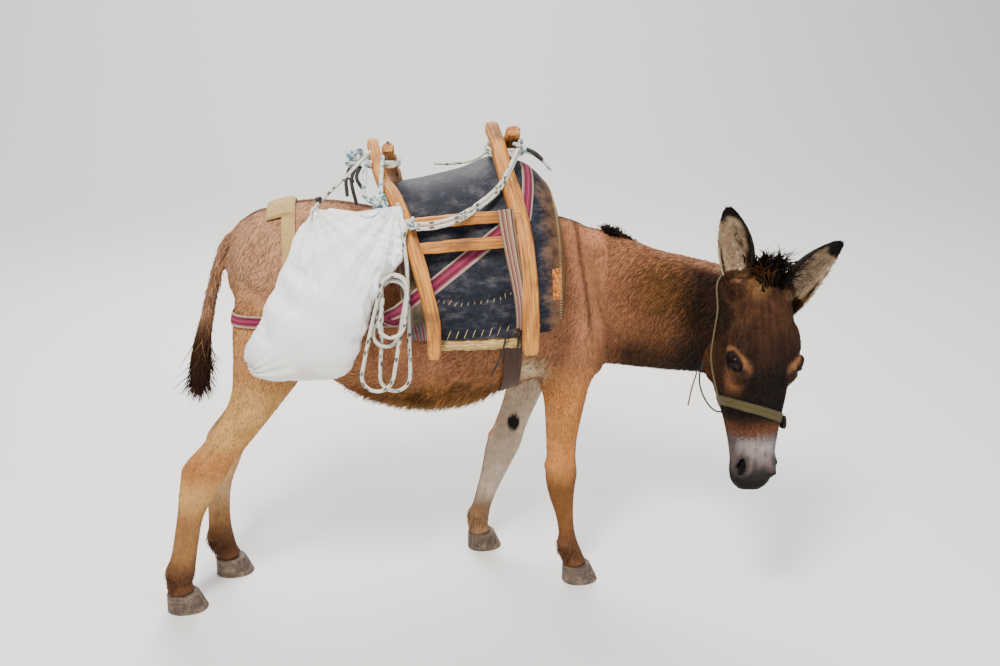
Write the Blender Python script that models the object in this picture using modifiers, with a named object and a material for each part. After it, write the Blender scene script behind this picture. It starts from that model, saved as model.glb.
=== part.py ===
"""Pack donkey, life size: a standing brown donkey with its head turned to its right side.

It wears a halter, a blanket, a padded pack saddle with a wooden frame, ropes, straps and a sack.
Metres, +Z up, +X the way the body faces, +Y the donkey's left. The hooves stand on z = 0.
"""

import math

import bmesh
import bpy
import numpy as np
from mathutils import Matrix, Vector
from mathutils.bvhtree import BVHTree

# Frame: the shift that brings the middle of the bounding box over the origin
SHIFT = Vector((-0.279, 0.0725, 0.0))

# Clearance between touching pieces, and the coarseness of the flesh
GAP = 0.0003
BODY_VOXEL = 0.0075
HEAD_VOXEL = 0.0032
BODY_TRIANGLES = 2700
HEAD_TRIANGLES = 1200

# Trunk sections: x, top, bottom, half width, squareness, narrowing towards the top
TRUNK = [
    (-0.388, 1.000, 0.905, 0.045, 2.0, 0.00),
    (-0.368, 1.052, 0.850, 0.095, 2.0, 0.00),
    (-0.325, 1.092, 0.790, 0.140, 2.1, 0.02),
    (-0.250, 1.116, 0.730, 0.168, 2.2, 0.04),
    (-0.170, 1.130, 0.665, 0.182, 2.2, 0.06),
    (-0.080, 1.124, 0.603, 0.196, 2.2, 0.08),
    (0.020, 1.104, 0.565, 0.208, 2.2, 0.10),
    (0.130, 1.086, 0.548, 0.214, 2.2, 0.12),
    (0.250, 1.072, 0.558, 0.208, 2.2, 0.14),
    (0.350, 1.068, 0.592, 0.190, 2.2, 0.20),
    (0.450, 1.070, 0.610, 0.166, 2.2, 0.26),
    (0.540, 1.058, 0.620, 0.142, 2.2, 0.26),
    (0.610, 1.015, 0.626, 0.112, 2.1, 0.20),
    (0.655, 0.960, 0.672, 0.076, 2.0, 0.10),
    (0.678, 0.900, 0.750, 0.034, 2.0, 0.00),
]

# Neck sections: centre, half height, half width
NECK = [
    ((0.420, 0.000, 0.850), 0.180, 0.110),
    ((0.530, 0.000, 0.852), 0.190, 0.100),
    ((0.640, -0.010, 0.824), 0.190, 0.086),
    ((0.740, -0.045, 0.806), 0.178, 0.073),
    ((0.830, -0.110, 0.804), 0.167, 0.066),
    ((0.897, -0.190, 0.814), 0.152, 0.062),
    ((0.935, -0.270, 0.830), 0.135, 0.058),
]

# Breast between the forelegs: centre and half sizes
BREAST = ((0.580, -0.010, 0.655), (0.062, 0.085, 0.058))

# Leg sections from the top down: centre, half depth fore and aft, half width
FORELEG_RIGHT = [
    ((0.490, -0.080, 0.920), 0.080, 0.040),
    ((0.512, -0.102, 0.810), 0.105, 0.052),
    ((0.520, -0.115, 0.715), 0.098, 0.056),
    ((0.507, -0.118, 0.640), 0.080, 0.054),
    ((0.506, -0.118, 0.575), 0.063, 0.048),
    ((0.503, -0.117, 0.515), 0.053, 0.042),
    ((0.500, -0.116, 0.455), 0.046, 0.038),
    ((0.500, -0.115, 0.395), 0.044, 0.039),
    ((0.500, -0.114, 0.340), 0.046, 0.040),
    ((0.504, -0.113, 0.282), 0.039, 0.034),
    ((0.513, -0.112, 0.222), 0.029, 0.027),
    ((0.521, -0.112, 0.160), 0.026, 0.025),
    ((0.528, -0.112, 0.112), 0.031, 0.030),
    ((0.540, -0.112, 0.080), 0.030, 0.029),
    ((0.549, -0.112, 0.050), 0.036, 0.034),
]
FORELEG_LEFT = [
    ((0.485, 0.080, 0.920), 0.080, 0.040),
    ((0.500, 0.102, 0.810), 0.105, 0.052),
    ((0.490, 0.114, 0.715), 0.098, 0.056),
    ((0.468, 0.118, 0.640), 0.080, 0.054),
    ((0.451, 0.119, 0.575), 0.064, 0.048),
    ((0.431, 0.120, 0.515), 0.056, 0.042),
    ((0.408, 0.120, 0.450), 0.050, 0.038),
    ((0.386, 0.120, 0.390), 0.049, 0.039),
    ((0.364, 0.120, 0.330), 0.051, 0.040),
    ((0.342, 0.120, 0.262), 0.041, 0.034),
    ((0.318, 0.120, 0.192), 0.033, 0.027),
    ((0.300, 0.120, 0.132), 0.031, 0.026),
    ((0.292, 0.120, 0.095), 0.033, 0.030),
    ((0.292, 0.120, 0.072), 0.031, 0.029),
    ((0.296, 0.120, 0.050), 0.036, 0.034),
]
HINDLEG_RIGHT = [
    ((-0.215, -0.075, 0.990), 0.095, 0.045),
    ((-0.240, -0.100, 0.880), 0.125, 0.066),
    ((-0.268, -0.112, 0.780), 0.116, 0.070),
    ((-0.298, -0.117, 0.695), 0.092, 0.062),
    ((-0.334, -0.119, 0.615), 0.067, 0.050),
    ((-0.384, -0.120, 0.537), 0.053, 0.042),
    ((-0.437, -0.120, 0.470), 0.051, 0.037),
    ((-0.478, -0.118, 0.414), 0.057, 0.036),
    ((-0.503, -0.116, 0.358), 0.050, 0.034),
    ((-0.525, -0.114, 0.294), 0.038, 0.030),
    ((-0.544, -0.112, 0.214), 0.036, 0.028),
    ((-0.556, -0.111, 0.160), 0.037, 0.029),
    ((-0.568, -0.110, 0.114), 0.040, 0.033),
    ((-0.573, -0.110, 0.080), 0.035, 0.031),
    ((-0.572, -0.110, 0.050), 0.039, 0.035),
]
HINDLEG_LEFT = [
    ((-0.215, 0.075, 0.990), 0.095, 0.045),
    ((-0.236, 0.100, 0.880), 0.125, 0.066),
    ((-0.258, 0.110, 0.780), 0.116, 0.070),
    ((-0.282, 0.110, 0.695), 0.092, 0.062),
    ((-0.313, 0.106, 0.615), 0.067, 0.050),
    ((-0.356, 0.101, 0.543), 0.053, 0.042),
    ((-0.402, 0.096, 0.478), 0.051, 0.037),
    ((-0.438, 0.091, 0.418), 0.057, 0.036),
    ((-0.456, 0.085, 0.358), 0.050, 0.034),
    ((-0.469, 0.080, 0.294), 0.038, 0.030),
    ((-0.477, 0.076, 0.214), 0.034, 0.028),
    ((-0.479, 0.074, 0.160), 0.035, 0.029),
    ((-0.478, 0.072, 0.114), 0.039, 0.033),
    ((-0.468, 0.071, 0.080), 0.034, 0.031),
    ((-0.459, 0.071, 0.050), 0.038, 0.035),
]

# Height of the cuts that part each leg from the trunk and each hoof from its leg
FORE_CUT = 0.592
HIND_CUT = 0.640
HOOF_TOP = 0.052

# Reach of each leg's cut: rear and front x at its top, and how far x moves for each metre of height
LEG_REACH = {
    "foreleg_right": (0.400, 0.660, 0.00),
    "foreleg_left": (0.372, 0.660, 0.25),
    "hindleg_right": (-0.700, -0.178, 0.00),
    "hindleg_left": (-0.700, -0.178, 0.00),
}
INNER_REACH = 0.004
OUTER_REACH = 0.300

# Head frame: the poll, the way down the face, and the way the forehead looks
POLL = Vector((0.980, -0.330, 0.958))
FACE_DOWN = Vector((-0.034, -0.155, -0.510)).normalized()
FACE_OUT = Vector((0.120, -0.990, 0.000))

# Head sections: way down from the poll, face line, jaw line, half width, squareness
HEAD = [
    (-0.020, -0.020, -0.085, 0.032, 2.0),
    (0.004, 0.012, -0.128, 0.062, 2.1),
    (0.048, 0.030, -0.176, 0.081, 2.3),
    (0.102, 0.038, -0.214, 0.090, 2.5),
    (0.156, 0.038, -0.234, 0.093, 2.5),
    (0.210, 0.033, -0.232, 0.092, 2.5),
    (0.264, 0.025, -0.208, 0.085, 2.5),
    (0.318, 0.014, -0.174, 0.075, 2.5),
    (0.370, 0.004, -0.148, 0.065, 2.5),
    (0.424, -0.003, -0.131, 0.057, 2.5),
    (0.466, -0.008, -0.123, 0.054, 2.4),
    (0.503, -0.016, -0.120, 0.053, 2.3),
    (0.530, -0.031, -0.108, 0.044, 2.1),
    (0.545, -0.048, -0.090, 0.026, 2.0),
]

# Swellings of the head: way down, half spacing, height, three half sizes
HEAD_SWELLINGS = {
    "orbit": (0.203, 0.074, -0.014, 0.056, 0.036, 0.040),
    "brow": (0.166, 0.067, 0.000, 0.058, 0.037, 0.034),
    "cheek": (0.185, 0.056, -0.140, 0.094, 0.039, 0.084),
    "cheekbone": (0.285, 0.060, -0.062, 0.085, 0.024, 0.024),
    "nostril_wing": (0.478, 0.036, -0.034, 0.034, 0.024, 0.026),
    "ear_root": (0.034, 0.056, -0.034, 0.040, 0.036, 0.038),
}
EYE_SLANT = 38
EYE_PLACE = (0.210, 0.081, -0.004)
EYE_RADIUS = 0.0255
EYE_LOOK = (0.05, 0.86, 0.50)
EYE_OPENING = (0.0255, 0.0130)
NOSTRIL_PLACE = (0.480, 0.049, -0.024)
NOSTRIL_SIZE = (0.0195, 0.0100, 0.020)
LIP_PLACE = (0.516, -0.052)
CHIN_PLACE = (0.494, -0.103)
MOUTH_HEIGHT = -0.084
MOUTH_CENTRE = 0.487
MOUTH_SWEEP = 118
MOUTH_GROOVE = 0.0032

# Ears: root in the head frame, tip in the body frame, half width, depth of the cup, wall
EAR_WALL = 0.009
EARS = {
    "ear_right": ((0.022, -0.060, -0.045), (0.868, -0.310, 1.142), 0.050, 0.042, -1.05),
    "ear_left": ((0.074, 0.074, -0.045), (1.160, -0.350, 1.054), 0.056, 0.044, 0.40),
}

# Locks: how full a lock is at even steps from its root to its tip, and its thickness to its width
LOCK_FULLNESS = (0.75, 1.00, 0.92, 0.62, 0.14)
LOCK_FLATNESS = 0.42

# Mane: the tuft left on the crest, and the forelock between the ears in the head frame:
# first foot, last foot, first tip, last tip, number of locks, their width and spread to the sides
MANE_TUFT = (
    (0.608, -0.004, 0.990), (0.668, -0.016, 0.970), (0.606, -0.008, 1.048), (0.692, -0.028, 1.022), 6, 0.024,
)
MANE_SPREAD = 0.006
FORELOCK = (
    (0.016, -0.034, -0.034), (0.016, 0.050, -0.034), (-0.066, -0.050, -0.006), (-0.062, 0.086, -0.006), 6, 0.030,
)
FORELOCK_SPREAD = 0.010

# Tail: centre and half thickness, from the root down
TAIL = [
    ((-0.335, 0.000, 1.052), 0.026),
    ((-0.372, 0.000, 1.030), 0.027),
    ((-0.402, 0.000, 0.975), 0.026),
    ((-0.428, 0.000, 0.900), 0.026),
    ((-0.452, 0.000, 0.812), 0.028),
    ((-0.470, 0.000, 0.745), 0.032),
    ((-0.480, 0.000, 0.690), 0.034),
    ((-0.485, 0.000, 0.640), 0.024),
    ((-0.490, 0.000, 0.612), 0.010),
]

# Switch of the tail: number of locks, their width, and the share of the tail where roots and tips lie
SWITCH_LOCKS = 8
SWITCH_WIDTH = 0.031
SWITCH_ROOTS = (0.58, 0.86)
SWITCH_TIPS = (0.90, 1.00)
SWITCH_FALL = 0.050

# Blanket: rear and front edges, hem height, thickness
BLANKET_REAR = 0.035
BLANKET_FRONT = 0.440
BLANKET_HEM = 0.795
BLANKET_LEAN = 0.22
BLANKET_THICK = 0.013

# Saddle pad sections: x at the top, top height, half width at the hem, rearward lean, hem height
PAD_HEM = 0.812
PAD = [
    (0.060, 1.165, 0.245, 0.070, 0.818),
    (0.066, 1.192, 0.262, 0.068, 0.812),
    (0.140, 1.193, 0.273, 0.040, 0.812),
    (0.240, 1.202, 0.279, 0.008, 0.814),
    (0.330, 1.232, 0.281, 0.000, 0.818),
    (0.400, 1.215, 0.278, 0.000, 0.822),
    (0.450, 1.178, 0.268, -0.002, 0.832),
    (0.482, 1.130, 0.252, -0.006, 0.856),
    (0.492, 1.085, 0.238, -0.008, 0.885),
]
PAD_SQUARENESS = 2.2
ROLL_RADIUS = 0.014

# Wooden frame: each arch's x at the foot and at the crossing, crossing height, post half sizes
ARCHES = {
    "front": (0.378, 0.352, 1.275, 0.023, 0.019),
    "rear": (0.135, 0.030, 1.238, 0.019, 0.017),
}
POST_FOOT = 0.775
SLAT_HEIGHTS = {"upper": 1.108, "lower": 1.052}
SLAT_HALF = (0.0155, 0.0085)

# Sack sections: height, rear edge, front edge, half thickness, middle
SACK = [
    (0.724, -0.225, -0.105, 0.014, -0.276),
    (0.742, -0.296, -0.078, 0.042, -0.278),
    (0.784, -0.328, -0.048, 0.058, -0.280),
    (0.840, -0.318, -0.032, 0.065, -0.282),
    (0.900, -0.290, -0.008, 0.064, -0.282),
    (0.960, -0.260, 0.024, 0.056, -0.278),
    (1.030, -0.225, 0.064, 0.044, -0.270),
    (1.095, -0.192, 0.080, 0.030, -0.262),
    (1.138, -0.160, 0.076, 0.016, -0.256),
    (1.158, -0.145, 0.062, 0.007, -0.252),
]

# Ropes and cords: half thickness
ROPE = 0.0052
THIN_ROPE = 0.0038
CORD = 0.0030
NOSEBAND_SIDES = 22

# Double rope from the front horns down to the rear post, then the hank that hangs from it
ROPE_SPAN = [
    (0.384, -0.062, 1.262), (0.362, -0.100, 1.228), (0.316, -0.165, 1.184),
    (0.262, -0.215, 1.150), (0.200, -0.252, 1.124), (0.140, -0.268, 1.113),
    (0.098, -0.272, 1.112),
]
ROPE_FAR = [(0.340, 0.045, 1.262), (0.290, 0.060, 1.215), (0.220, 0.062, 1.200), (0.170, 0.050, 1.204)]
ROPE_DROP = [
    (0.062, -0.250, 1.118), (0.056, -0.272, 1.100), (0.054, -0.286, 1.060), (0.052, -0.292, 1.020),
]
HANK_CENTRE = (0.026, -0.300, 0.860)
HANK_HALF = (0.050, 0.016, 0.160)
SACK_CORDS = {
    "sack_cord_rear": [(0.000, -0.075, 1.262), (-0.060, -0.150, 1.215), (-0.110, -0.215, 1.180), (-0.138, -0.250, 1.160)],
    "sack_cord_front": [(0.070, -0.225, 1.138), (0.062, -0.240, 1.150), (0.056, -0.252, 1.161)],
}

# Straps: half thickness, and the routes that hold their middle lines
STRAP_THICK = 0.003
GIRTH_X = 0.350
GIRTH_WIDTH = 0.050
HIP_STRAP_X = -0.215
CROUP_PAD_X = -0.236
CROUP_PAD_REACH = (-0.125, 0.070)
BREECH_HEIGHT = 0.848

# Halter, in the head frame: the noseband's place and slant, and routes from the right cheek
NOSEBAND_PLACE = (0.338, 0.024)
NOSEBAND_WIDTH = 0.026
NOSEBAND_THICK = 0.006
BUCKLE_PLACE = (0.366, 0.070, -0.030)
BUCKLE_LOW = (-0.017, -0.008, -0.015)
BUCKLE_HIGH = (0.017, 0.012, 0.015)
HEADCORD_SIDE = [(0.330, -0.100), (0.270, -0.112), (0.204, -0.115), (0.140, -0.102), (0.085, -0.094)]
HEADCORD_TOP = (0.050, -0.100)
THROAT_CORD = [
    (0.222, -0.097, -0.150), (0.252, -0.100, -0.166), (0.315, -0.082, -0.172), (0.352, -0.042, -0.172),
    (0.352, -0.016, -0.166),
]
HALTER_END = [(0.246, -0.107, -0.168), (0.290, -0.120, -0.170), (0.336, -0.132, -0.166)]

# Loose thongs below the saddle and the loose end of the front lashing
THONGS = {
    "thong_rear": [(0.316, -0.296, 0.832), (0.307, -0.296, 0.785), (0.292, -0.291, 0.745), (0.280, -0.286, 0.715)],
    "thong_front": [(0.349, -0.297, 0.836), (0.346, -0.298, 0.795), (0.348, -0.296, 0.750), (0.347, -0.293, 0.712)],
    "rope_end": [(0.392, -0.045, 1.252), (0.425, -0.050, 1.240), (0.452, -0.052, 1.220), (0.472, -0.052, 1.198)],
}


def hermite(rows, samples):
    """Smooth curve through rows of numbers, spaced by the length of their first three columns."""
    rows = np.array(rows, float)
    steps = np.linalg.norm(np.diff(rows[:, :3], axis=0), axis=1)
    knots = np.concatenate([[0.0], np.cumsum(steps)])
    slopes = np.gradient(rows, knots, axis=0)
    where = np.linspace(0.0, knots[-1], samples)
    index = np.clip(np.searchsorted(knots, where, side="right") - 1, 0, len(rows) - 2)
    width = (knots[index + 1] - knots[index])[:, None]
    t = (where - knots[index])[:, None] / width
    first = (2 * t**3 - 3 * t**2 + 1) * rows[index] + (t**3 - 2 * t**2 + t) * width * slopes[index]
    second = (3 * t**2 - 2 * t**3) * rows[index + 1] + (t**3 - t**2) * width * slopes[index + 1]
    return first + second


def superellipse(count, squareness):
    """Unit outline of a rounded box, starting at its side and running over its top."""
    angles = np.linspace(0.0, 2 * math.pi, count, endpoint=False)
    across = np.sign(np.cos(angles)) * np.abs(np.cos(angles)) ** (2 / squareness)
    upwards = np.sign(np.sin(angles)) * np.abs(np.sin(angles)) ** (2 / squareness)
    return across, upwards


def mesh_object(name, points, faces):
    """An object from its points and faces, its faces turned outwards."""
    mesh = bpy.data.meshes.new(name)
    mesh.from_pydata([tuple(p) for p in points], [], faces)
    work = bmesh.new()
    work.from_mesh(mesh)
    bmesh.ops.recalc_face_normals(work, faces=work.faces)
    work.to_mesh(mesh)
    work.free()
    made = bpy.data.objects.new(name, mesh)
    bpy.context.scene.collection.objects.link(made)
    return made


def loft(name, rings):
    """A closed body through rings of equally many points, with flat ends."""
    count = len(rings[0])
    points = np.concatenate(rings)
    faces = []
    for ring in range(len(rings) - 1):
        for side in range(count):
            after = (side + 1) % count
            low, high = ring * count, (ring + 1) * count
            faces.append((low + side, low + after, high + after, high + side))
    faces.append(tuple(range(count)))
    last = (len(rings) - 1) * count
    faces.append(tuple(range(last, last + count)))
    return mesh_object(name, points, faces)


def limb(name, stations, forward, samples, sides, squareness=2.2):
    """A loft along a path: each station has a centre, a half depth along forward, a half width."""
    rows = hermite([(*centre, depth, width) for centre, depth, width in stations], samples)
    tangents = np.gradient(rows[:, :3], axis=0)
    across, upwards = superellipse(sides, squareness)
    rings = []
    for row, tangent in zip(rows, tangents):
        tangent = tangent / np.linalg.norm(tangent)
        sideways = np.cross(tangent, forward)
        sideways /= np.linalg.norm(sideways)
        depthwise = np.cross(sideways, tangent)
        rings.append(
            row[:3]
            + np.outer(across, sideways) * row[4]
            + np.outer(upwards, depthwise) * row[3]
        )
    return loft(name, rings)


def trunk_ring(row, grow, sides):
    """One upright section of the trunk, grown outwards by a margin."""
    x, top, bottom, half_width, squareness, narrowing = row
    across, upwards = superellipse(sides, squareness)
    middle = (top + bottom) / 2
    half_height = (top - bottom) / 2 + grow
    y = across * (half_width + grow) * (1 - narrowing * upwards)
    z = middle + upwards * half_height
    return np.stack([np.full(sides, x), y, z], axis=1)


def trunk_rows(samples):
    """Trunk sections closely spaced along x."""
    rows = [(x, 0.0, 0.0, top, low, wide, square, narrow) for x, top, low, wide, square, narrow in TRUNK]
    return [(r[0], r[3], r[4], r[5], r[6], r[7]) for r in hermite(rows, samples)]


def ball(name, centre, sizes, frame=None, segments=14):
    """An ellipsoid with three half sizes along the axes of a frame."""
    rings = segments * 2 // 3
    bpy.ops.mesh.primitive_uv_sphere_add(segments=segments, ring_count=rings, radius=1.0)
    made = bpy.context.object
    made.name = name
    made.scale = sizes
    if frame is not None:
        made.rotation_euler = frame.to_3x3().to_euler()
    made.location = centre
    bake_transform(made)
    return made


def block(name, low, high):
    """A box between two corners."""
    bpy.ops.mesh.primitive_cube_add(size=1.0)
    made = bpy.context.object
    made.name = name
    made.scale = [b - a for a, b in zip(low, high)]
    made.location = [(a + b) / 2 for a, b in zip(low, high)]
    bake_transform(made)
    return made


def bake_transform(made):
    """Put an object's place and size into its mesh."""
    bpy.context.view_layer.update()
    made.data.transform(made.matrix_world)
    made.matrix_world = Matrix.Identity(4)
    work = bmesh.new()
    work.from_mesh(made.data)
    bmesh.ops.recalc_face_normals(work, faces=work.faces)
    work.to_mesh(made.data)
    work.free()


def tube(name, points, radius, resolution=2):
    """A cord: a POLY curve with filled caps, turned to a closed mesh."""
    curve = bpy.data.curves.new(name, "CURVE")
    curve.dimensions = "3D"
    curve.bevel_depth = radius
    curve.bevel_resolution = resolution
    curve.use_fill_caps = True
    spline = curve.splines.new("POLY")
    spline.points.add(len(points) - 1)
    for place, point in zip(spline.points, points):
        place.co = (*point, 1.0)
    holder = bpy.data.objects.new(name + "_curve", curve)
    bpy.context.scene.collection.objects.link(holder)
    bpy.context.view_layer.update()
    ready = holder.evaluated_get(bpy.context.evaluated_depsgraph_get())
    mesh = bpy.data.meshes.new_from_object(ready)
    work = bmesh.new()
    work.from_mesh(mesh)
    bmesh.ops.remove_doubles(work, verts=work.verts, dist=1e-5)
    bmesh.ops.recalc_face_normals(work, faces=work.faces)
    work.to_mesh(mesh)
    work.free()
    bpy.data.objects.remove(holder)
    made = bpy.data.objects.new(name, mesh)
    bpy.context.scene.collection.objects.link(made)
    return made


def apply_modifiers(made):
    """Turn an object's modifiers into its mesh."""
    bpy.context.view_layer.update()
    ready = made.evaluated_get(bpy.context.evaluated_depsgraph_get())
    mesh = bpy.data.meshes.new_from_object(ready)
    made.modifiers.clear()
    made.data = mesh


def joined(name, pieces):
    """Several meshes as one object, still overlapping."""
    work = bmesh.new()
    for piece in pieces:
        work.from_mesh(piece.data)
        bpy.data.objects.remove(piece)
    mesh = bpy.data.meshes.new(name)
    work.to_mesh(mesh)
    work.free()
    made = bpy.data.objects.new(name, mesh)
    bpy.context.scene.collection.objects.link(made)
    return made


def fused(name, pieces, voxel, smoothing, triangles):
    """One skin over overlapping bodies: voxel remesh, smooth, then reduce."""
    made = joined(name, pieces)
    remesh = made.modifiers.new("remesh", "REMESH")
    remesh.mode = "VOXEL"
    remesh.voxel_size = voxel
    smooth = made.modifiers.new("smooth", "SMOOTH")
    smooth.factor = 0.5
    smooth.iterations = smoothing
    apply_modifiers(made)
    keep_largest(made)
    reduce_to(made, triangles)
    return made


def reduce_to(made, triangles):
    """Collapse a mesh to about this many triangles."""
    made.modifiers.new("triangles", "TRIANGULATE")
    apply_modifiers(made)
    have = len(made.data.polygons)
    if have > triangles:
        decimate = made.modifiers.new("reduce", "DECIMATE")
        decimate.ratio = triangles / have
        apply_modifiers(made)
    keep_largest(made)


def keep_largest(made):
    """Keep only the closed surface with the most volume."""
    work = bmesh.new()
    work.from_mesh(made.data)
    bmesh.ops.remove_doubles(work, verts=work.verts, dist=1e-6)
    bmesh.ops.dissolve_degenerate(work, edges=work.edges, dist=1e-6)
    unseen = set(work.faces)
    shells = []
    while unseen:
        start = unseen.pop()
        shell, front = {start}, [start]
        while front:
            face = front.pop()
            for edge in face.edges:
                for other in edge.link_faces:
                    if other in unseen:
                        unseen.remove(other)
                        shell.add(other)
                        front.append(other)
        shells.append(shell)
    if len(shells) > 1:
        largest = max(shells, key=lambda shell: abs(shell_volume(shell)))
        spare = [face for shell in shells if shell is not largest for face in shell]
        bmesh.ops.delete(work, geom=spare, context="FACES")
        loose = [vert for vert in work.verts if not vert.link_faces]
        bmesh.ops.delete(work, geom=loose, context="VERTS")
    bmesh.ops.triangulate(work, faces=work.faces)
    bmesh.ops.recalc_face_normals(work, faces=work.faces)
    work.to_mesh(made.data)
    work.free()


def shell_volume(shell):
    """Signed volume inside a set of faces."""
    total = 0.0
    for face in shell:
        corners = [vert.co for vert in face.verts]
        for second, third in zip(corners[1:], corners[2:]):
            total += corners[0].dot(second.cross(third)) / 6
    return total


def boolean(made, other, operation, solver="EXACT"):
    """Combine an object with another one and keep the result as its mesh."""
    step = made.modifiers.new("combine", "BOOLEAN")
    step.operation = operation
    step.solver = solver
    step.object = other
    apply_modifiers(made)


def grown(piece, margin):
    """A copy of a piece with its surface moved outwards."""
    copy = bpy.data.objects.new(piece.name + "_grown", piece.data.copy())
    bpy.context.scene.collection.objects.link(copy)
    mesh = copy.data
    points = np.empty(len(mesh.vertices) * 3)
    normals = np.empty(len(mesh.vertices) * 3)
    mesh.vertices.foreach_get("co", points)
    mesh.vertices.foreach_get("normal", normals)
    mesh.vertices.foreach_set("co", points + normals * margin)
    mesh.update()
    return copy


def carve(made, neighbours, margin=GAP * 1.3):
    """Cut a piece clear of its neighbours, which keep their own shape."""
    for neighbour in neighbours:
        cutter = grown(neighbour, margin)
        boolean(made, cutter, "DIFFERENCE")
        bpy.data.objects.remove(cutter)
    keep_largest(made)
    return made


def leaning_block(name, low, high, slope):
    """A box between two corners that leans along x below its top."""
    made = block(name, low, high)
    for vert in made.data.vertices:
        vert.co.x += slope * (vert.co.z - high[2])
    return made


def take_leg(source, name, side, top):
    """Part a leg from the body with a leaning box, leaving the clearance at the cut."""
    rear, front, slope = LEG_REACH[name]
    across = sorted((side * INNER_REACH, side * OUTER_REACH))
    low = (rear, across[0], HOOF_TOP + GAP)
    high = (front, across[1], top)
    leg = bpy.data.objects.new(name, source.data.copy())
    bpy.context.scene.collection.objects.link(leg)
    inside = leaning_block("inside", low, high, slope)
    boolean(leg, inside, "INTERSECT")
    bpy.data.objects.remove(inside)
    keep_largest(leg)
    around = leaning_block("around", [v - GAP for v in low], [v + GAP for v in high], slope)
    boolean(source, around, "DIFFERENCE")
    bpy.data.objects.remove(around)
    keep_largest(source)
    return leg


def half_space(made, point, normal, keep_front):
    """Cut a closed mesh on a plane and close the cut."""
    work = bmesh.new()
    work.from_mesh(made.data)
    cut = bmesh.ops.bisect_plane(
        work,
        geom=work.verts[:] + work.edges[:] + work.faces[:],
        plane_co=point,
        plane_no=normal,
        clear_inner=keep_front,
        clear_outer=not keep_front,
    )
    rim = [item for item in cut["geom_cut"] if isinstance(item, bmesh.types.BMEdge)]
    bmesh.ops.contextual_create(work, geom=rim)
    work.to_mesh(made.data)
    work.free()
    keep_largest(made)


def head_matrix():
    """Head frame: X down the face, Y to the donkey's left, Z out of the forehead."""
    down = FACE_DOWN
    out = (FACE_OUT - down * FACE_OUT.dot(down)).normalized()
    left = out.cross(down)
    turn = Matrix((down, left, out)).transposed().to_4x4()
    return Matrix.Translation(POLL) @ turn


def build_body():
    """Trunk, neck and legs as one skin."""
    trunk = loft("trunk", [trunk_ring(row, 0.0, 28) for row in trunk_rows(44)])
    neck = limb("neck_core", NECK, (0, 0, 1), 24, 22)
    pieces = [trunk, neck, ball("breast_core", *BREAST)]
    for name, stations in LEGS.items():
        pieces.append(limb(name + "_core", stations, (1, 0, 0), 44, 16))
    dock = limb("dock_core", [(c, r, r) for c, r in TAIL[:2]] , (1, 0, 0), 4, 12)
    pieces.append(dock)
    return fused("body", pieces, BODY_VOXEL, 9, BODY_TRIANGLES)


LEGS = {
    "foreleg_right": FORELEG_RIGHT,
    "foreleg_left": FORELEG_LEFT,
    "hindleg_right": HINDLEG_RIGHT,
    "hindleg_left": HINDLEG_LEFT,
}


def build_head_mass(frame):
    """Skull, jaw, cheeks, brows, muzzle and the end of the neck as one skin."""
    rows = [(s, 0.0, 0.0, top, low, wide, square) for s, top, low, wide, square in HEAD]
    rings = []
    for s, _, _, top, low, wide, square in hermite(rows, 40):
        across, upwards = superellipse(24, square)
        z = (top + low) / 2 + upwards * (top - low) / 2
        y = across * wide * (1 + 0.10 * upwards)
        rings.append(np.stack([np.full(24, s), y, z], axis=1))
    skull = loft("skull", rings)
    skull.data.transform(frame)
    pieces = [skull, limb("neck_end", NECK[2:], (0, 0, 1), 20, 22)]
    for name, (s, spread, height, *sizes) in HEAD_SWELLINGS.items():
        for side in (-1, 1):
            centre = frame @ Vector((s, side * spread, height))
            pieces.append(ball(name, centre, sizes, frame, 32))
    lip = Vector((LIP_PLACE[0], 0, LIP_PLACE[1]))
    chin = Vector((CHIN_PLACE[0], 0, CHIN_PLACE[1]))
    pieces.append(ball("upper_lip", frame @ lip, (0.026, 0.045, 0.028), frame, 32))
    pieces.append(ball("chin", frame @ chin, (0.036, 0.038, 0.024), frame, 32))
    return fused("head", pieces, HEAD_VOXEL, 24, HEAD_TRIANGLES)


def side_frame(frame, place, look, side):
    """A frame on the head's surface: Z looks out, X runs down the face."""
    s, spread, height = place
    out = Vector((look[0], side * look[1], look[2])).normalized()
    down = Vector((1, 0, 0))
    across = out.cross(down).normalized()
    down = across.cross(out)
    local = Matrix((down, across, out)).transposed().to_4x4()
    return frame @ Matrix.Translation((s, side * spread, height)) @ local


def almond(name, frame, half_length, half_height, near, far):
    """A cutter shaped like the gap between two eyelids, from near to far along its frame's Z."""
    angles = np.linspace(0, 2 * math.pi, 14, endpoint=False)
    x = half_length * np.cos(angles)
    y = half_height * np.sin(angles) * (1 - 0.25 * np.abs(np.cos(angles)))
    rings = [np.stack([x, y, np.full(14, level)], axis=1) for level in (near, far)]
    made = loft(name, rings)
    made.data.transform(frame)
    return made


def build_eyes(head, frame):
    """Sockets cut between the lids, and an eyeball in each."""
    eyes = []
    for name, side in (("eye_right", -1), ("eye_left", 1)):
        place = side_frame(frame, EYE_PLACE, EYE_LOOK, side)
        tilt = Matrix.Rotation(side * math.radians(-EYE_SLANT), 4, "Z")
        centre = place.translation
        socket = ball("socket", centre, [EYE_RADIUS + GAP * 1.5] * 3, None, 12)
        boolean(head, socket, "DIFFERENCE")
        bpy.data.objects.remove(socket)
        opening = almond("opening", place @ tilt, *EYE_OPENING, EYE_RADIUS * 0.5, 0.08)
        boolean(head, opening, "DIFFERENCE")
        bpy.data.objects.remove(opening)
        eye = ball(name, centre, [EYE_RADIUS] * 3, None, 12)
        eyes.append(eye)
    keep_largest(head)
    return eyes


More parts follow.
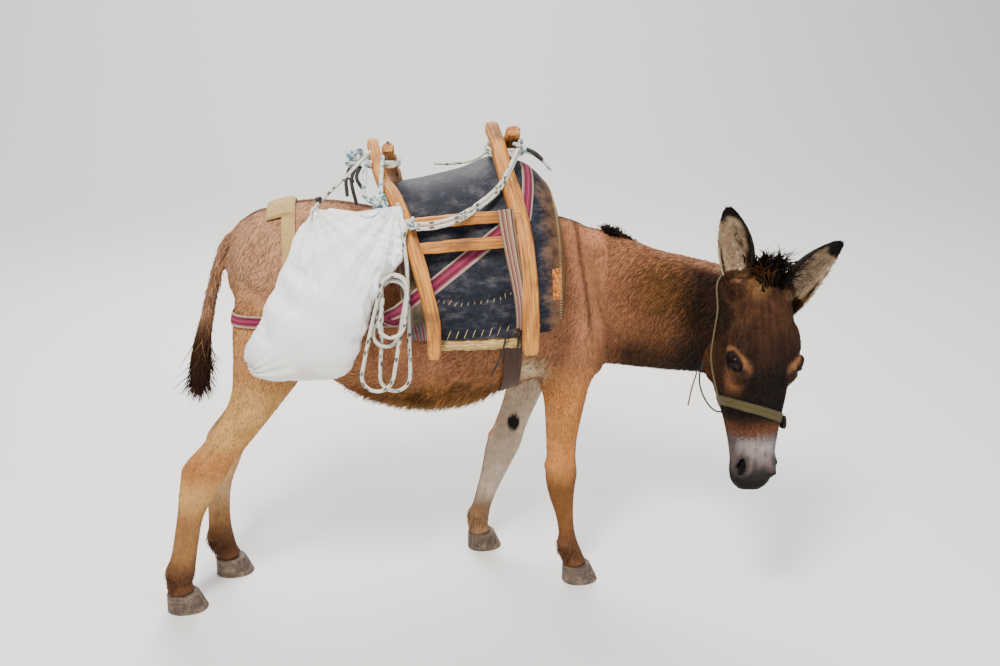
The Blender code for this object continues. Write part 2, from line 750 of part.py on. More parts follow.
def cut_mouth_and_nostrils(head, frame):
    """The line between the lips and the two nostrils."""
    tree = BVHTree.FromObject(head, bpy.context.evaluated_depsgraph_get())
    path = []
    for step in np.linspace(-1, 1, 17):
        turn = step * math.radians(MOUTH_SWEEP)
        way = frame.to_3x3() @ Vector((math.cos(turn), math.sin(turn), 0.0))
        lift = 0.010 * abs(step) ** 2
        origin = frame @ Vector((MOUTH_CENTRE, 0, MOUTH_HEIGHT + lift))
        hit = tree.ray_cast(origin, way)[0]
        path.append(hit)
    groove = tube("groove", path, MOUTH_GROOVE)
    boolean(head, groove, "DIFFERENCE")
    bpy.data.objects.remove(groove)
    for side in (-1, 1):
        place = side_frame(frame, NOSTRIL_PLACE, (0.55, 0.60, 0.55), side)
        turned = place @ Matrix.Rotation(side * math.radians(25), 4, "Z")
        pit = ball("pit", turned.translation, NOSTRIL_SIZE, turned)
        boolean(head, pit, "DIFFERENCE")
        bpy.data.objects.remove(pit)
    keep_largest(head)


def build_ear(name, head, frame):
    """A cupped shell: crescent sections from a closed root to a pointed tip."""
    root_local, tip, half_width, depth, twist = EARS[name]
    root = frame @ Vector(root_local)
    tip = Vector(tip)
    along = (tip - root).normalized()
    facing = (frame.to_3x3() @ Vector((0, 0, 1)))
    facing = (facing - along * facing.dot(along)).normalized()
    facing = Matrix.Rotation(twist, 3, along) @ facing
    across = along.cross(facing)
    length = (tip - root).length
    profile = [
        (0.00, 0.50, 0.62, 150), (0.12, 0.58, 0.80, 140), (0.28, 0.80, 0.95, 118),
        (0.45, 0.98, 0.92, 104), (0.62, 1.00, 0.76, 96), (0.78, 0.86, 0.56, 92),
        (0.90, 0.62, 0.38, 90), (0.97, 0.36, 0.22, 89), (1.00, 0.14, 0.12, 88),
    ]
    rows = hermite([(t, 0.0, 0.0, w, d, a) for t, w, d, a in profile], 11)
    rings = []
    for t, _, _, wide, deep, spread in rows:
        centre = root + along * (length * t) - facing * (0.012 * math.sin(t * math.pi))
        spread = math.radians(spread)
        angles = np.linspace(-spread, spread, 7)
        wall = EAR_WALL * (0.9 if t < 0.8 else max(0.25, (1.08 - t) * 3))
        outer = [
            centre + across * (math.sin(a) * half_width * wide) - facing * (math.cos(a) * depth * deep)
            for a in angles
        ]
        shrink_w = max(0.15, 1 - wall / (half_width * wide))
        shrink_d = max(0.15, 1 - wall / (depth * deep))
        inner = [
            centre + across * (math.sin(a) * half_width * wide * shrink_w)
            - facing * (math.cos(a) * depth * deep * shrink_d)
            for a in angles[::-1]
        ]
        rings.append(np.array([list(p) for p in outer + inner]))
    made = loft(name, rings)
    made.modifiers.new("triangles", "TRIANGULATE")
    apply_modifiers(made)
    return carve(made, [head])


def build_hoof(name, leg_stations, toe):
    """A hoof: a flared wall under the coronet, flat on the ground."""
    (x, y, _), depth, width = leg_stations[-1]
    rings = []
    for share in (0.0, 0.5, 1.0):
        flare = 1.0 + 0.30 * share
        centre = (x + toe * share, y)
        across, upwards = superellipse(16, 2.2)
        px = centre[0] + upwards * (depth + 0.003) * flare * np.where(upwards > 0, 1.1, 0.95)
        py = centre[1] + across * (width + 0.003) * (1 + 0.16 * share)
        z = HOOF_TOP * (1 - share)
        rings.append(np.stack([px, py, np.full(16, z)], axis=1))
    made = loft(name, rings)
    keep_largest(made)
    return made


def union(made, pieces):
    """Fuse pieces into a node with one Boolean on their collection."""
    group = bpy.data.collections.new("fused_pieces")
    bpy.context.scene.collection.children.link(group)
    for piece in pieces:
        for holder in list(piece.users_collection):
            holder.objects.unlink(piece)
        group.objects.link(piece)
    step = made.modifiers.new("union", "BOOLEAN")
    step.operation = "UNION"
    step.operand_type = "COLLECTION"
    step.solver = "EXACT"
    step.collection = group
    apply_modifiers(made)
    for piece in pieces:
        bpy.data.objects.remove(piece)
    bpy.data.collections.remove(group)
    keep_largest(made)


def lock(name, path, facing, width):
    """A flat, tapered lock of hair along a path; its flat side looks one way."""
    path = np.array(path)
    tangents = np.gradient(path, axis=0)
    rings = []
    for centre, tangent, full in zip(path, tangents, LOCK_FULLNESS):
        side = np.cross(tangent, facing)
        side /= np.linalg.norm(side)
        out = np.cross(side, tangent)
        out /= np.linalg.norm(out)
        half = width / 2 * full
        rings.append(np.array([
            centre + side * half, centre + out * half * LOCK_FLATNESS,
            centre - side * half, centre - out * half * LOCK_FLATNESS,
        ]))
    made = loft(name, rings)
    made.modifiers.new("triangles", "TRIANGULATE")
    apply_modifiers(made)
    return made


def row_of_locks(name, ends, count, width, facing, spread, bend):
    """Locks side by side from a row of feet to a row of tips, leaning to either side in turn."""
    random = np.random.default_rng(11)
    first_foot, last_foot, first_tip, last_tip = (np.array(end) for end in ends)
    facing = np.array(facing)
    locks = []
    for number in range(count):
        share = number / (count - 1)
        foot = first_foot * (1 - share) + last_foot * share
        tip = first_tip * (1 - share) + last_tip * share
        lean = (-1) ** number * spread
        tip = foot + (tip - foot) * random.uniform(0.82, 1.08) + facing * lean
        steps = np.linspace(0, 1, len(LOCK_FULLNESS))
        path = [foot + (tip - foot) * t + np.array(bend) * math.sin(t * math.pi) + facing * lean * 0.4 for t in steps]
        turned = facing + (last_foot - first_foot) * random.uniform(-3, 3)
        locks.append(lock(name, path, turned, width * random.uniform(0.9, 1.1)))
    return locks


def add_tufts(neck, head, frame):
    """The mane tuft on the crest and the forelock."""
    *ends, count, width = MANE_TUFT
    union(neck, row_of_locks("mane_tuft", ends, count, width, (0.2, -1.0, 0.0), MANE_SPREAD, (-0.004, 0, 0)))
    *ends, count, width = FORELOCK
    ends = [tuple(frame @ Vector(end)) for end in ends]
    out = frame.to_3x3() @ Vector((0, 0, 1))
    union(head, row_of_locks("forelock", ends, count, width, tuple(out), FORELOCK_SPREAD, tuple(out * 0.006)))


def build_tail(torso):
    """The dock and the long hair of the switch, which falls in overlapping locks."""
    random = np.random.default_rng(5)
    tail = limb("tail", [(c, r * 0.86, r * 0.92) for c, r in TAIL], (1, 0, 0), 14, 10, 2.0)
    rows = hermite([(*centre, radius) for centre, radius in TAIL], 60)
    locks = []
    for number in range(SWITCH_LOCKS):
        turn = 2 * math.pi * (number * 0.382)
        out = np.array((math.cos(turn), math.sin(turn), 0.0))
        start = SWITCH_ROOTS[0] + (SWITCH_ROOTS[1] - SWITCH_ROOTS[0]) * number / (SWITCH_LOCKS - 1)
        end = random.uniform(*SWITCH_TIPS)
        fall = SWITCH_FALL * random.uniform(0.4, 1.0) * smooth_share(number, SWITCH_LOCKS)
        path = []
        for step, full in enumerate(np.linspace(0, 1, len(LOCK_FULLNESS))):
            row = rows[int(round((start + (end - start) * full) * (len(rows) - 1)))]
            reach = row[3] * (0.55, 0.86, 0.92, 0.80, 0.45)[step]
            path.append(row[:3] + out * reach - np.array((0.10, 0, 1.0)) * fall * full**2)
        locks.append(lock("switch", path, tuple(out), SWITCH_WIDTH * random.uniform(0.85, 1.1)))
    union(tail, locks)
    return carve(tail, [torso])


def smooth_share(number, count):
    """From a third for the first of a row up to one for the last."""
    return 0.33 + 0.67 * number / (count - 1)


def build_pad():
    """A thick arched pad over the barrel, before its inside is cut to the blanket."""
    rows = hermite([(x, 0.0, 0.0, top, wide, lean, hem) for x, top, wide, lean, hem in PAD], 11)
    turns = np.linspace(0, math.pi, 15)
    shares = np.sin(turns) ** (2 / PAD_SQUARENESS)
    across = np.sign(np.cos(turns)) * np.abs(np.cos(turns)) ** (2 / PAD_SQUARENESS)
    rings = []
    for x, _, _, top, wide, lean, hem in rows:
        z = hem + (top - hem) * shares
        arch = np.stack([x + lean * (1 - shares), across * wide, z], axis=1)
        base = np.array([[x + lean, side * wide * 0.5, hem] for side in (-1, 1)])
        rings.append(np.concatenate([arch, base]))
    made = loft("saddle_pad", rings)
    keep_largest(made)
    return made


def build_blanket(torso):
    """A cloth around the barrel, a little longer than the pad."""
    rows = [row for row in trunk_rows(27) if BLANKET_REAR - 0.03 < row[0] < BLANKET_FRONT + 0.03]
    made = loft("blanket", [trunk_ring(row, BLANKET_THICK, 20) for row in rows])
    for vert in made.data.vertices:
        rear = max(0.0, 1 - (vert.co.x - BLANKET_REAR) / 0.20)
        vert.co.x += BLANKET_LEAN * rear * (1.08 - vert.co.z)
    window = block("window", (-0.2, -0.4, BLANKET_HEM), (BLANKET_FRONT, 0.4, 1.3))
    boolean(made, window, "INTERSECT")
    bpy.data.objects.remove(window)
    return carve(made, [torso])


def build_post(arch, side, lane):
    """One bent post: up the pad's side, then straight on past the crossing to its horn."""
    foot_x, cross_x, cross_z, half_along, half_out = ARCHES[arch]
    name = "post_" + arch + ("_right" if side < 0 else "_left")
    path = [
        (foot_x, side * 0.302, POST_FOOT),
        (foot_x - 0.02 * (foot_x - cross_x), side * 0.303, 0.86),
        (foot_x - 0.20 * (foot_x - cross_x), side * 0.288, 0.965),
        (foot_x - 0.45 * (foot_x - cross_x), side * 0.252, 1.062),
        (foot_x - 0.68 * (foot_x - cross_x) + lane * 0.4, side * 0.185, 1.150),
        (foot_x - 0.88 * (foot_x - cross_x) + lane * 0.9, side * 0.085, cross_z - 0.050),
        (cross_x + lane, 0.0, cross_z),
        (cross_x + lane * 1.1 - 0.004, -side * 0.058, cross_z + 0.030),
    ]
    taper = (0.92, 1.0, 1.0, 1.0, 0.98, 0.92, 0.86, 0.84)
    stations = [(p, half_along * t, half_out * t) for p, t in zip(path, taper)]
    made = limb(name, stations, (1, 0, 0), 12, 8, 3.2)
    keep_largest(made)
    return made


def build_slat(name, side, height, posts):
    """A slat that fills the way between the two posts of one side."""
    front = ARCHES["front"][0] - 0.010
    rear = ARCHES["rear"][0] - 0.050
    share = (height - PAD_HEM) / (1.200 - PAD_HEM)
    y = 0.276 * (1 - share**PAD_SQUARENESS) ** (1 / PAD_SQUARENESS) + 0.030
    stations = [((rear, side * y, height - 0.006), SLAT_HALF[0], SLAT_HALF[1]),
                ((front, side * (y + 0.004), height + 0.008), SLAT_HALF[0], SLAT_HALF[1])]
    made = limb(name, stations, (0, 0, 1), 3, 8, 4.0)
    return carve(made, posts)


def build_sack():
    """A woven sack, flat at its tied mouth and full at its foot."""
    rows = hermite([(z, 0.0, 0.0, rear, front, thick, y) for z, rear, front, thick, y in SACK], 11)
    rings = []
    for z, _, _, rear, front, thick, y in rows:
        across, upwards = superellipse(16, 2.0)
        middle, half = (rear + front) / 2, (front - rear) / 2
        sag = -0.020 * (1 - across**2) * max(0.0, (z - 1.08) / 0.08)
        rings.append(np.stack([middle + across * half, y - upwards * thick, z + sag], axis=1))
    made = loft("sack", rings)
    keep_largest(made)
    return made


def surface_point(trees, start, way, lift):
    """Where a straight look from start first meets a piece, moved back by lift."""
    best, far = None, 1e9
    for tree in trees:
        hit, _, _, distance = tree.ray_cast(start, way)
        if hit is not None and distance < far:
            best, far = hit, distance
    return best - way * lift if best is not None else None


def ribbon(name, inner_edges, outer_lift, sink):
    """A strap through sections: each has its two edges and the way that looks into the body."""
    rings = []
    for left, right, way in inner_edges:
        rings.append(np.array([
            left + way * sink, left - way * outer_lift, right - way * outer_lift, right + way * sink,
        ]))
    made = loft(name, rings)
    keep_largest(made)
    return made


def straight_edges(path, way, width):
    """Edges of a strap whose middle line is known and that faces one way."""
    path = np.array(path)
    tangents = np.gradient(path, axis=0)
    way = np.array(way) / np.linalg.norm(way)
    edges = []
    for centre, tangent in zip(path, tangents):
        side = np.cross(tangent, way)
        side *= width / 2 / np.linalg.norm(side)
        edges.append((centre - side, centre + side, way))
    return edges


def cast_edges(targets, route, width):
    """Edges of a strap laid on pieces, where looks along the route meet them."""
    graph = bpy.context.evaluated_depsgraph_get()
    trees = [BVHTree.FromObject(target, graph) for target in targets]
    starts = np.array([tuple(start) for start, _ in route])
    ways = [(Vector(aim) - Vector(start)).normalized() for start, aim in route]
    hits = [surface_point(trees, Vector(start), way, 0.0005) for start, way in zip(starts, ways)]
    kept = [(hit, way) for hit, way in zip(hits, ways) if hit is not None]
    centres = np.array([tuple(hit) for hit, _ in kept])
    tangents = np.gradient(centres, axis=0)
    edges = []
    for (hit, way), tangent in zip(kept, tangents):
        side = Vector(tangent).cross(way).normalized() * width / 2
        pair = []
        for edge in (hit - side, hit + side):
            met = surface_point(trees, edge - way * 0.2, way, 0.0005)
            pair.append(np.array(met if met is not None and (met - edge).length < 0.03 else edge))
        edges.append((pair[0], pair[1], np.array(way)))
    return edges


def cast_ribbon(name, targets, route, width, thickness=STRAP_THICK, sink=0.006):
    """A strap laid on pieces: each route row is a start point and an aim point."""
    made = ribbon(name, cast_edges(targets, route, width), thickness, sink)
    return carve(made, targets)


def around_trunk(x, middle_height, low_turn, high_turn, count):
    """Looks at the trunk from outside, between two angles measured from straight up."""
    middle = Vector((x, 0, middle_height))
    route = []
    for turn in np.radians(np.linspace(low_turn, high_turn, count)):
        out = Vector((0, math.sin(turn), math.cos(turn)))
        route.append((middle + out * 0.6, middle))
    return route


def lashing(name, centre, axis, ring_radius, rope_radius, posts, turns):
    """Turns of rope around a crossing, as one ring cut clear of the wood."""
    bpy.ops.mesh.primitive_torus_add(
        major_radius=ring_radius, minor_radius=rope_radius, major_segments=14, minor_segments=6
    )
    made = bpy.context.object
    made.name = name
    made.scale = (1.0, 1.0, turns)
    made.rotation_euler = Vector(axis).to_track_quat("Z", "Y").to_euler()
    made.location = centre
    bake_transform(made)
    return carve(made, posts)


def build_hank():
    """The outer shape of the hanging hank: an outline with round ends, extruded."""
    half_x, half_y, half_z = HANK_HALF
    straight = half_z - half_x
    turns = np.linspace(0, math.pi, 9)
    outline = [(half_x * math.cos(a), straight + half_x * math.sin(a)) for a in turns]
    outline += [(-x, -z) for x, z in outline]
    rings = []
    for y, shrink in ((-half_y, 0.93), (-half_y * 0.6, 1.0), (half_y * 0.6, 1.0), (half_y, 0.93)):
        rings.append(np.array([(x * shrink, y, z * shrink) for x, z in outline]) + HANK_CENTRE)
    made = loft("rope_hank", rings)
    keep_largest(made)
    return made


def smooth_path(points, samples):
    """Closely spaced points on a smooth curve through a few."""
    return [tuple(p) for p in hermite(points, samples)]


def build_noseband(head, frame):
    """A band around the nose: both its edges lie on the head."""
    place, lean = NOSEBAND_PLACE
    tree = [BVHTree.FromObject(head, bpy.context.evaluated_depsgraph_get())]
    rings = []
    for a in np.linspace(0, 2 * math.pi, NOSEBAND_SIDES, endpoint=False):
        out = Vector((0, math.cos(a), math.sin(a)))
        pair = []
        for edge in (-0.5, 0.5):
            middle = Vector((place + lean * math.cos(a) + edge * NOSEBAND_WIDTH, 0, -0.075))
            aim = frame @ middle
            way = (aim - frame @ (middle + out * 0.25)).normalized()
            pair.append((surface_point(tree, aim - way * 0.25, way, 0.0), way))
        (upper, way), (lower, _) = pair
        lift, sink = way * -NOSEBAND_THICK, way * 0.006
        rings.append(np.array([tuple(p) for p in (upper + sink, upper + lift, lower + lift, lower + sink)]))
    faces = []
    for ring in range(NOSEBAND_SIDES):
        after = (ring + 1) % NOSEBAND_SIDES
        for side in range(4):
            turn = (side + 1) % 4
            faces.append((ring * 4 + side, ring * 4 + turn, after * 4 + turn, after * 4 + side))
    made = mesh_object("halter_noseband", np.concatenate(rings), faces)
    return carve(made, [head])


def headcord_path(head, frame):
    """From the noseband up the right cheek, over the poll behind the ears and down the left cheek."""
    tree = [BVHTree.FromObject(head, bpy.context.evaluated_depsgraph_get())]
    looks = []
    for s, z in HEADCORD_SIDE:
        looks.append(((s, 0.0, z), (0.0, -1.0, 0.0)))
    for turn in np.radians((-60, -30, 0, 30, 60)):
        looks.append(((HEADCORD_TOP[0], 0.0, HEADCORD_TOP[1]), (-math.cos(turn), math.sin(turn), 0.0)))
    for s, z in HEADCORD_SIDE[::-1]:
        looks.append(((s, 0.0, z), (0.0, 1.0, 0.0)))
    points = []
    for middle, out in looks:
        aim = frame @ Vector(middle)
        start = frame @ (Vector(middle) + Vector(out) * 0.3)
        points.append(tuple(surface_point(tree, start, (aim - start).normalized(), CORD + GAP)))
    return points


def build_tack(nodes, frame):
    """Blanket, pad, frame, straps, ropes, sack and halter."""
    torso, head = nodes["torso"], nodes["head"]
    blanket = build_blanket(torso)
    pad = carve(build_pad(), [torso, blanket])
    nodes["blanket"], nodes["saddle_pad"] = blanket, pad

    posts = {}
    for arch in ARCHES:
        lane = ARCHES[arch][3] * 0.88 + GAP
        for side, way in ((-1, -1), (1, 1)):
            post = build_post(arch, side, way * lane)
            posts[post.name] = carve(post, [pad])
    nodes.update(posts)
    for level, height in SLAT_HEIGHTS.items():
        for side, hand in ((-1, "right"), (1, "left")):
            name = "slat_" + level + "_" + hand
            pair = [posts["post_front_" + hand], posts["post_rear_" + hand]]
            nodes[name] = build_slat(name, side, height, pair + [pad])

    for hand, side in (("right", -1), ("left", 1)):
        rows = [(0.145, side * 0.268, PAD_HEM - 0.014), (0.250, side * 0.276, PAD_HEM - 0.015),
                (0.356, side * 0.277, PAD_HEM - 0.012)]
        name = "pad_roll_" + hand
        roll = tube(name, smooth_path(rows, 5), ROLL_RADIUS)
        pair = [posts["post_front_" + hand], posts["post_rear_" + hand]]
        nodes[name] = carve(roll, [pad, blanket, torso] + pair)

    nodes["sack"] = carve(build_sack(), [torso, blanket, posts["post_rear_right"]])
    build_straps(nodes, posts)
    build_ropes(nodes, posts)
    build_halter(nodes, frame)


def build_straps(nodes, posts):
    """Girth, breeching, hip strap with its pad, and the bands over the saddle."""
    torso, pad, blanket = nodes["torso"], nodes["saddle_pad"], nodes["blanket"]
    under = around_trunk(GIRTH_X, 0.83, 101, 259, 16)
    girth = cast_ribbon("girth", [torso], under, GIRTH_WIDTH, 0.005)
    nodes["girth"] = carve(girth, [blanket, pad, nodes["pad_roll_right"], nodes["pad_roll_left"]])

    hip = cast_ribbon("hip_strap", [torso], around_trunk(HIP_STRAP_X, 0.90, -104, 104, 19), 0.034)
    nodes["hip_strap"] = carve(hip, [nodes["sack"]])

    patch = []
    for y in np.linspace(*CROUP_PAD_REACH, 9):
        patch.append((Vector((CROUP_PAD_X, y, 1.5)), Vector((CROUP_PAD_X, y * 0.5, 0.9))))
    nodes["croup_pad"] = cast_ribbon("croup_pad", [torso, nodes["hip_strap"]], patch, 0.072, 0.007, 0.009)

    breech = []
    for turn in np.linspace(-118, 118, 37):
        a = math.radians(turn)
        out = Vector((-math.cos(a), math.sin(a), 0))
        middle = Vector((-0.16, 0, BREECH_HEIGHT))
        if abs(turn) > 60:
            shift = (abs(turn) - 60) / 58
            middle.x += 0.10 * shift
        breech.append((middle + out * 0.7, middle))
    strap = cast_ribbon("breeching", [torso], breech, 0.030, 0.004)
    others = [nodes["hip_strap"], nodes["sack"], blanket, pad, nodes["tail"]]
    nodes["breeching"] = carve(strap, others)

    for hand, side in (("right", -1), ("left", 1)):
        band = []
        for share in np.linspace(0, 1, 7):
            x = 0.318 - 0.235 * share
            z = 1.105 - 0.185 * share
            band.append((Vector((x, side * 0.6, z + 0.10)), Vector((x, 0, z - 0.10))))
        name = "band_" + hand
        strap = cast_ribbon(name, [pad], band, 0.038, 0.003)
        near = [posts["post_front_" + hand], posts["post_rear_" + hand]]
        near += [nodes["slat_upper_" + hand], nodes["slat_lower_" + hand], nodes["sack"]]
        nodes[name] = carve(strap, near)

    over = around_trunk(0.408, 0.90, -52, 12, 8)
    nodes["band_front"] = carve(cast_ribbon("band_front", [pad], over, 0.032), list(posts.values()))

    stripe = [(0.318, -0.262, 1.140), (0.324, -0.280, 1.085), (0.334, -0.296, 1.020),
              (0.345, -0.306, 0.955), (0.352, -0.310, 0.895), (0.354, -0.300, 0.842)]
    edges = straight_edges(smooth_path(stripe, 9), (0.0, 1.0, 0.15), 0.034)
    strap = ribbon("band_striped", edges, 0.003, 0.003)
    near = [posts["post_front_right"], nodes["slat_upper_right"], nodes["slat_lower_right"]]
    nodes["band_striped"] = carve(strap, near + [pad, nodes["pad_roll_right"], nodes["band_right"]])


def build_ropes(nodes, posts):
    """Rope along the saddle, its lashings and knots, the hank and the cords of the sack."""
    wood = list(posts.values())
    pad, sack = nodes["saddle_pad"], nodes["sack"]
    slats = [nodes[n] for n in nodes if n.startswith("slat_")]
    front, rear = ARCHES["front"], ARCHES["rear"]
    nodes["lashing_front"] = lashing(
        "lashing_front", (front[1] + 0.002, 0.0, front[2] - 0.024), (0, 0.15, 1), 0.052, 0.012, wood + [pad], 1.5)
    nodes["lashing_rear"] = lashing(
        "lashing_rear", (rear[1] + 0.003, 0.0, rear[2] - 0.014), (0, 0.1, 1), 0.046, 0.012, wood + [pad], 1.4)
    lashes = [nodes["lashing_front"], nodes["lashing_rear"]]
    for number, drop in ((1, 0.0), (2, 0.0115)):
        name = "rope_span_" + str(number)
        points = [(x, y - drop * 0.25, z - drop) for x, y, z in smooth_path(ROPE_SPAN, 15)]
        earlier = [nodes["rope_span_1"]] if number == 2 else []
        rope = tube(name, points, ROPE)
        nodes[name] = carve(rope, wood + lashes + slats + [pad, sack] + earlier)
    spans = [nodes["rope_span_1"], nodes["rope_span_2"]]
    nodes["rope_far"] = carve(tube("rope_far", smooth_path(ROPE_FAR, 8), THIN_ROPE), wood + lashes + [pad])

    nodes["rope_hank"] = carve(build_hank(), [sack, posts["post_rear_right"], nodes["blanket"], pad])
    hank = nodes["rope_hank"]
    drop = tube("rope_drop", smooth_path(ROPE_DROP, 7), ROPE)
    nodes["rope_drop"] = carve(drop, [hank, sack, pad] + wood + spans + slats)
    for name, route in SACK_CORDS.items():
        cord = tube(name, smooth_path(route, 8), CORD * 1.6)
        nodes[name] = carve(cord, wood + lashes + [sack, pad, nodes["rope_drop"]] + spans)

    for name, route in THONGS.items():
        radius = CORD * 1.8 if name == "rope_end" else CORD
        thong = tube(name, smooth_path(route, 6), radius)
        nodes[name] = carve(thong, wood + lashes + [pad, nodes["band_striped"], nodes["pad_roll_right"]])

    coil = ball("knot_coil", (-0.040, -0.060, 1.246), (0.024, 0.014, 0.026), None, 12)
    nodes["knot_coil"] = carve(coil, wood + lashes + [nodes["sack_cord_rear"]])


def build_halter(nodes, frame):
    """Noseband with its buckle, the cord over the poll, the throat cord and its loose end."""
    head = nodes["head"]
    ears = [nodes["ear_right"], nodes["ear_left"]]
    noseband = build_noseband(head, frame)
    nodes["halter_noseband"] = noseband
    buckle = block("halter_buckle", BUCKLE_LOW, BUCKLE_HIGH)
    buckle.data.transform(frame @ Matrix.Translation(BUCKLE_PLACE))
    nodes["halter_buckle"] = carve(buckle, [head, noseband])

    over = tube("halter_headcord", smooth_path(headcord_path(head, frame), 19), CORD)
    over = carve(over, [head, noseband, nodes["neck"]] + ears)
    nodes["halter_headcord"] = over
    for name, route in (("halter_throat", THROAT_CORD), ("halter_end", HALTER_END)):
        points = smooth_path([tuple(frame @ Vector(place)) for place in route], 2 * len(route))
        cord = tube(name, points, CORD * 0.8)
        nodes[name] = carve(cord, [head, noseband, over] + [nodes[n] for n in ("halter_throat",) if n in nodes])


def finish(nodes):
    """One collection, one material for each node, and the frame's origin."""
    group = bpy.data.collections.new("pack_donkey")
    bpy.context.scene.collection.children.link(group)
    for name, piece in nodes.items():
        piece.name = name
        piece.data.name = name
        piece.data.transform(Matrix.Translation(SHIFT))
        for holder in list(piece.users_collection):
            holder.objects.unlink(piece)
        group.objects.link(piece)
        colour, roughness = FINISH[next(key for key in FINISH if name.startswith(key))]
        material = bpy.data.materials.new(name)
        material.use_nodes = True
        shader = material.node_tree.nodes["Principled BSDF"]
        shader.inputs["Base Color"].default_value = (*colour, 1.0)
        shader.inputs["Roughness"].default_value = roughness
        shader.inputs["Metallic"].default_value = 0.0
        piece.data.materials.clear()
        piece.data.materials.append(material)
        piece.data.shade_smooth()
        piece.data.set_sharp_from_angle(angle=math.radians(50))


# Colour and roughness by the first letters of a node's name
FINISH = {
    "hoof": ((0.10, 0.08, 0.07), 0.6),
    "eye": ((0.02, 0.012, 0.01), 0.1),
    "blanket": ((0.35, 0.35, 0.36), 0.9),
    "saddle_pad": ((0.05, 0.055, 0.07), 0.6),
    "pad_roll": ((0.55, 0.45, 0.28), 0.9),
    "post": ((0.55, 0.33, 0.15), 0.6),
    "slat": ((0.60, 0.38, 0.18), 0.6),
    "sack": ((0.85, 0.86, 0.88), 0.5),
    "rope": ((0.75, 0.75, 0.72), 0.8),
    "lashing": ((0.70, 0.72, 0.72), 0.8),
    "knot": ((0.45, 0.60, 0.62), 0.8),
    "croup": ((0.70, 0.60, 0.40), 0.9),
    "hip": ((0.75, 0.68, 0.42), 0.8),
    "halter": ((0.22, 0.21, 0.08), 0.7),
    "band": ((0.55, 0.20, 0.28), 0.8),
    "breeching": ((0.45, 0.08, 0.14), 0.8),
    "girth": ((0.16, 0.08, 0.05), 0.8),
    "thong": ((0.16, 0.08, 0.05), 0.8),
    "": ((0.24, 0.12, 0.08), 0.9),
}


def clear_scene():
    for old in list(bpy.data.objects):
        bpy.data.objects.remove(old, do_unlink=True)


def main():
    clear_scene()
    frame = head_matrix()
    body = build_body()
    head = build_head_mass(frame)
    nodes = {}

    neck_cut = frame @ Vector((0.06, 0.0, -0.150))
    neck_way = Vector((0.30, -0.95, 0.05)).normalized()
    half_space(head, neck_cut + neck_way * (GAP / 2), neck_way, True)
    half_space(body, neck_cut - neck_way * (GAP / 2), neck_way, False)

    for name, stations in LEGS.items():
        side = 1 if name.endswith("left") else -1
        fore = name.startswith("fore")
        nodes[name] = take_leg(body, name, side, FORE_CUT if fore else HIND_CUT)
        hoof = "hoof_" + ("fore" if fore else "hind") + "_" + ("left" if side > 0 else "right")
        nodes[hoof] = build_hoof(hoof, stations, 0.010)
    below = block("below", (-1, -1, -0.5), (1.5, 1, 0.30))
    boolean(body, below, "DIFFERENCE")
    bpy.data.objects.remove(below)

    neck = bpy.data.objects.new("neck", body.data.copy())
    bpy.context.scene.collection.objects.link(neck)
    base = Vector((0.592, 0.0, 0.85))
    way = Vector((0.955, 0.0, 0.297)).normalized()
    half_space(neck, base + way * (GAP / 2), way, True)
    half_space(body, base - way * (GAP / 2), way, False)
    nodes["neck"] = neck
    body.name = "torso"
    nodes["torso"] = body

    eyes = build_eyes(head, frame)
    cut_mouth_and_nostrils(head, frame)
    nodes["head"] = head
    for eye in eyes:
        nodes[eye.name] = eye
    add_tufts(neck, head, frame)
    for name in EARS:
        nodes[name] = build_ear(name, head, frame)
    nodes["tail"] = build_tail(body)
    build_tack(nodes, frame)
    finish(nodes)


main()
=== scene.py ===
import math

import bmesh
import bpy
import numpy as np
from mathutils import Matrix, Vector
from mathutils.bvhtree import BVHTree
from mathutils.kdtree import KDTree


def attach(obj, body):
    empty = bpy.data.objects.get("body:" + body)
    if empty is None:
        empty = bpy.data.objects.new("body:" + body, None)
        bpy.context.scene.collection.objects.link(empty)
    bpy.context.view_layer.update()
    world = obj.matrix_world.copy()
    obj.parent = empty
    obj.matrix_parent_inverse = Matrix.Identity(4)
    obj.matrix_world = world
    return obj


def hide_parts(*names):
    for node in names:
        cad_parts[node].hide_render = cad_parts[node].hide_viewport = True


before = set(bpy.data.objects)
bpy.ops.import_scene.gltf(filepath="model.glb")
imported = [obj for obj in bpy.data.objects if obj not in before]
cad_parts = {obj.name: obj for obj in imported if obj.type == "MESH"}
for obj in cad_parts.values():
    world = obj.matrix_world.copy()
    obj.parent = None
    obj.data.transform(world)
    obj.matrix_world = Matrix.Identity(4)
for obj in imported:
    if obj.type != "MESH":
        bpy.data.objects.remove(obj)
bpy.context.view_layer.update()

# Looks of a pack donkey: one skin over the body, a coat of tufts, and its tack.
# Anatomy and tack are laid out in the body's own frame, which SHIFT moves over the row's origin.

SHIFT = Vector((-0.279, 0.0725, 0.0))

# Edges bent by more than this stay sharp, in degrees
SHARP_ANGLE = 60

# Fineness of the skin
SKIN_VOXEL = 0.0034
SKIN_TRIANGLES = 165000

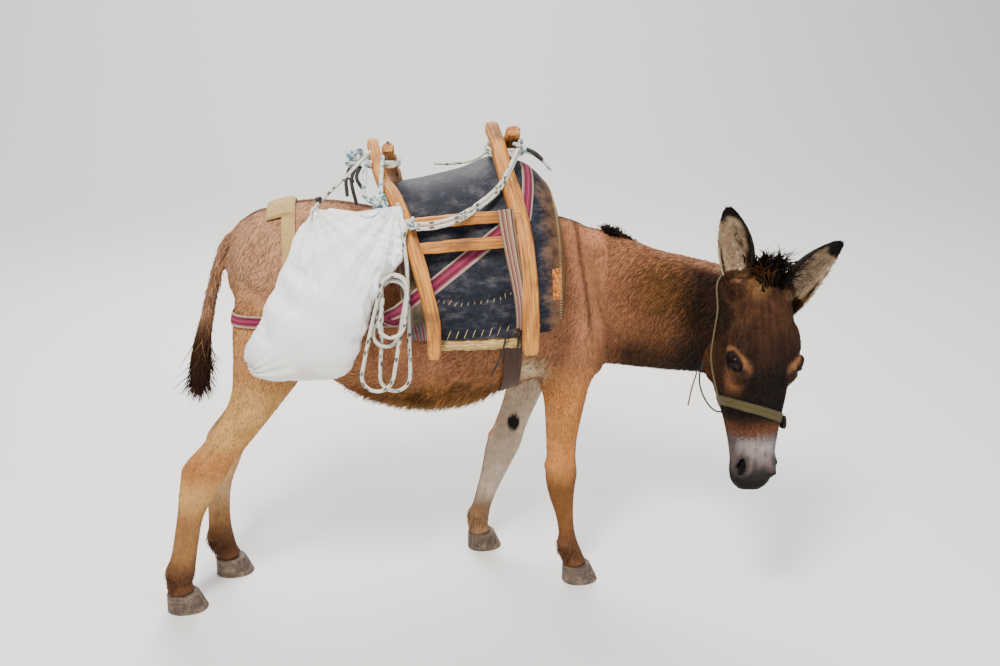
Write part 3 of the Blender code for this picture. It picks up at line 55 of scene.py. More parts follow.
# Trunk sections: x, top, bottom, half width, squareness, narrowing towards the top
TRUNK = [
    (-0.388, 1.000, 0.905, 0.045, 2.0, 0.00),
    (-0.368, 1.052, 0.850, 0.095, 2.0, 0.00),
    (-0.325, 1.092, 0.790, 0.140, 2.1, 0.02),
    (-0.250, 1.116, 0.730, 0.168, 2.2, 0.04),
    (-0.170, 1.130, 0.665, 0.182, 2.2, 0.06),
    (-0.080, 1.124, 0.603, 0.196, 2.2, 0.08),
    (0.020, 1.104, 0.565, 0.208, 2.2, 0.10),
    (0.130, 1.086, 0.548, 0.214, 2.2, 0.12),
    (0.250, 1.072, 0.558, 0.208, 2.2, 0.14),
    (0.350, 1.068, 0.592, 0.190, 2.2, 0.20),
    (0.450, 1.070, 0.610, 0.166, 2.2, 0.26),
    (0.540, 1.058, 0.620, 0.142, 2.2, 0.26),
    (0.610, 1.015, 0.626, 0.112, 2.1, 0.20),
    (0.655, 0.960, 0.672, 0.076, 2.0, 0.10),
    (0.678, 0.900, 0.750, 0.034, 2.0, 0.00),
]

# Neck sections: centre, half height, half width
NECK = [
    ((0.420, 0.000, 0.850), 0.180, 0.110),
    ((0.530, 0.000, 0.852), 0.190, 0.100),
    ((0.640, -0.010, 0.824), 0.190, 0.086),
    ((0.740, -0.045, 0.806), 0.178, 0.073),
    ((0.830, -0.110, 0.804), 0.167, 0.066),
    ((0.897, -0.190, 0.814), 0.152, 0.062),
    ((0.935, -0.270, 0.830), 0.135, 0.058),
]

# Breast between the forelegs: centre and half sizes
BREAST = ((0.580, -0.010, 0.655), (0.062, 0.085, 0.058))

# Leg sections from the top down: centre, half depth fore and aft, half width
LEGS = {
    "foreleg_right": [
        ((0.490, -0.080, 0.920), 0.080, 0.040),
        ((0.512, -0.102, 0.810), 0.105, 0.052),
        ((0.520, -0.115, 0.715), 0.098, 0.056),
        ((0.507, -0.118, 0.640), 0.080, 0.054),
        ((0.506, -0.118, 0.575), 0.063, 0.048),
        ((0.503, -0.117, 0.515), 0.053, 0.042),
        ((0.500, -0.116, 0.455), 0.046, 0.038),
        ((0.500, -0.115, 0.395), 0.044, 0.039),
        ((0.500, -0.114, 0.340), 0.046, 0.040),
        ((0.504, -0.113, 0.282), 0.039, 0.034),
        ((0.513, -0.112, 0.222), 0.029, 0.027),
        ((0.521, -0.112, 0.160), 0.026, 0.025),
        ((0.528, -0.112, 0.112), 0.031, 0.030),
        ((0.540, -0.112, 0.080), 0.030, 0.029),
        ((0.549, -0.112, 0.050), 0.036, 0.034),
    ],
    "foreleg_left": [
        ((0.485, 0.080, 0.920), 0.080, 0.040),
        ((0.500, 0.102, 0.810), 0.105, 0.052),
        ((0.490, 0.114, 0.715), 0.098, 0.056),
        ((0.468, 0.118, 0.640), 0.080, 0.054),
        ((0.451, 0.119, 0.575), 0.064, 0.048),
        ((0.431, 0.120, 0.515), 0.056, 0.042),
        ((0.408, 0.120, 0.450), 0.050, 0.038),
        ((0.386, 0.120, 0.390), 0.049, 0.039),
        ((0.364, 0.120, 0.330), 0.051, 0.040),
        ((0.342, 0.120, 0.262), 0.041, 0.034),
        ((0.318, 0.120, 0.192), 0.033, 0.027),
        ((0.300, 0.120, 0.132), 0.031, 0.026),
        ((0.292, 0.120, 0.095), 0.033, 0.030),
        ((0.292, 0.120, 0.072), 0.031, 0.029),
        ((0.296, 0.120, 0.050), 0.036, 0.034),
    ],
    "hindleg_right": [
        ((-0.215, -0.075, 0.990), 0.095, 0.045),
        ((-0.240, -0.100, 0.880), 0.125, 0.066),
        ((-0.268, -0.112, 0.780), 0.116, 0.070),
        ((-0.298, -0.117, 0.695), 0.092, 0.062),
        ((-0.334, -0.119, 0.615), 0.067, 0.050),
        ((-0.384, -0.120, 0.537), 0.053, 0.042),
        ((-0.437, -0.120, 0.470), 0.051, 0.037),
        ((-0.478, -0.118, 0.414), 0.057, 0.036),
        ((-0.503, -0.116, 0.358), 0.050, 0.034),
        ((-0.525, -0.114, 0.294), 0.038, 0.030),
        ((-0.544, -0.112, 0.214), 0.036, 0.028),
        ((-0.556, -0.111, 0.160), 0.037, 0.029),
        ((-0.568, -0.110, 0.114), 0.040, 0.033),
        ((-0.573, -0.110, 0.080), 0.035, 0.031),
        ((-0.572, -0.110, 0.050), 0.039, 0.035),
    ],
    "hindleg_left": [
        ((-0.215, 0.075, 0.990), 0.095, 0.045),
        ((-0.236, 0.100, 0.880), 0.125, 0.066),
        ((-0.258, 0.110, 0.780), 0.116, 0.070),
        ((-0.282, 0.110, 0.695), 0.092, 0.062),
        ((-0.313, 0.106, 0.615), 0.067, 0.050),
        ((-0.356, 0.101, 0.543), 0.053, 0.042),
        ((-0.402, 0.096, 0.478), 0.051, 0.037),
        ((-0.438, 0.091, 0.418), 0.057, 0.036),
        ((-0.456, 0.085, 0.358), 0.050, 0.034),
        ((-0.469, 0.080, 0.294), 0.038, 0.030),
        ((-0.477, 0.076, 0.214), 0.034, 0.028),
        ((-0.479, 0.074, 0.160), 0.035, 0.029),
        ((-0.478, 0.072, 0.114), 0.039, 0.033),
        ((-0.468, 0.071, 0.080), 0.034, 0.031),
        ((-0.459, 0.071, 0.050), 0.038, 0.035),
    ],
}
HOOF_TOP = 0.052

# Tail: centre and half thickness, from the root down
TAIL = [
    ((-0.335, 0.000, 1.052), 0.026),
    ((-0.372, 0.000, 1.030), 0.027),
    ((-0.402, 0.000, 0.975), 0.026),
    ((-0.428, 0.000, 0.900), 0.026),
    ((-0.452, 0.000, 0.812), 0.028),
    ((-0.470, 0.000, 0.745), 0.032),
    ((-0.480, 0.000, 0.690), 0.034),
    ((-0.487, 0.000, 0.630), 0.024),
    ((-0.498, 0.000, 0.568), 0.005),
]

# Places further forward than this belong to the head or its neighbourhood
HEAD_FROM = 0.75

# Head frame: the poll, the way down the face, and the way the forehead looks
POLL = Vector((0.980, -0.330, 0.958))
FACE_DOWN = Vector((-0.034, -0.155, -0.510)).normalized()
FACE_OUT = Vector((0.120, -0.990, 0.000))

# Head sections: way down from the poll, face line, jaw line, half width, squareness
HEAD = [
    (-0.020, -0.020, -0.085, 0.032, 2.0),
    (0.004, 0.012, -0.128, 0.062, 2.1),
    (0.048, 0.030, -0.176, 0.081, 2.3),
    (0.102, 0.038, -0.214, 0.090, 2.5),
    (0.156, 0.038, -0.234, 0.093, 2.5),
    (0.210, 0.033, -0.232, 0.092, 2.5),
    (0.264, 0.025, -0.208, 0.085, 2.5),
    (0.318, 0.014, -0.174, 0.075, 2.5),
    (0.370, 0.004, -0.148, 0.065, 2.5),
    (0.424, -0.003, -0.131, 0.057, 2.5),
    (0.466, -0.008, -0.123, 0.054, 2.4),
    (0.503, -0.016, -0.120, 0.053, 2.3),
    (0.530, -0.031, -0.108, 0.044, 2.1),
    (0.545, -0.048, -0.090, 0.026, 2.0),
]

# Swellings of the head: way down, half spacing, height, three half sizes
HEAD_SWELLINGS = {
    "orbit": (0.206, 0.070, -0.016, 0.064, 0.036, 0.040),
    "brow": (0.172, 0.060, -0.004, 0.078, 0.038, 0.035),
    "cheek": (0.185, 0.056, -0.140, 0.094, 0.039, 0.084),
    "cheekbone": (0.285, 0.060, -0.062, 0.085, 0.024, 0.024),
    "nostril_wing": (0.478, 0.036, -0.034, 0.034, 0.024, 0.026),
    "ear_root": (0.034, 0.056, -0.034, 0.040, 0.036, 0.038),
}
EYE_SLANT = 38
EYE_PLACE = (0.210, 0.081, -0.004)
EYE_RADIUS = 0.0255
EYE_LOOK = (0.05, 0.86, 0.50)
EYE_OPENING = (0.0250, 0.0138)
NOSTRIL_PLACE = (0.480, 0.049, -0.024)
NOSTRIL_LOOK = (0.55, 0.60, 0.55)
NOSTRIL_TURN = 25
NOSTRIL_SIZE = (0.0180, 0.0112)
NOSTRIL_DEPTH = 0.020
LIP_PLACE = (0.516, -0.052)
CHIN_PLACE = (0.494, -0.103)
MOUTH_HEIGHT = -0.084
MOUTH_CENTRE = 0.487
MOUTH_SWEEP = 118

# Ears: root in the head frame, tip in the body frame, half width, depth of the cup, twist
EAR_WALL = 0.009
EARS = {
    "ear_right": ((0.022, -0.060, -0.045), (0.868, -0.310, 1.142), 0.050, 0.042, -1.05),
    "ear_left": ((0.074, 0.074, -0.045), (1.160, -0.350, 1.054), 0.056, 0.044, 0.40),
}

# Ear profile: share of the length, share of the width, share of the depth, half sweep in degrees
EAR_PROFILE = [
    (0.00, 0.60, 0.66, 150), (0.12, 0.74, 0.82, 138), (0.28, 0.94, 0.95, 114),
    (0.45, 1.00, 0.90, 102), (0.62, 0.93, 0.74, 96), (0.78, 0.74, 0.54, 92),
    (0.90, 0.50, 0.36, 90), (0.97, 0.30, 0.22, 89), (1.00, 0.13, 0.12, 88),
]

# Coat depth over the skin for each part of the body
COAT_DEPTH = {"torso": 0.0050, "neck": 0.0050, "head": 0.0022, "ear": 0.0010, "leg": 0.0028, "tail": 0.0060}


# Shapes

def travelled(path):
    """How far each point of a path lies from its start, along the path."""
    return np.concatenate([[0.0], np.cumsum(np.linalg.norm(np.diff(path, axis=0), axis=1))])


def read_off(where, marks, path):
    """Places on a path at distances, given the distance of each of its points."""
    return np.stack([np.interp(where, marks, path[:, axis]) for axis in range(3)], axis=1)


def hermite(rows, samples):
    """Smooth curve through rows of numbers, spaced by the length of their first three columns."""
    rows = np.array(rows, float)
    knots = travelled(rows[:, :3])
    slopes = np.gradient(rows, knots, axis=0)
    where = np.linspace(0.0, knots[-1], samples)
    index = np.clip(np.searchsorted(knots, where, side="right") - 1, 0, len(rows) - 2)
    width = (knots[index + 1] - knots[index])[:, None]
    t = (where - knots[index])[:, None] / width
    first = (2 * t**3 - 3 * t**2 + 1) * rows[index] + (t**3 - 2 * t**2 + t) * width * slopes[index]
    second = (3 * t**2 - 2 * t**3) * rows[index + 1] + (t**3 - t**2) * width * slopes[index + 1]
    return first + second


def superellipse(count, squareness):
    """Unit outline of a rounded box, starting at its side and running over its top."""
    angles = np.linspace(0.0, 2 * math.pi, count, endpoint=False)
    across = np.sign(np.cos(angles)) * np.abs(np.cos(angles)) ** (2 / squareness)
    upwards = np.sign(np.sin(angles)) * np.abs(np.sin(angles)) ** (2 / squareness)
    return across, upwards


def new_object(name, mesh):
    made = bpy.data.objects.new(name, mesh)
    bpy.context.scene.collection.objects.link(made)
    return made


def mesh_object(name, points, faces, outwards=True):
    """An object from its points and faces, its faces turned outwards."""
    mesh = bpy.data.meshes.new(name)
    mesh.from_pydata([tuple(p) for p in points], [], [tuple(f) for f in faces])
    made = new_object(name, mesh)
    if outwards:
        face_outwards(made)
    return made


def loft_faces(rings, sides, closed_ends=True, ring_closed=False):
    """Faces that join rings of equally many points, one ring after another."""
    faces = []
    last = rings if ring_closed else rings - 1
    for ring in range(last):
        low, high = ring * sides, ((ring + 1) % rings) * sides
        for side in range(sides):
            after = (side + 1) % sides
            faces.append((low + side, low + after, high + after, high + side))
    if closed_ends and not ring_closed:
        faces.append(tuple(range(sides)))
        faces.append(tuple(range((rings - 1) * sides, rings * sides)))
    return faces


def loft(name, rings):
    """A closed body through rings of equally many points, with flat ends."""
    return mesh_object(name, np.concatenate(rings), loft_faces(len(rings), len(rings[0])))


def limb_rings(stations, forward, samples, sides, squareness=2.2):
    """Rings along a path: each station has a centre, a half depth along forward, a half width."""
    rows = hermite([(*centre, depth, width) for centre, depth, width in stations], samples)
    tangents = np.gradient(rows[:, :3], axis=0)
    across, upwards = superellipse(sides, squareness)
    rings = []
    for row, tangent in zip(rows, tangents):
        tangent = tangent / np.linalg.norm(tangent)
        sideways = np.cross(tangent, forward)
        sideways /= np.linalg.norm(sideways)
        depthwise = np.cross(sideways, tangent)
        rings.append(
            row[:3]
            + np.outer(across, sideways) * row[4]
            + np.outer(upwards, depthwise) * row[3]
        )
    return rings


def trunk_ring(row, grow, sides):
    """One upright section of the trunk, grown outwards by a margin."""
    x, top, bottom, half_width, squareness, narrowing = row
    across, upwards = superellipse(sides, squareness)
    middle = (top + bottom) / 2
    half_height = (top - bottom) / 2 + grow
    y = across * (half_width + grow) * (1 - narrowing * upwards)
    z = middle + upwards * half_height
    return np.stack([np.full(sides, x), y, z], axis=1)


def trunk_rows(samples):
    """Trunk sections closely spaced along x."""
    rows = [(x, 0.0, 0.0, top, low, wide, square, narrow) for x, top, low, wide, square, narrow in TRUNK]
    return [(r[0], r[3], r[4], r[5], r[6], r[7]) for r in hermite(rows, samples)]


def ball(name, centre, sizes, turn=None, segments=32):
    """An ellipsoid with three half sizes along the axes of a frame."""
    work = bmesh.new()
    bmesh.ops.create_uvsphere(work, u_segments=segments, v_segments=segments * 2 // 3, radius=1.0)
    mesh = bpy.data.meshes.new(name)
    work.to_mesh(mesh)
    work.free()
    place = Matrix.Translation(centre)
    if turn is not None:
        place = place @ turn.to_3x3().to_4x4()
    mesh.transform(place @ Matrix.Diagonal((*sizes, 1.0)))
    return new_object(name, mesh)


def apply_modifiers(made):
    """Turn an object's modifiers into its mesh."""
    bpy.context.view_layer.update()
    ready = made.evaluated_get(bpy.context.evaluated_depsgraph_get())
    mesh = bpy.data.meshes.new_from_object(ready)
    made.modifiers.clear()
    made.data = mesh


def joined(name, pieces):
    """Several meshes as one object, still overlapping."""
    work = bmesh.new()
    for piece in pieces:
        work.from_mesh(piece.data)
        bpy.data.objects.remove(piece)
    mesh = bpy.data.meshes.new(name)
    work.to_mesh(mesh)
    work.free()
    return new_object(name, mesh)


def points_of(mesh, what="co"):
    """Vertex places or normals of a mesh as rows of three numbers."""
    values = np.empty(len(mesh.vertices) * 3, np.float32)
    mesh.vertices.foreach_get(what, values)
    return values.reshape(-1, 3).astype(float)


def set_points(mesh, points):
    mesh.vertices.foreach_set("co", np.ascontiguousarray(points, np.float32).ravel())
    mesh.update()


def smooth_step(low, high, value):
    """0 below low, 1 above high, and an even rise between."""
    share = np.clip((value - low) / (high - low), 0.0, 1.0)
    return share * share * (3 - 2 * share)


def head_matrix():
    """Head frame: X down the face, Y to the donkey's left, Z out of the forehead."""
    down = FACE_DOWN
    out = (FACE_OUT - down * FACE_OUT.dot(down)).normalized()
    left = out.cross(down)
    turn = Matrix((down, left, out)).transposed().to_4x4()
    return Matrix.Translation(POLL) @ turn


HEAD_FRAME = head_matrix()
HEAD_TURN = np.array(HEAD_FRAME.to_3x3())
HEAD_FOOT = np.array(POLL)


def in_head(points):
    """Places in the head frame."""
    return (points - HEAD_FOOT) @ HEAD_TURN


def side_frame(place, look, side):
    """A frame on the head's surface: Z looks out, X runs down the face."""
    s, spread, height = place
    out = Vector((look[0], side * look[1], look[2])).normalized()
    across = out.cross(Vector((1, 0, 0))).normalized()
    local = Matrix((across.cross(out), across, out)).transposed().to_4x4()
    return HEAD_FRAME @ Matrix.Translation((s, side * spread, height)) @ local


def eye_frame(side):
    """An eye's frame: X along the slit between the lids, Z the way the eye looks."""
    return side_frame(EYE_PLACE, EYE_LOOK, side) @ Matrix.Rotation(side * math.radians(-EYE_SLANT), 4, "Z")


def nostril_frame(side):
    turn = Matrix.Rotation(side * math.radians(NOSTRIL_TURN), 4, "Z")
    return side_frame(NOSTRIL_PLACE, NOSTRIL_LOOK, side) @ turn


def nostril_reach(points, side):
    """Places in a nostril's frame, and how far out each lies: 1 on the nostril's rim."""
    local = local_to(nostril_frame(side), points)
    return local, np.hypot(local[:, 0] / NOSTRIL_SIZE[0], local[:, 1] / NOSTRIL_SIZE[1])


def local_to(matrix, points):
    """Places in a frame given by a matrix."""
    back = np.array(matrix.inverted())
    return points @ back[:3, :3].T + back[:3, 3]


def world_from(matrix, points):
    forth = np.array(matrix)
    return points @ forth[:3, :3].T + forth[:3, 3]


# Body: the flesh cores and the one skin over them

def ear_axes(name):
    """Root, tip, cross way and the way the cup opens of one ear."""
    root_local, tip, half_width, depth, twist = EARS[name]
    root = HEAD_FRAME @ Vector(root_local)
    along = (Vector(tip) - root).normalized()
    facing = HEAD_FRAME.to_3x3() @ Vector((0, 0, 1))
    facing = (facing - along * facing.dot(along)).normalized()
    facing = Matrix.Rotation(twist, 3, along) @ facing
    return np.array(root), np.array(tip), np.array(along.cross(facing)), np.array(facing), half_width, depth


def ear_core(name):
    """A cupped shell: crescent sections from a closed root to a pointed tip."""
    root, tip, across, facing, half_width, depth = ear_axes(name)
    rows = hermite([(t, 0.0, 0.0, w, d, a) for t, w, d, a in EAR_PROFILE], 36)
    rings = []
    for t, _, _, wide, deep, spread in rows:
        centre = root + (tip - root) * t - facing * (0.012 * math.sin(t * math.pi))
        angles = np.linspace(-math.radians(spread), math.radians(spread), 21)
        wall = EAR_WALL * (0.9 if t < 0.8 else max(0.25, (1.08 - t) * 3))
        sizes = np.array([half_width * wide, depth * deep])
        inner_sizes = sizes * np.maximum(0.15, 1 - wall / sizes)
        outer = centre + np.outer(np.sin(angles), across) * sizes[0] - np.outer(np.cos(angles), facing) * sizes[1]
        back = angles[::-1]
        inner = (centre + np.outer(np.sin(back), across) * inner_sizes[0]
                 - np.outer(np.cos(back), facing) * inner_sizes[1])
        rings.append(np.concatenate([outer, inner]))
    return loft(name + "_core", rings)


def skull_cores():
    """Skull, jaw, cheeks, brows, lips and chin."""
    rows = [(s, 0.0, 0.0, top, low, wide, square) for s, top, low, wide, square in HEAD]
    rings = []
    for s, _, _, top, low, wide, square in hermite(rows, 60):
        across, upwards = superellipse(40, square)
        z = (top + low) / 2 + upwards * (top - low) / 2
        y = across * wide * (1 + 0.10 * upwards)
        rings.append(np.stack([np.full(40, s), y, z], axis=1))
    skull = loft("skull", rings)
    skull.data.transform(HEAD_FRAME)
    cores = [skull]
    for name, (s, spread, height, *sizes) in HEAD_SWELLINGS.items():
        for side in (-1, 1):
            cores.append(ball(name, HEAD_FRAME @ Vector((s, side * spread, height)), sizes, HEAD_FRAME))
    lip = HEAD_FRAME @ Vector((LIP_PLACE[0], 0, LIP_PLACE[1]))
    chin = HEAD_FRAME @ Vector((CHIN_PLACE[0], 0, CHIN_PLACE[1]))
    cores.append(ball("upper_lip", lip, (0.026, 0.045, 0.028), HEAD_FRAME))
    cores.append(ball("chin", chin, (0.036, 0.038, 0.024), HEAD_FRAME))
    return cores


def body_cores():
    """Trunk, neck, breast, legs and the dock of the tail."""
    cores = [loft("trunk", [trunk_ring(row, 0.0, 48) for row in trunk_rows(80)])]
    cores.append(loft("neck_core", limb_rings(NECK, (0, 0, 1), 50, 36)))
    cores.append(ball("breast_core", *BREAST))
    for name, stations in LEGS.items():
        cores.append(loft(name + "_core", limb_rings(stations, (1, 0, 0), 90, 28)))
    dock = [(centre, radius * 0.80, radius * 0.85) for centre, radius in TAIL[:7]]
    cores.append(loft("dock_core", limb_rings(dock, (1, 0, 0), 40, 18, 2.0)))
    return cores


# Parts of the body, each by the axis it follows: for markings, the lie of the hair and the unwrap

def axis_rows(stations, samples=40):
    """Centres and mean radius along a part."""
    rows = hermite([(*centre, (depth + width) / 2) for centre, depth, width in stations], samples)
    return rows


def part_axes():
    """Axis rows of every part: x, y, z and radius from root to end."""
    axes = {}
    trunk = [((x, 0.0, (top + low) / 2), (top - low) / 2, wide) for x, top, low, wide, _, _ in TRUNK[::-1]]
    axes["torso"] = axis_rows(trunk)
    axes["neck"] = axis_rows(NECK[1:])
    skull = [(tuple(HEAD_FRAME @ Vector((s, 0, (top + low) / 2))), (top - low) / 2, wide)
             for s, top, low, wide, _ in HEAD]
    axes["head"] = axis_rows(skull)
    for name, stations in LEGS.items():
        axes[name] = axis_rows(stations[2:])
    axes["tail"] = axis_rows([(centre, radius, radius) for centre, radius in TAIL])
    for name in EARS:
        root, tip, _, _, half_width, depth = ear_axes(name)
        axes[name] = axis_rows([(tuple(root + (tip - root) * t), half_width * w, depth * d)
                                for t, w, d, _ in EAR_PROFILE])
    return axes


AXES = part_axes()
PART_NAMES = list(AXES)


def locate(points):
    """For each place: the part it belongs to, how far along the part, and the turn round its axis."""
    best = np.full(len(points), 1e9)
    part = np.zeros(len(points), int)
    along = np.zeros(len(points))
    turn = np.zeros(len(points))
    for number, name in enumerate(PART_NAMES):
        rows = AXES[name]
        gaps = points[:, None, :] - rows[None, :, :3]
        distance = np.linalg.norm(gaps, axis=2)
        scaled = distance / rows[None, :, 3]
        nearest = np.argmin(distance, axis=1)
        value = scaled[np.arange(len(points)), nearest]
        if name.startswith("ear"):
            reach = (nearest > 6) & (value < 1.6)
            value = np.where(reach, value * 0.35, 1e9)
        if "leg" in name:
            value = value * np.where(points[:, 2] < 0.60, 0.4, 1.15)
        tangent = np.gradient(rows[:, :3], axis=0)[nearest]
        tangent /= np.linalg.norm(tangent, axis=1)[:, None]
        guide = np.array((0.0, 1.0, 0.0))
        side = guide - tangent * (tangent @ guide)[:, None]
        side /= np.linalg.norm(side, axis=1)[:, None]
        other = np.cross(tangent, side)
        gap = gaps[np.arange(len(points)), nearest]
        angle = np.arctan2((gap * other).sum(1), (gap * side).sum(1))
        offset = (gap * tangent).sum(1) / max(1e-6, np.linalg.norm(rows[-1, :3] - rows[0, :3]))
        closer = value < best
        best[closer] = value[closer]
        part[closer] = number
        along[closer] = np.clip(nearest / (len(rows) - 1) + offset, 0, 1)[closer]
        turn[closer] = angle[closer]
    return part, along, turn


def is_part(part, start):
    """True where a part's name starts with a word."""
    numbers = [number for number, name in enumerate(PART_NAMES) if name.startswith(start)]
    return np.isin(part, numbers)


def unwrap(part, along, turn):
    """Place of each point on the body's unwrap: one rectangle for each part."""
    columns = 4
    cell = np.array((1.0 / columns, 1.0 / 3))
    corner = np.stack([part % columns, part // columns], axis=1) * cell
    inside = np.stack([0.06 + 0.88 * along, 0.06 + 0.88 * (turn / (2 * math.pi) + 0.5)], axis=1)
    return corner + inside * cell


def make_skin():
    """One skin over every flesh core, fine enough for the head."""
    cores = body_cores() + skull_cores() + [ear_core(name) for name in EARS]
    skin = joined("skin", cores)
    remesh = skin.modifiers.new("remesh", "REMESH")
    remesh.mode = "VOXEL"
    remesh.voxel_size = SKIN_VOXEL
    apply_modifiers(skin)
    keep_largest(skin)
    points = points_of(skin.data)
    headward = in_head(points)
    on_head = np.where(points[:, 0] > HEAD_FROM, smooth_step(-0.30, -0.17, headward[:, 2]), 0.0)
    on_leg = smooth_step(0.66, 0.52, points[:, 2]) * (points[:, 0] < HEAD_FROM)
    face = smooth_step(0.06, 0.11, headward[:, 0]) * smooth_step(0.44, 0.38, headward[:, 0])
    weight = np.clip(1 - on_head * (1 - 0.5 * face) - 0.55 * on_leg, 0.0, 1.0)
    group = skin.vertex_groups.new(name="body")
    for level in np.linspace(0.1, 1.0, 10):
        chosen = np.flatnonzero(np.abs(weight - level) <= 0.05)
        group.add(chosen.tolist(), float(level), "REPLACE")
    scale = (0.0034 / SKIN_VOXEL) ** 2
    light = skin.modifiers.new("smooth", "SMOOTH")
    light.factor = 0.5
    light.iterations = max(3, round(10 * scale))
    heavy = skin.modifiers.new("smooth_body", "SMOOTH")
    heavy.factor = 0.5
    heavy.iterations = max(5, round(36 * scale))
    heavy.vertex_group = "body"
    apply_modifiers(skin)
    thin = skin.modifiers.new("thin", "DECIMATE")
    thin.ratio = min(1.0, SKIN_TRIANGLES / (2 * len(skin.data.polygons)))
    apply_modifiers(skin)
    skin.vertex_groups.clear()
    refine_features(skin)
    shape_features(skin)
    return skin


def keep_largest(made):
    """Keep the closed surface with the most vertices."""
    mesh = made.data
    edges = np.empty(len(mesh.edges) * 2, np.int32)
    mesh.edges.foreach_get("vertices", edges)
    edges = edges.reshape(-1, 2)
    label = np.arange(len(mesh.vertices))
    while True:
        low = np.minimum(label[edges[:, 0]], label[edges[:, 1]])
        before = label.copy()
        np.minimum.at(label, edges[:, 0], low)
        np.minimum.at(label, edges[:, 1], low)
        label = label[label]
        if np.array_equal(before, label):
            break
    values, counts = np.unique(label, return_counts=True)
    if len(values) == 1:
        return
    spare = np.flatnonzero(label != values[np.argmax(counts)])
    work = bmesh.new()
    work.from_mesh(mesh)
    work.verts.ensure_lookup_table()
    bmesh.ops.delete(work, geom=[work.verts[i] for i in spare], context="VERTS")
    work.to_mesh(mesh)
    work.free()


def refine_features(skin):
    """Split the faces round the eyes, the nostrils and the lips."""
    work = bmesh.new()
    work.from_mesh(skin.data)
    for reach in (1.0, 0.72):
        places = np.array([tuple(v.co) for v in work.verts])
        near = np.zeros(len(places), bool)
        for side in (-1, 1):
            eye = local_to(eye_frame(side), places)
            near |= (np.linalg.norm(eye / (0.044, 0.036, 0.050), axis=1) < reach) & (eye[:, 2] > 0)
            nostril = local_to(nostril_frame(side), places)
            near |= np.linalg.norm(nostril / (0.032, 0.024, 0.030), axis=1) < reach
        gap, _, fade = mouth_gap(in_head(places))
        near |= (np.abs(gap) < 0.012 * reach) & (fade > 0) & (in_head(places)[:, 0] > 0.40)
        chosen = np.flatnonzero(near)
        work.verts.ensure_lookup_table()
        marked = {work.verts[i] for i in chosen}
        edges = [e for e in work.edges if e.verts[0] in marked and e.verts[1] in marked]
        bmesh.ops.subdivide_edges(work, edges=edges, cuts=1, use_grid_fill=True)
        bmesh.ops.triangulate(work, faces=[f for f in work.faces if len(f.verts) > 3])
    work.to_mesh(skin.data)
    work.free()


def mouth_gap(headward):
    """Height over the line of the mouth, the turn round the lips, and the fade towards the corners."""
    turn = np.arctan2(headward[:, 1], headward[:, 0] - MOUTH_CENTRE)
    share = np.abs(turn) / math.radians(MOUTH_SWEEP)
    gap = headward[:, 2] - (MOUTH_HEIGHT + 0.010 * share**2)
    fade = smooth_step(1.06, 0.94, share)
    return gap, turn, fade


def coat_depths(points, part):
    """How far the skin lies under the coat's surface at each place."""
    depth = np.full(len(points), COAT_DEPTH["torso"])
    for start in ("head", "ear", "tail"):
        depth[is_part(part, start)] = COAT_DEPTH[start]
    headward = in_head(points)
    near_head = (points[:, 0] > HEAD_FROM) & (headward[:, 2] > -0.30)
    blend = smooth_step(-0.29, -0.17, headward[:, 2])
    depth = np.where(near_head & ~is_part(part, "ear"),
                     COAT_DEPTH["torso"] * (1 - blend) + COAT_DEPTH["head"] * blend, depth)
    legs = is_part(part, "fore") | is_part(part, "hind")
    return np.where(legs, COAT_DEPTH["leg"] + (COAT_DEPTH["torso"] - COAT_DEPTH["leg"])
                    * smooth_step(0.45, 0.62, points[:, 2]), depth)


def press_nostril(points, side):
    """A nostril's pit with its curled rim."""
    place = nostril_frame(side)
    local = local_to(place, points)
    wide, narrow = NOSTRIL_SIZE
    curl = local[:, 1] - side * 0.25 * (local[:, 0] + 0.004) ** 2 / wide
    ratio = np.sqrt((local[:, 0] / wide) ** 2 + (curl / narrow) ** 2)
    close = (np.abs(local[:, 2]) < 0.028) & (ratio < 2.6)
    pit = -NOSTRIL_DEPTH * np.exp(-(ratio / 0.92) ** 5)
    rim = 0.0030 * np.exp(-((ratio - 1.25) / 0.28) ** 2)
    local[:, 2] += np.where(close, pit + rim, 0.0)
    return world_from(place, local)


def shape_features(skin):
    """Coat depth, lids, nostrils, mouth and the forms under the skin, as moves of its points."""
    mesh = skin.data
    points = points_of(mesh)
    normals = points_of(mesh, "normal")
    part, _, _ = locate(points)
    points = points - normals * coat_depths(points, part)[:, None]
    for first, second, radius, height in FORMS.values():
        for side in (-1, 1):
            a = np.array(first) * (1, side, 1)
            b = np.array(second) * (1, side, 1)
            share = np.clip(((points - a) @ (b - a)) / ((b - a) @ (b - a)), 0, 1)
            distance = np.linalg.norm(points - a - share[:, None] * (b - a), axis=1)
            points = points + normals * (height * np.exp(-(distance / radius) ** 2))[:, None]
    points = points + normals * leg_forms(points, part)[:, None]
    headward = in_head(points)
    gap, _, fade = mouth_gap(headward)
    muzzle = smooth_step(0.40, 0.43, headward[:, 0]) * fade * (points[:, 0] > HEAD_FROM)
    line = -0.0052 * np.exp(-(gap / 0.0022) ** 2)
    lips = 0.0020 * np.exp(-((np.abs(gap) - 0.0070) / 0.0045) ** 2)
    points = points + normals * (muzzle * (line + lips))[:, None]
    for shape in (press_nostril, shape_lids):
        for side in (-1, 1):
            points = shape(points, side)
    set_points(mesh, points)


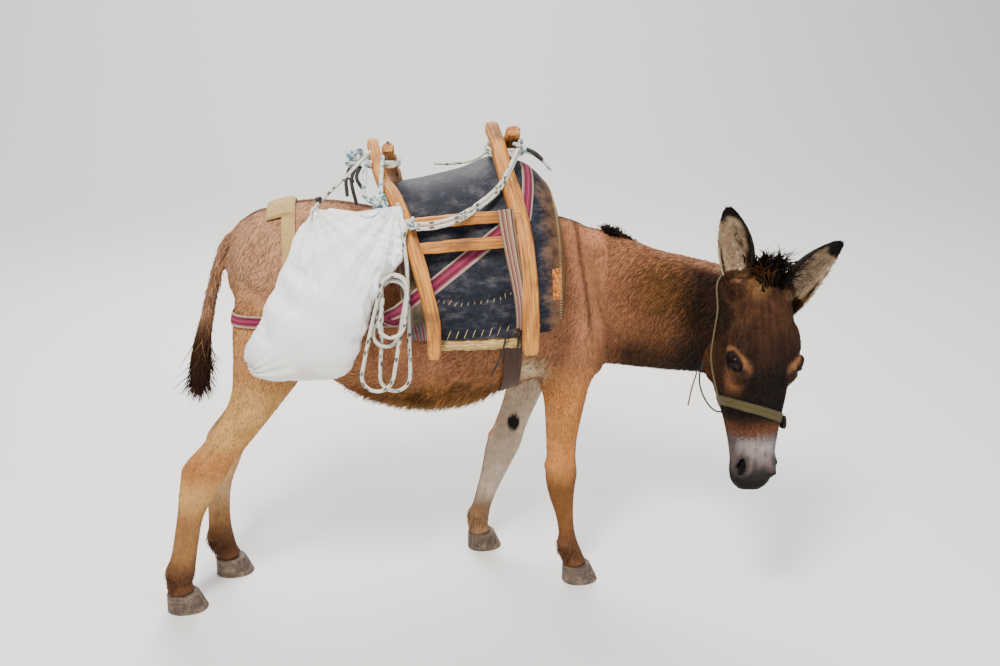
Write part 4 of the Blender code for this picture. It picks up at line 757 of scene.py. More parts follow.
def leg_forms(points, part):
    """Rise and fall of muscles, joints, bones and tendons down each leg."""
    height = np.zeros(len(points))
    for leg, stations in LEGS.items():
        own = is_part(part, leg)
        rows = hermite([(*centre, depth, width) for centre, depth, width in stations], 90)[::-1]
        x, y, z = points[own].T
        fore = (x - np.interp(z, rows[:, 2], rows[:, 0])) / np.interp(z, rows[:, 2], rows[:, 3])
        out = np.abs(y - np.interp(z, rows[:, 2], rows[:, 1])) / np.interp(z, rows[:, 2], rows[:, 4])
        total = np.zeros(len(x))
        for middle, reach, place, spread, aside, rise in LEG_FORMS[leg.split("leg")[0]]:
            flank = smooth_step(0.35, 0.75, out) if aside else 1.0
            total += rise * near(z, middle, reach) * np.exp(-((fore - place) / spread) ** 2) * flank
        height[own] = total
    return height


def lid_ratio(x, y, grow=0.0):
    """1 on the edge of the slit between the lids, less inside it, with pointed corners."""
    length, height = EYE_OPENING[0] + grow, EYE_OPENING[1] + grow
    share = np.clip(np.abs(x) / length, 0, 1)
    upper = height * (1 - share**2.2) + 0.0004
    lower = height * 0.80 * (1 - share**1.8) + 0.0004
    edge = np.where(y > 0, upper, lower)
    return np.where(np.abs(x) < length, np.abs(y) / edge, 3.0 + (np.abs(x) - length) / 0.002)


def shape_lids(points, side):
    """Draw the skin round an eyeball: lids that hug it, a rolled rim and folds above and below."""
    place = eye_frame(side)
    local = local_to(place, points)
    x, y, z = local.T
    flat = np.sqrt((x / 0.041) ** 2 + (y / 0.032) ** 2)
    close = (flat < 1.0) & (z > -0.004) & (z < 0.060)
    radial = np.sqrt(x**2 + y**2)
    ball_height = np.sqrt(np.maximum(EYE_RADIUS**2 - np.minimum(radial, EYE_RADIUS * 0.97) ** 2, 0))
    ratio = lid_ratio(x, y)
    edge_gap = np.where(np.abs(x) < EYE_OPENING[0], np.abs(y) - np.abs(y) / np.maximum(ratio, 1e-3),
                        np.abs(x) - EYE_OPENING[0])
    lid_height = ball_height + 0.0020
    hug = smooth_step(1.0, 0.55, flat)
    target = z * (1 - hug) + lid_height * hug
    rim = 0.0014 * np.exp(-((edge_gap - 0.0015) / 0.0016) ** 2)
    crease = -0.0016 * np.exp(-((edge_gap - 0.0075) / 0.0020) ** 2)
    fold = 0.0013 * np.exp(-((edge_gap - 0.0120) / 0.0028) ** 2)
    target = target + (rim + crease + fold) * smooth_step(1.0, 0.7, flat)
    inside = smooth_step(0.0006, -0.0012, edge_gap) * (ratio < 1.02)
    target = np.where(inside > 0, target * (1 - inside) + (ball_height - 0.0050) * inside, target)
    local[:, 2] = np.where(close, target, z)
    return world_from(place, local)


# Forms under the skin: two ends of a ridge or hollow, its breadth and its height, on both sides
FORMS = {
    "shoulder_blade": ((0.470, 0.085, 1.030), (0.560, 0.130, 0.840), 0.028, 0.0050),
    "shoulder_hollow": ((0.600, 0.085, 0.960), (0.610, 0.115, 0.800), 0.022, -0.0060),
    "shoulder_point": ((0.590, 0.120, 0.770), (0.580, 0.130, 0.740), 0.035, 0.0060),
    "upper_arm": ((0.560, 0.150, 0.760), (0.500, 0.150, 0.700), 0.035, 0.0050),
    "elbow": ((0.440, 0.150, 0.690), (0.430, 0.150, 0.660), 0.022, 0.0050),
    "elbow_hollow": ((0.395, 0.170, 0.730), (0.400, 0.160, 0.640), 0.022, -0.0060),
    "neck_groove": ((0.610, 0.080, 0.730), (0.850, -0.060, 0.730), 0.022, -0.0035),
    "stifle": ((-0.165, 0.170, 0.720), (-0.180, 0.165, 0.690), 0.035, 0.0060),
    "flank_hollow": ((-0.100, 0.180, 0.900), (-0.070, 0.190, 0.800), 0.050, -0.0060),
    "hip_bone": ((-0.150, 0.110, 1.090), (-0.140, 0.140, 1.070), 0.030, 0.0050),
    "thigh_crease": ((-0.350, 0.110, 0.860), (-0.330, 0.130, 0.700), 0.018, -0.0050),
}


# Forms of the legs: height, reach up and down, place from back -1 to front 1, spread, on the flanks only, rise
LEG_FORMS = {
    "fore": [
        (0.560, 0.110, 0.35, 0.45, True, 0.0045), (0.560, 0.120, -0.15, 0.16, True, -0.0040),
        (0.350, 0.050, 0.75, 0.70, False, 0.0030), (0.372, 0.022, -0.85, 0.40, False, 0.0050),
        (0.345, 0.045, 0.10, 0.25, True, -0.0022), (0.220, 0.105, -0.18, 0.20, True, -0.0038),
        (0.220, 0.100, -0.75, 0.30, True, 0.0018), (0.118, 0.030, -0.80, 0.55, False, 0.0050),
        (0.112, 0.026, 0.20, 0.50, True, 0.0022), (0.078, 0.020, 0.00, 0.60, True, -0.0016),
    ],
    "hind": [
        (0.600, 0.110, 0.25, 0.40, True, 0.0045), (0.590, 0.110, -0.30, 0.18, True, -0.0050),
        (0.470, 0.070, -0.45, 0.22, True, -0.0060), (0.432, 0.045, -0.90, 0.35, False, 0.0060),
        (0.400, 0.040, 0.35, 0.35, True, 0.0030), (0.250, 0.110, -0.18, 0.20, True, -0.0040),
        (0.250, 0.105, -0.75, 0.30, True, 0.0018), (0.120, 0.030, -0.80, 0.55, False, 0.0050),
        (0.114, 0.026, 0.20, 0.50, True, 0.0022), (0.080, 0.020, 0.00, 0.60, True, -0.0016),
    ],
}


# Tack: saddle, its frame and pad, the load and the halter

# Blanket: rear and front edges, hem height, lean of the rear edge, height over the skin, thickness
BLANKET_REAR = 0.022
BLANKET_FRONT = 0.436
BLANKET_HEM = 0.797
BLANKET_LEAN = 0.22
BLANKET_LIFT = 0.0095
BLANKET_THICK = 0.0026
BLANKET_MIDDLE = 0.86
BLANKET_COUNT = 130

# Saddle pad sections: x at the top, top height, half width at the hem, rearward lean, hem height
PAD = [
    (0.062, 1.168, 0.256, 0.070, 0.818),
    (0.092, 1.171, 0.265, 0.060, 0.812),
    (0.140, 1.178, 0.273, 0.040, 0.812),
    (0.240, 1.200, 0.279, 0.008, 0.814),
    (0.330, 1.230, 0.281, 0.000, 0.818),
    (0.400, 1.213, 0.278, 0.000, 0.822),
    (0.450, 1.176, 0.268, -0.002, 0.832),
    (0.478, 1.130, 0.252, -0.006, 0.856),
    (0.488, 1.085, 0.238, -0.008, 0.885),
]
PAD_HEM = 0.812
PATCH_PLACE = (0.454, 0.943)
PAD_SQUARENESS = 2.2
PAD_DEPTH = 0.052
ROLL_RADIUS = 0.013

# Wooden frame: each arch's x at the foot and at the crossing, crossing height, post half sizes
ARCHES = {
    "front": (0.378, 0.352, 1.275, 0.023, 0.019),
    "rear": (0.135, 0.030, 1.238, 0.019, 0.017),
}
POST_FOOT = 0.777
SLAT_HEIGHTS = {"upper": 1.108, "lower": 1.052}
SLAT_HALF = (0.0150, 0.0082)

# Sack sections: height, rear edge, front edge, half thickness, middle
SACK = [
    (0.728, -0.225, -0.105, 0.012, -0.276),
    (0.745, -0.292, -0.080, 0.040, -0.278),
    (0.784, -0.324, -0.050, 0.056, -0.280),
    (0.840, -0.315, -0.034, 0.062, -0.282),
    (0.900, -0.287, -0.010, 0.062, -0.282),
    (0.960, -0.257, 0.022, 0.054, -0.278),
    (1.030, -0.222, 0.062, 0.042, -0.270),
    (1.095, -0.189, 0.078, 0.028, -0.262),
    (1.136, -0.158, 0.074, 0.014, -0.256),
    (1.155, -0.145, 0.062, 0.006, -0.252),
]

# Ropes and cords: half thickness
ROPE = 0.0052
THIN_ROPE = 0.0038
CORD = 0.0028

# Double rope from the front horns down to the rear post, and the rope on the far side
ROPE_SPAN = [
    (0.384, -0.062, 1.268), (0.366, -0.104, 1.246), (0.342, -0.147, 1.216),
    (0.316, -0.180, 1.186), (0.262, -0.218, 1.151), (0.200, -0.252, 1.124), (0.140, -0.268, 1.113),
    (0.098, -0.272, 1.112),
]
ROPE_FAR = [(0.340, 0.045, 1.262), (0.290, 0.060, 1.217), (0.220, 0.062, 1.203), (0.170, 0.050, 1.206)]

# Hank: where the rope leaves the saddle, then each loop's foot (x, z, radius), top and y
HANK_DROP = [(0.078, -0.268, 1.108), (0.066, -0.281, 1.085), (0.070, -0.2815, 1.050), (0.074, -0.2815, 1.010)]
HANK_LOOPS = [
    ((0.0360, 0.724, 0.0385), (0.0420, 0.962), -0.2815),
    ((0.0170, 0.842, 0.0335), (0.0385, 0.950), -0.2930),
    ((-0.0080, 0.736, 0.0405), (0.0400, 0.966), -0.3045),
    ((0.0290, 0.872, 0.0330), (0.0430, 0.942), -0.3160),
]
HANK_TOP_RADIUS = 0.0320

SACK_CORDS = {
    "sack_cord_rear": [(0.000, -0.075, 1.262), (-0.060, -0.150, 1.215), (-0.110, -0.215, 1.180),
                       (-0.138, -0.250, 1.160)],
    "sack_cord_front": [(0.070, -0.225, 1.138), (0.062, -0.240, 1.150), (0.056, -0.252, 1.161)],
}
SACK_LOOP = [(-0.138, -0.250, 1.160), (-0.150, -0.262, 1.146), (-0.146, -0.262, 1.128),
             (-0.134, -0.256, 1.140), (-0.138, -0.249, 1.158)]
HORN_CORDS = [
    [(-0.009, -0.070, 1.255), (-0.019, -0.150, 1.200), (-0.015, -0.215, 1.165), (0.006, -0.232, 1.158)],
    [(0.031, -0.060, 1.246), (0.022, -0.150, 1.200), (0.019, -0.215, 1.172), (0.018, -0.232, 1.160)],
    [(0.014, -0.236, 1.150), (0.002, -0.246, 1.136), (-0.010, -0.252, 1.122)],
    [(0.024, -0.236, 1.150), (0.034, -0.246, 1.140), (0.040, -0.251, 1.128)],
]
THONGS = {
    "thong_rear": [(0.318, -0.2965, 0.838), (0.307, -0.2965, 0.785), (0.292, -0.291, 0.745), (0.280, -0.286, 0.715)],
    "thong_front": [(0.350, -0.2975, 0.840), (0.346, -0.298, 0.795), (0.348, -0.296, 0.750), (0.347, -0.293, 0.712)],
    "rope_end": [(0.392, -0.045, 1.252), (0.425, -0.050, 1.240), (0.452, -0.052, 1.220), (0.472, -0.052, 1.198)],
}

# Lashings: centre, radius, rise and tilt of their turns round a crossing
LASHING_TURNS = 3.2
LASHINGS = [
    ((ARCHES["front"][1] + 0.002, 0, ARCHES["front"][2] - 0.026), 0.050, 0.022, 0.006),
    ((ARCHES["rear"][1] + 0.003, 0, ARCHES["rear"][2] - 0.014), 0.044, 0.018, 0.005),
]

# Knots: name, centre, size, half thickness of the rope, turn and tilt
KNOTS = [
    ("coil", (-0.040, -0.060, 1.246), 0.021, 0.0066, 0.3, 1.2),
    ("coil", (-0.048, -0.058, 1.226), 0.016, 0.0058, 1.4, 0.8),
    ("front_knot", (0.388, -0.046, 1.262), 0.017, 0.0052, 0.8, 1.0),
    ("knot", (0.088, -0.276, 1.116), 0.013, 0.0048, 1.0, 1.1),
]
BIG_KNOT = ("big_knot", (0.014, -0.230, 1.158), 0.020, 0.0068, 0.6, 1.2)
BLACK_KNOTS = [((-0.131, -0.240, 1.172), 0.2), ((-0.052, -0.075, 1.190), 1.1), ((0.047, -0.040, 1.272), 2.0)]
BLACK_END = [(0.402, -0.048, 1.256), (0.430, -0.056, 1.242), (0.446, -0.060, 1.226)]

# Straps: places, widths, and the height at which they lie over the skin and the pad
STRAP_LIFT = 0.0075
PAD_STRAP_LIFT = 0.0004
GIRTH_X = 0.350
GIRTH_WIDTH = 0.050
HIP_STRAP_X = -0.215
CROUP_PAD_X = -0.236
CROUP_PAD_REACH = (-0.125, 0.070)
BREECH_HEIGHT = 0.848
STRIPED_BAND = [(0.318, -0.262, 1.140), (0.324, -0.280, 1.085), (0.334, -0.296, 1.020),
                (0.345, -0.306, 0.955), (0.352, -0.310, 0.895), (0.354, -0.300, 0.842)]

# Halter, in the head frame
NOSEBAND_PLACE = (0.338, 0.024)
NOSEBAND_WIDTH = 0.026
NOSEBAND_THICK = 0.0034
BUCKLE_PLACE = (0.366, 0.070, -0.030)
HEADCORD_SIDE = [(0.330, -0.100), (0.270, -0.112), (0.204, -0.115), (0.140, -0.102), (0.085, -0.094)]
HEADCORD_TOP = (0.050, -0.100)
THROAT_CORD = [
    (0.222, -0.097, -0.150), (0.252, -0.100, -0.166), (0.315, -0.082, -0.172), (0.352, -0.042, -0.172),
    (0.352, -0.016, -0.166),
]
HALTER_END = [(0.246, -0.107, -0.168), (0.290, -0.120, -0.170), (0.336, -0.132, -0.166)]


def curve_frames(path):
    """Tangents and two cross directions along a path that turn as little as they can."""
    path = np.asarray(path, float)
    tangents = np.gradient(path, axis=0)
    tangents /= np.linalg.norm(tangents, axis=1)[:, None]
    first = np.cross(tangents[0], (0.31, 0.17, 0.94))
    first /= np.linalg.norm(first)
    sides = [first]
    for tangent in tangents[1:]:
        side = sides[-1] - tangent * (sides[-1] @ tangent)
        sides.append(side / np.linalg.norm(side))
    sides = np.array(sides)
    return tangents, sides, np.cross(tangents, sides)


def even_path(points, step):
    """Points a step apart on a smooth curve through a few."""
    rough = hermite(points, 400)
    marks = travelled(rough)
    count = max(4, int(round(marks[-1] / step)) + 1)
    return read_off(np.linspace(0, marks[-1], count), marks, rough)


def ring_mesh(name, rings, loop=False, flat=False):
    """A closed body through rings, with a UV map: around the ring, then along the rings, in metres."""
    rings = np.asarray(rings)
    count, sides = rings.shape[:2]
    points = rings.reshape(-1, 3)
    around = np.linalg.norm(np.roll(rings, -1, axis=1) - rings, axis=2).mean(axis=0)
    around = np.concatenate([[0.0], np.cumsum(around)])
    middles = rings.mean(axis=1)
    along = travelled(middles)
    last = count if loop else count - 1
    i, j = np.meshgrid(np.arange(last), np.arange(sides), indexing="ij")
    i, j = i.ravel(), j.ravel()
    after, beyond = (j + 1) % sides, (i + 1) % count
    quads = np.stack([i * sides + j, i * sides + after, beyond * sides + after, beyond * sides + j], axis=1)
    top = np.append(along, along[-1] + (along[1] - along[0]))
    uv = np.stack([
        np.stack([around[j], along[i]], 1), np.stack([around[j + 1], along[i]], 1),
        np.stack([around[j + 1], top[i + 1]], 1), np.stack([around[j], top[i + 1]], 1),
    ], axis=1)
    triangles = np.empty((0, 3), int)
    triangle_uv = np.empty((0, 3, 2))
    if flat and not loop:
        # the two faces of a thin piece meet along its ends
        j = np.arange(sides // 2 - 1)
        low = np.stack([j + 1, j, sides - 1 - j, sides - 2 - j], axis=1)
        quads = np.concatenate([quads, low, low[:, ::-1] + (count - 1) * sides])
        ends = [np.stack([around[low], np.full(low.shape, height)], axis=2) for height in (0.0, along[-1])]
        uv = np.concatenate([uv, ends[0], ends[1][:, ::-1]])
    elif not loop:
        points = np.concatenate([points, middles[[0, -1]]])
        side = np.arange(sides)
        beside = (side + 1) % sides
        base = (count - 1) * sides
        low = np.stack([beside, side, np.full(sides, count * sides)], axis=1)
        high = np.stack([base + side, base + beside, np.full(sides, count * sides + 1)], axis=1)
        triangles = np.concatenate([low, high])
        corner_uv = np.stack([around[np.append(beside, side)], np.repeat([0, along[-1]], sides)], 1)
        triangle_uv = np.stack([corner_uv] * 3, 1)
    made = fast_object(name, points, quads, uv, triangles, triangle_uv)
    face_outwards(made)
    return made


def fast_object(name, points, quads, quad_uv, triangles, triangle_uv):
    """An object from arrays of quads and triangles with their UV corners."""
    mesh = bpy.data.meshes.new(name)
    corners = np.concatenate([quads.ravel(), triangles.ravel()]).astype(np.int32)
    starts = np.concatenate([
        np.arange(len(quads)) * 4, len(quads) * 4 + np.arange(len(triangles)) * 3,
    ]).astype(np.int32)
    mesh.vertices.add(len(points))
    mesh.vertices.foreach_set("co", np.ascontiguousarray(points, np.float32).ravel())
    mesh.loops.add(len(corners))
    mesh.loops.foreach_set("vertex_index", corners)
    mesh.polygons.add(len(starts))
    mesh.polygons.foreach_set("loop_start", starts)
    layer = mesh.uv_layers.new(name="lie")
    values = np.concatenate([quad_uv.reshape(-1, 2), triangle_uv.reshape(-1, 2)]).astype(np.float32)
    layer.data.foreach_set("uv", values.ravel())
    mesh.update(calc_edges=True)
    mesh.validate()
    return new_object(name, mesh)


def face_outwards(made):
    """Turn every face of a closed body outwards, keeping its UV map."""
    work = bmesh.new()
    work.from_mesh(made.data)
    bmesh.ops.recalc_face_normals(work, faces=work.faces)
    work.to_mesh(made.data)
    work.free()


def tube_rings(path, first, second, turns, size):
    """Rings round a path from its two cross directions, with one radius or one for each point."""
    return (path[:, None] + first[:, None] * (np.cos(turns)[None] * size)[:, :, None]
            + second[:, None] * (np.sin(turns)[None] * size)[:, :, None])


def smooth_tube(name, path, radius, sides=10):
    """A round cord along a path."""
    path = np.asarray(path, float)
    _, first, second = curve_frames(path)
    turns = np.linspace(0, 2 * math.pi, sides, endpoint=False)
    return ring_mesh(name, tube_rings(path, first, second, turns, radius))


def rope_rings(path, radius, strands=3, pitch=0.030, sides=15, depth=0.20):
    """Rings of a laid rope: its strands turn round each other once every pitch."""
    path = np.asarray(path, float)
    _, first, second = curve_frames(path)
    turns = np.linspace(0, 2 * math.pi, sides, endpoint=False)
    phase = turns[None, :] - 2 * math.pi * travelled(path)[:, None] / pitch
    size = radius * (1 - depth + depth * np.abs(np.cos(phase * strands / 2)))
    ends = np.interp(np.arange(len(path)), (0, 1, len(path) - 2, len(path) - 1), (0.7, 1, 1, 0.7))
    size = size * ends[:, None]
    return tube_rings(path, first, second, turns, size)


def rope(name, points, radius, step=0.0030, given=False, loop=False, **how):
    path = np.asarray(points, float) if given else even_path(points, step)
    return ring_mesh(name, rope_rings(path, radius, **how), loop=loop)


def braid_knot(name, centre, size, radius, turn=0.0, tilt=0.4):
    """A rope tied on itself: a threefold loop that passes over and under."""
    t = np.linspace(0, 2 * math.pi, 90, endpoint=False)
    points = np.stack([
        (np.sin(t) + 2 * np.sin(2 * t)) / 3, (np.cos(t) - 2 * np.cos(2 * t)) / 3, -np.sin(3 * t) / 3 * 1.25,
    ], axis=1) * size
    spin = np.array(Matrix.Rotation(turn, 3, "Z") @ Matrix.Rotation(tilt, 3, "X"))
    path = points @ spin.T + np.array(centre)
    rings = rope_rings(np.concatenate([path, path[:1]]), radius)[:-1]
    return ring_mesh(name, rings, loop=True)


def wood_bar(name, stations, forward, squareness, rings_count, sides, chips, seed):
    """A hand-hewn bar: rounded square sections with flats, hollows and blunt ends."""
    random = np.random.default_rng(seed)
    rings = np.array(limb_rings(stations, forward, rings_count, sides, squareness))
    middles = rings.mean(axis=1, keepdims=True)
    along = np.linspace(0, 1, rings_count)[:, None]
    turns = np.linspace(0, 2 * math.pi, sides, endpoint=False)[None]
    waves = np.zeros((rings_count, sides))
    for _ in range(9):
        rate, bend, shift = random.uniform(4, 26), random.integers(1, 4), random.uniform(0, 6.3)
        waves += random.uniform(0.2, 1.0) * np.sin(along * rate * 2 + turns * bend + shift)
    size = 1 + chips * waves / 3.0
    ends = np.minimum(1.0, 0.80 + 0.20 * np.minimum(np.arange(rings_count), np.arange(rings_count)[::-1]) / 1.5)
    rings = middles + (rings - middles) * size[:, :, None] * ends[:, None, None]
    return ring_mesh(name, rings)


def post_path(arch, side):
    """Stations of one bent post: up the pad's side, then on past the crossing to its horn."""
    foot_x, cross_x, cross_z, half_along, half_out = ARCHES[arch]
    lane = side * (half_along * 0.88 + 0.0003)
    run = foot_x - cross_x
    path = [
        (foot_x, side * 0.302, POST_FOOT),
        (foot_x - 0.02 * run, side * 0.303, 0.86),
        (foot_x - 0.20 * run, side * 0.288, 0.965),
        (foot_x - 0.45 * run, side * 0.252, 1.062),
        (foot_x - 0.68 * run + lane * 0.4, side * 0.185, 1.150),
        (foot_x - 0.88 * run + lane * 0.9, side * 0.085, cross_z - 0.050),
        (cross_x + lane, 0.0, cross_z),
        (cross_x + lane * 1.1 - 0.004, -side * 0.057, cross_z + 0.029),
    ]
    taper = (0.88, 0.97, 0.98, 0.98, 0.96, 0.90, 0.84, 0.82)
    return [(place, half_along * share, half_out * share) for place, share in zip(path, taper)]


def pad_side(height):
    """How far out the pad's side lies at a height."""
    share = (height - PAD_HEM) / (1.200 - PAD_HEM)
    return 0.276 * (1 - share**PAD_SQUARENESS) ** (1 / PAD_SQUARENESS)


def slat_stations(side, height):
    front = ARCHES["front"][0] - 0.012
    rear = ARCHES["rear"][0] - 0.044
    y = pad_side(height) + 0.030
    return [((rear, side * y, height - 0.006), SLAT_HALF[0] * 0.9, SLAT_HALF[1]),
            (((front + rear) / 2, side * (y + 0.003), height + 0.003), SLAT_HALF[0], SLAT_HALF[1]),
            ((front, side * (y + 0.004), height + 0.008), SLAT_HALF[0] * 0.95, SLAT_HALF[1])]


def make_wood():
    """Both arches and the four slats between them."""
    bars = []
    seed = 20
    for arch in ARCHES:
        for side in (-1, 1):
            seed += 1
            bars.append(wood_bar("post", post_path(arch, side), (1, 0, 0), 3.6, 90, 28, 0.055, seed))
    for height in SLAT_HEIGHTS.values():
        for side in (-1, 1):
            seed += 1
            bars.append(wood_bar("slat", slat_stations(side, height), (0, 0, 1), 4.5, 44, 20, 0.060, seed))
    hand_over(joined("saddle_frame", bars), wood_material(),
              [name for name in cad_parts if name.startswith(("post_", "slat_"))])


PIECES = []


def place_piece(made):
    """Move a finished piece to the row's frame, and say what it rides on."""
    made.data.transform(Matrix.Translation(SHIFT))
    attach(made, "root")
    PIECES.append(made)


def hand_over(made, look, nodes=()):
    """Give a finished piece its look, place it, smooth its shading, and hide the parts of the model that it replaces.
    """
    made.data.materials.append(look)
    place_piece(made)
    made.data.shade_smooth()
    made.data.set_sharp_from_angle(angle=math.radians(SHARP_ANGLE))
    if nodes:
        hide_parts(*nodes)


def hang(path, step=1):
    """Work out a free cord's route in the row's frame from every step-th point of its path and its last point; nothing
    keeps the route.
    """
    moved = path + np.array(SHIFT)
    route = moved[::step]
    if (len(moved) - 1) % step:
        route = np.append(route, moved[-1:], axis=0)


def tree_of(*pieces):
    """Search trees of pieces that still lie in the body's own frame."""
    graph = bpy.context.evaluated_depsgraph_get()
    return [BVHTree.FromObject(piece, graph) for piece in pieces]


def tree_without_tail(skin):
    """Search tree of the skin with the faces of the tail left out."""
    points = points_of(skin.data)
    part, _, _ = locate(points)
    tail = is_part(part, "tail")
    faces = [tuple(face.vertices) for face in skin.data.polygons if not tail[face.vertices[0]]]
    return [BVHTree.FromPolygons([tuple(place) for place in points], faces)]


def surface_point(trees, start, way, lift):
    """Where a straight look from start first meets a piece, moved back by lift."""
    best, far = None, 1e9
    for tree in trees:
        hit, _, _, distance = tree.ray_cast(start, way)
        if hit is not None and distance < far:
            best, far = hit, distance
    return best - way * lift if best is not None else None


def strap(name, sections, thickness, sink=0.0012, bulge=0.0):
    """A strap through sections of two or more places across, each with the way that looks inwards."""
    rings = []
    for places, way in sections:
        places = np.asarray(places)
        share = np.linspace(-1, 1, len(places))
        lift = thickness * (1 - 0.45 * share**6)[:, None] + bulge * (1 - share**2)[:, None]
        outer = places - np.asarray(way) * lift
        inner = places + np.asarray(way) * sink
        rings.append(np.concatenate([outer, inner[::-1]]))
    return strap_mesh(name, np.array(rings))


def free_strap(name, route, widths, way, thickness, curl=0.0):
    """A strap along a given path, facing against one way, from its first width to its last."""
    sections = []
    for number, (centre, tangent) in enumerate(zip(route, np.gradient(np.array(route), axis=0))):
        side = np.cross(tangent, way)
        side /= np.linalg.norm(side)
        width = widths[0] + (widths[1] - widths[0]) * number / len(route)
        places = np.array([centre + side * width * share + way * curl * (abs(share) > 0.4)
                           for share in np.linspace(-0.5, 0.5, 7)])
        sections.append((places, way))
    return strap(name, sections, thickness)


def strap_mesh(name, rings, loop=False):
    """A strap's mesh, with a UV map that runs from 0 to 1 across it and in metres along it."""
    made = ring_mesh(name, rings, loop=loop, flat=True)
    mesh = made.data
    half = rings.shape[1] // 2
    along = travelled(rings.mean(axis=1))
    across = np.concatenate([np.linspace(0, 1, half), np.linspace(1, 0, rings.shape[1] - half)])
    count = len(rings) * rings.shape[1]
    u = np.concatenate([np.tile(across, len(rings)), [0.5] * (len(mesh.vertices) - count)])
    v = np.concatenate([np.repeat(along, rings.shape[1]), [0.0] * (len(mesh.vertices) - count)])
    index = np.empty(len(mesh.loops), np.int32)
    mesh.loops.foreach_get("vertex_index", index)
    mesh.uv_layers["lie"].data.foreach_set("uv", np.stack([u[index], v[index]], 1).astype(np.float32).ravel())
    return made


def cast_sections(trees, route, width, lift, across=5):
    """Sections of a strap laid on pieces, where looks along the route meet them."""
    hits, ways = [], []
    for start, aim in route:
        way = (Vector(aim) - Vector(start)).normalized()
        hit = surface_point(trees, Vector(start), way, lift)
        if hit is not None:
            hits.append(tuple(hit))
            ways.append(way)
    tangents = np.gradient(np.array(hits), axis=0)
    sections = []
    for hit, way, tangent in zip(hits, ways, tangents):
        side = Vector(tangent).cross(way).normalized()
        places = []
        for share in np.linspace(-0.5, 0.5, across):
            edge = Vector(hit) + side * (width * share)
            met = surface_point(trees, edge - way * 0.15, way, lift)
            near = met is not None and (met - edge).length < 0.03
            places.append(tuple(met) if near else tuple(edge))
        sections.append((np.array(places), np.array(way)))
    return relaxed(sections)


def relaxed(sections, rounds=3):
    """Sections evened out along the strap, as a pulled strap lies."""
    places = np.array([place for place, _ in sections])
    for _ in range(rounds):
        places[1:-1] = places[1:-1] * 0.5 + (places[:-2] + places[2:]) * 0.25
    return [(place, way) for place, (_, way) in zip(places, sections)]


def around_trunk(x, middle_height, low_turn, high_turn, count, away=0.6):
    """Looks at the trunk from outside, between two angles measured from straight up."""
    middle = Vector((x, 0, middle_height))
    route = []
    for turn in np.radians(np.linspace(low_turn, high_turn, count)):
        out = Vector((0, math.sin(turn), math.cos(turn)))
        route.append((middle + out * away, middle))
    return route


def make_pad():
    """A thick arched pad over the barrel, quilted by its stuffing and rounded at its edges."""
    random = np.random.default_rng(3)
    rows = hermite([(x, 0.0, 0.0, top, wide, lean, hem) for x, top, wide, lean, hem in PAD], 64)
    count = 120
    turns = np.linspace(0, math.pi, count)
    shares = np.sin(turns) ** (2 / PAD_SQUARENESS)
    across = np.sign(np.cos(turns)) * np.abs(np.cos(turns)) ** (2 / PAD_SQUARENESS)
    rings = []
    for number, (x, _, _, top, wide, lean, hem) in enumerate(rows):
        end = min(number, len(rows) - 1 - number)
        round_off = 1 - 0.55 * max(0.0, 1 - end / 5.0) ** 2
        z = hem + (top - hem) * shares
        arch = np.stack([x + lean * (1 - shares), across * wide, z], axis=1)
        inner_scale = 1 - PAD_DEPTH / wide * round_off
        inner_z = hem + (top - PAD_DEPTH * round_off - hem) * shares
        inner = np.stack([x + lean * (1 - shares), across * wide * inner_scale, inner_z], axis=1)
        middle = (arch + inner) / 2
        arch = middle + (arch - middle) * (0.55 + 0.45 * round_off)
        rings.append(np.concatenate([arch, inner[::-1]]))
    made = ring_mesh("saddle_pad_leather", np.array(rings))
    points = points_of(made.data)
    normals = points_of(made.data, "normal")
    wave = np.zeros(len(points))
    for _ in range(14):
        way = random.normal(size=3) * (18, 18, 22)
        wave += random.uniform(0.3, 1.0) * np.sin(points @ way + random.uniform(0, 6.3))
    outside = smooth_step(-0.2, 0.3, normals[:, 1] * np.sign(points[:, 1]) + normals[:, 2])
    seam = np.abs(points[:, 2] - (0.905 + 1.6 * (points[:, 0] - 0.215) ** 2))
    dent = -0.0032 * np.exp(-(seam / 0.009) ** 2) * (points[:, 0] < 0.345)
    points = points + normals * ((0.00045 * wave - 0.0012 + dent) * outside)[:, None]
    set_points(made.data, points)
    grid = points[:len(rows) * 2 * count].reshape(len(rows), 2 * count, 3)[:, :count]
    outs = normals[:len(rows) * 2 * count].reshape(len(rows), 2 * count, 3)[:, :count]
    lines = [("whip", grid[-4, 1:-1], outs[-4, 1:-1])]
    for j in (1, count - 2):
        lines.append(("hem", grid[8:-12, j], outs[8:-12, j]))
    for hand in (slice(0, count // 2), slice(count // 2, count)):
        part, way = grid[:, hand], outs[:, hand]
        gap = np.abs(part[:, :, 2] - (0.905 + 1.6 * (part[:, :, 0] - 0.215) ** 2))
        column = np.argmin(gap, axis=1)
        index = np.arange(len(rows))
        line, line_out = part[index, column], way[index, column]
        chosen = (line[:, 0] < 0.345) & (gap[index, column] < 0.01)
        lines.append(("seam", line[chosen], line_out[chosen]))
    return made, lines


def stitch_points(line, outs, step, across):
    """Even places along a line on a surface, with the way each stitch runs and the way out."""
    marks = travelled(line)
    where = np.arange(step / 2, marks[-1], step)
    places, ways = (read_off(where, marks, rows) for rows in (line, outs))
    ways /= np.linalg.norm(ways, axis=1)[:, None]
    along = np.gradient(places, axis=0)
    along /= np.linalg.norm(along, axis=1)[:, None]
    if across:
        along = np.cross(ways, along) * 0.92 + along * 0.39
    return places, along, ways


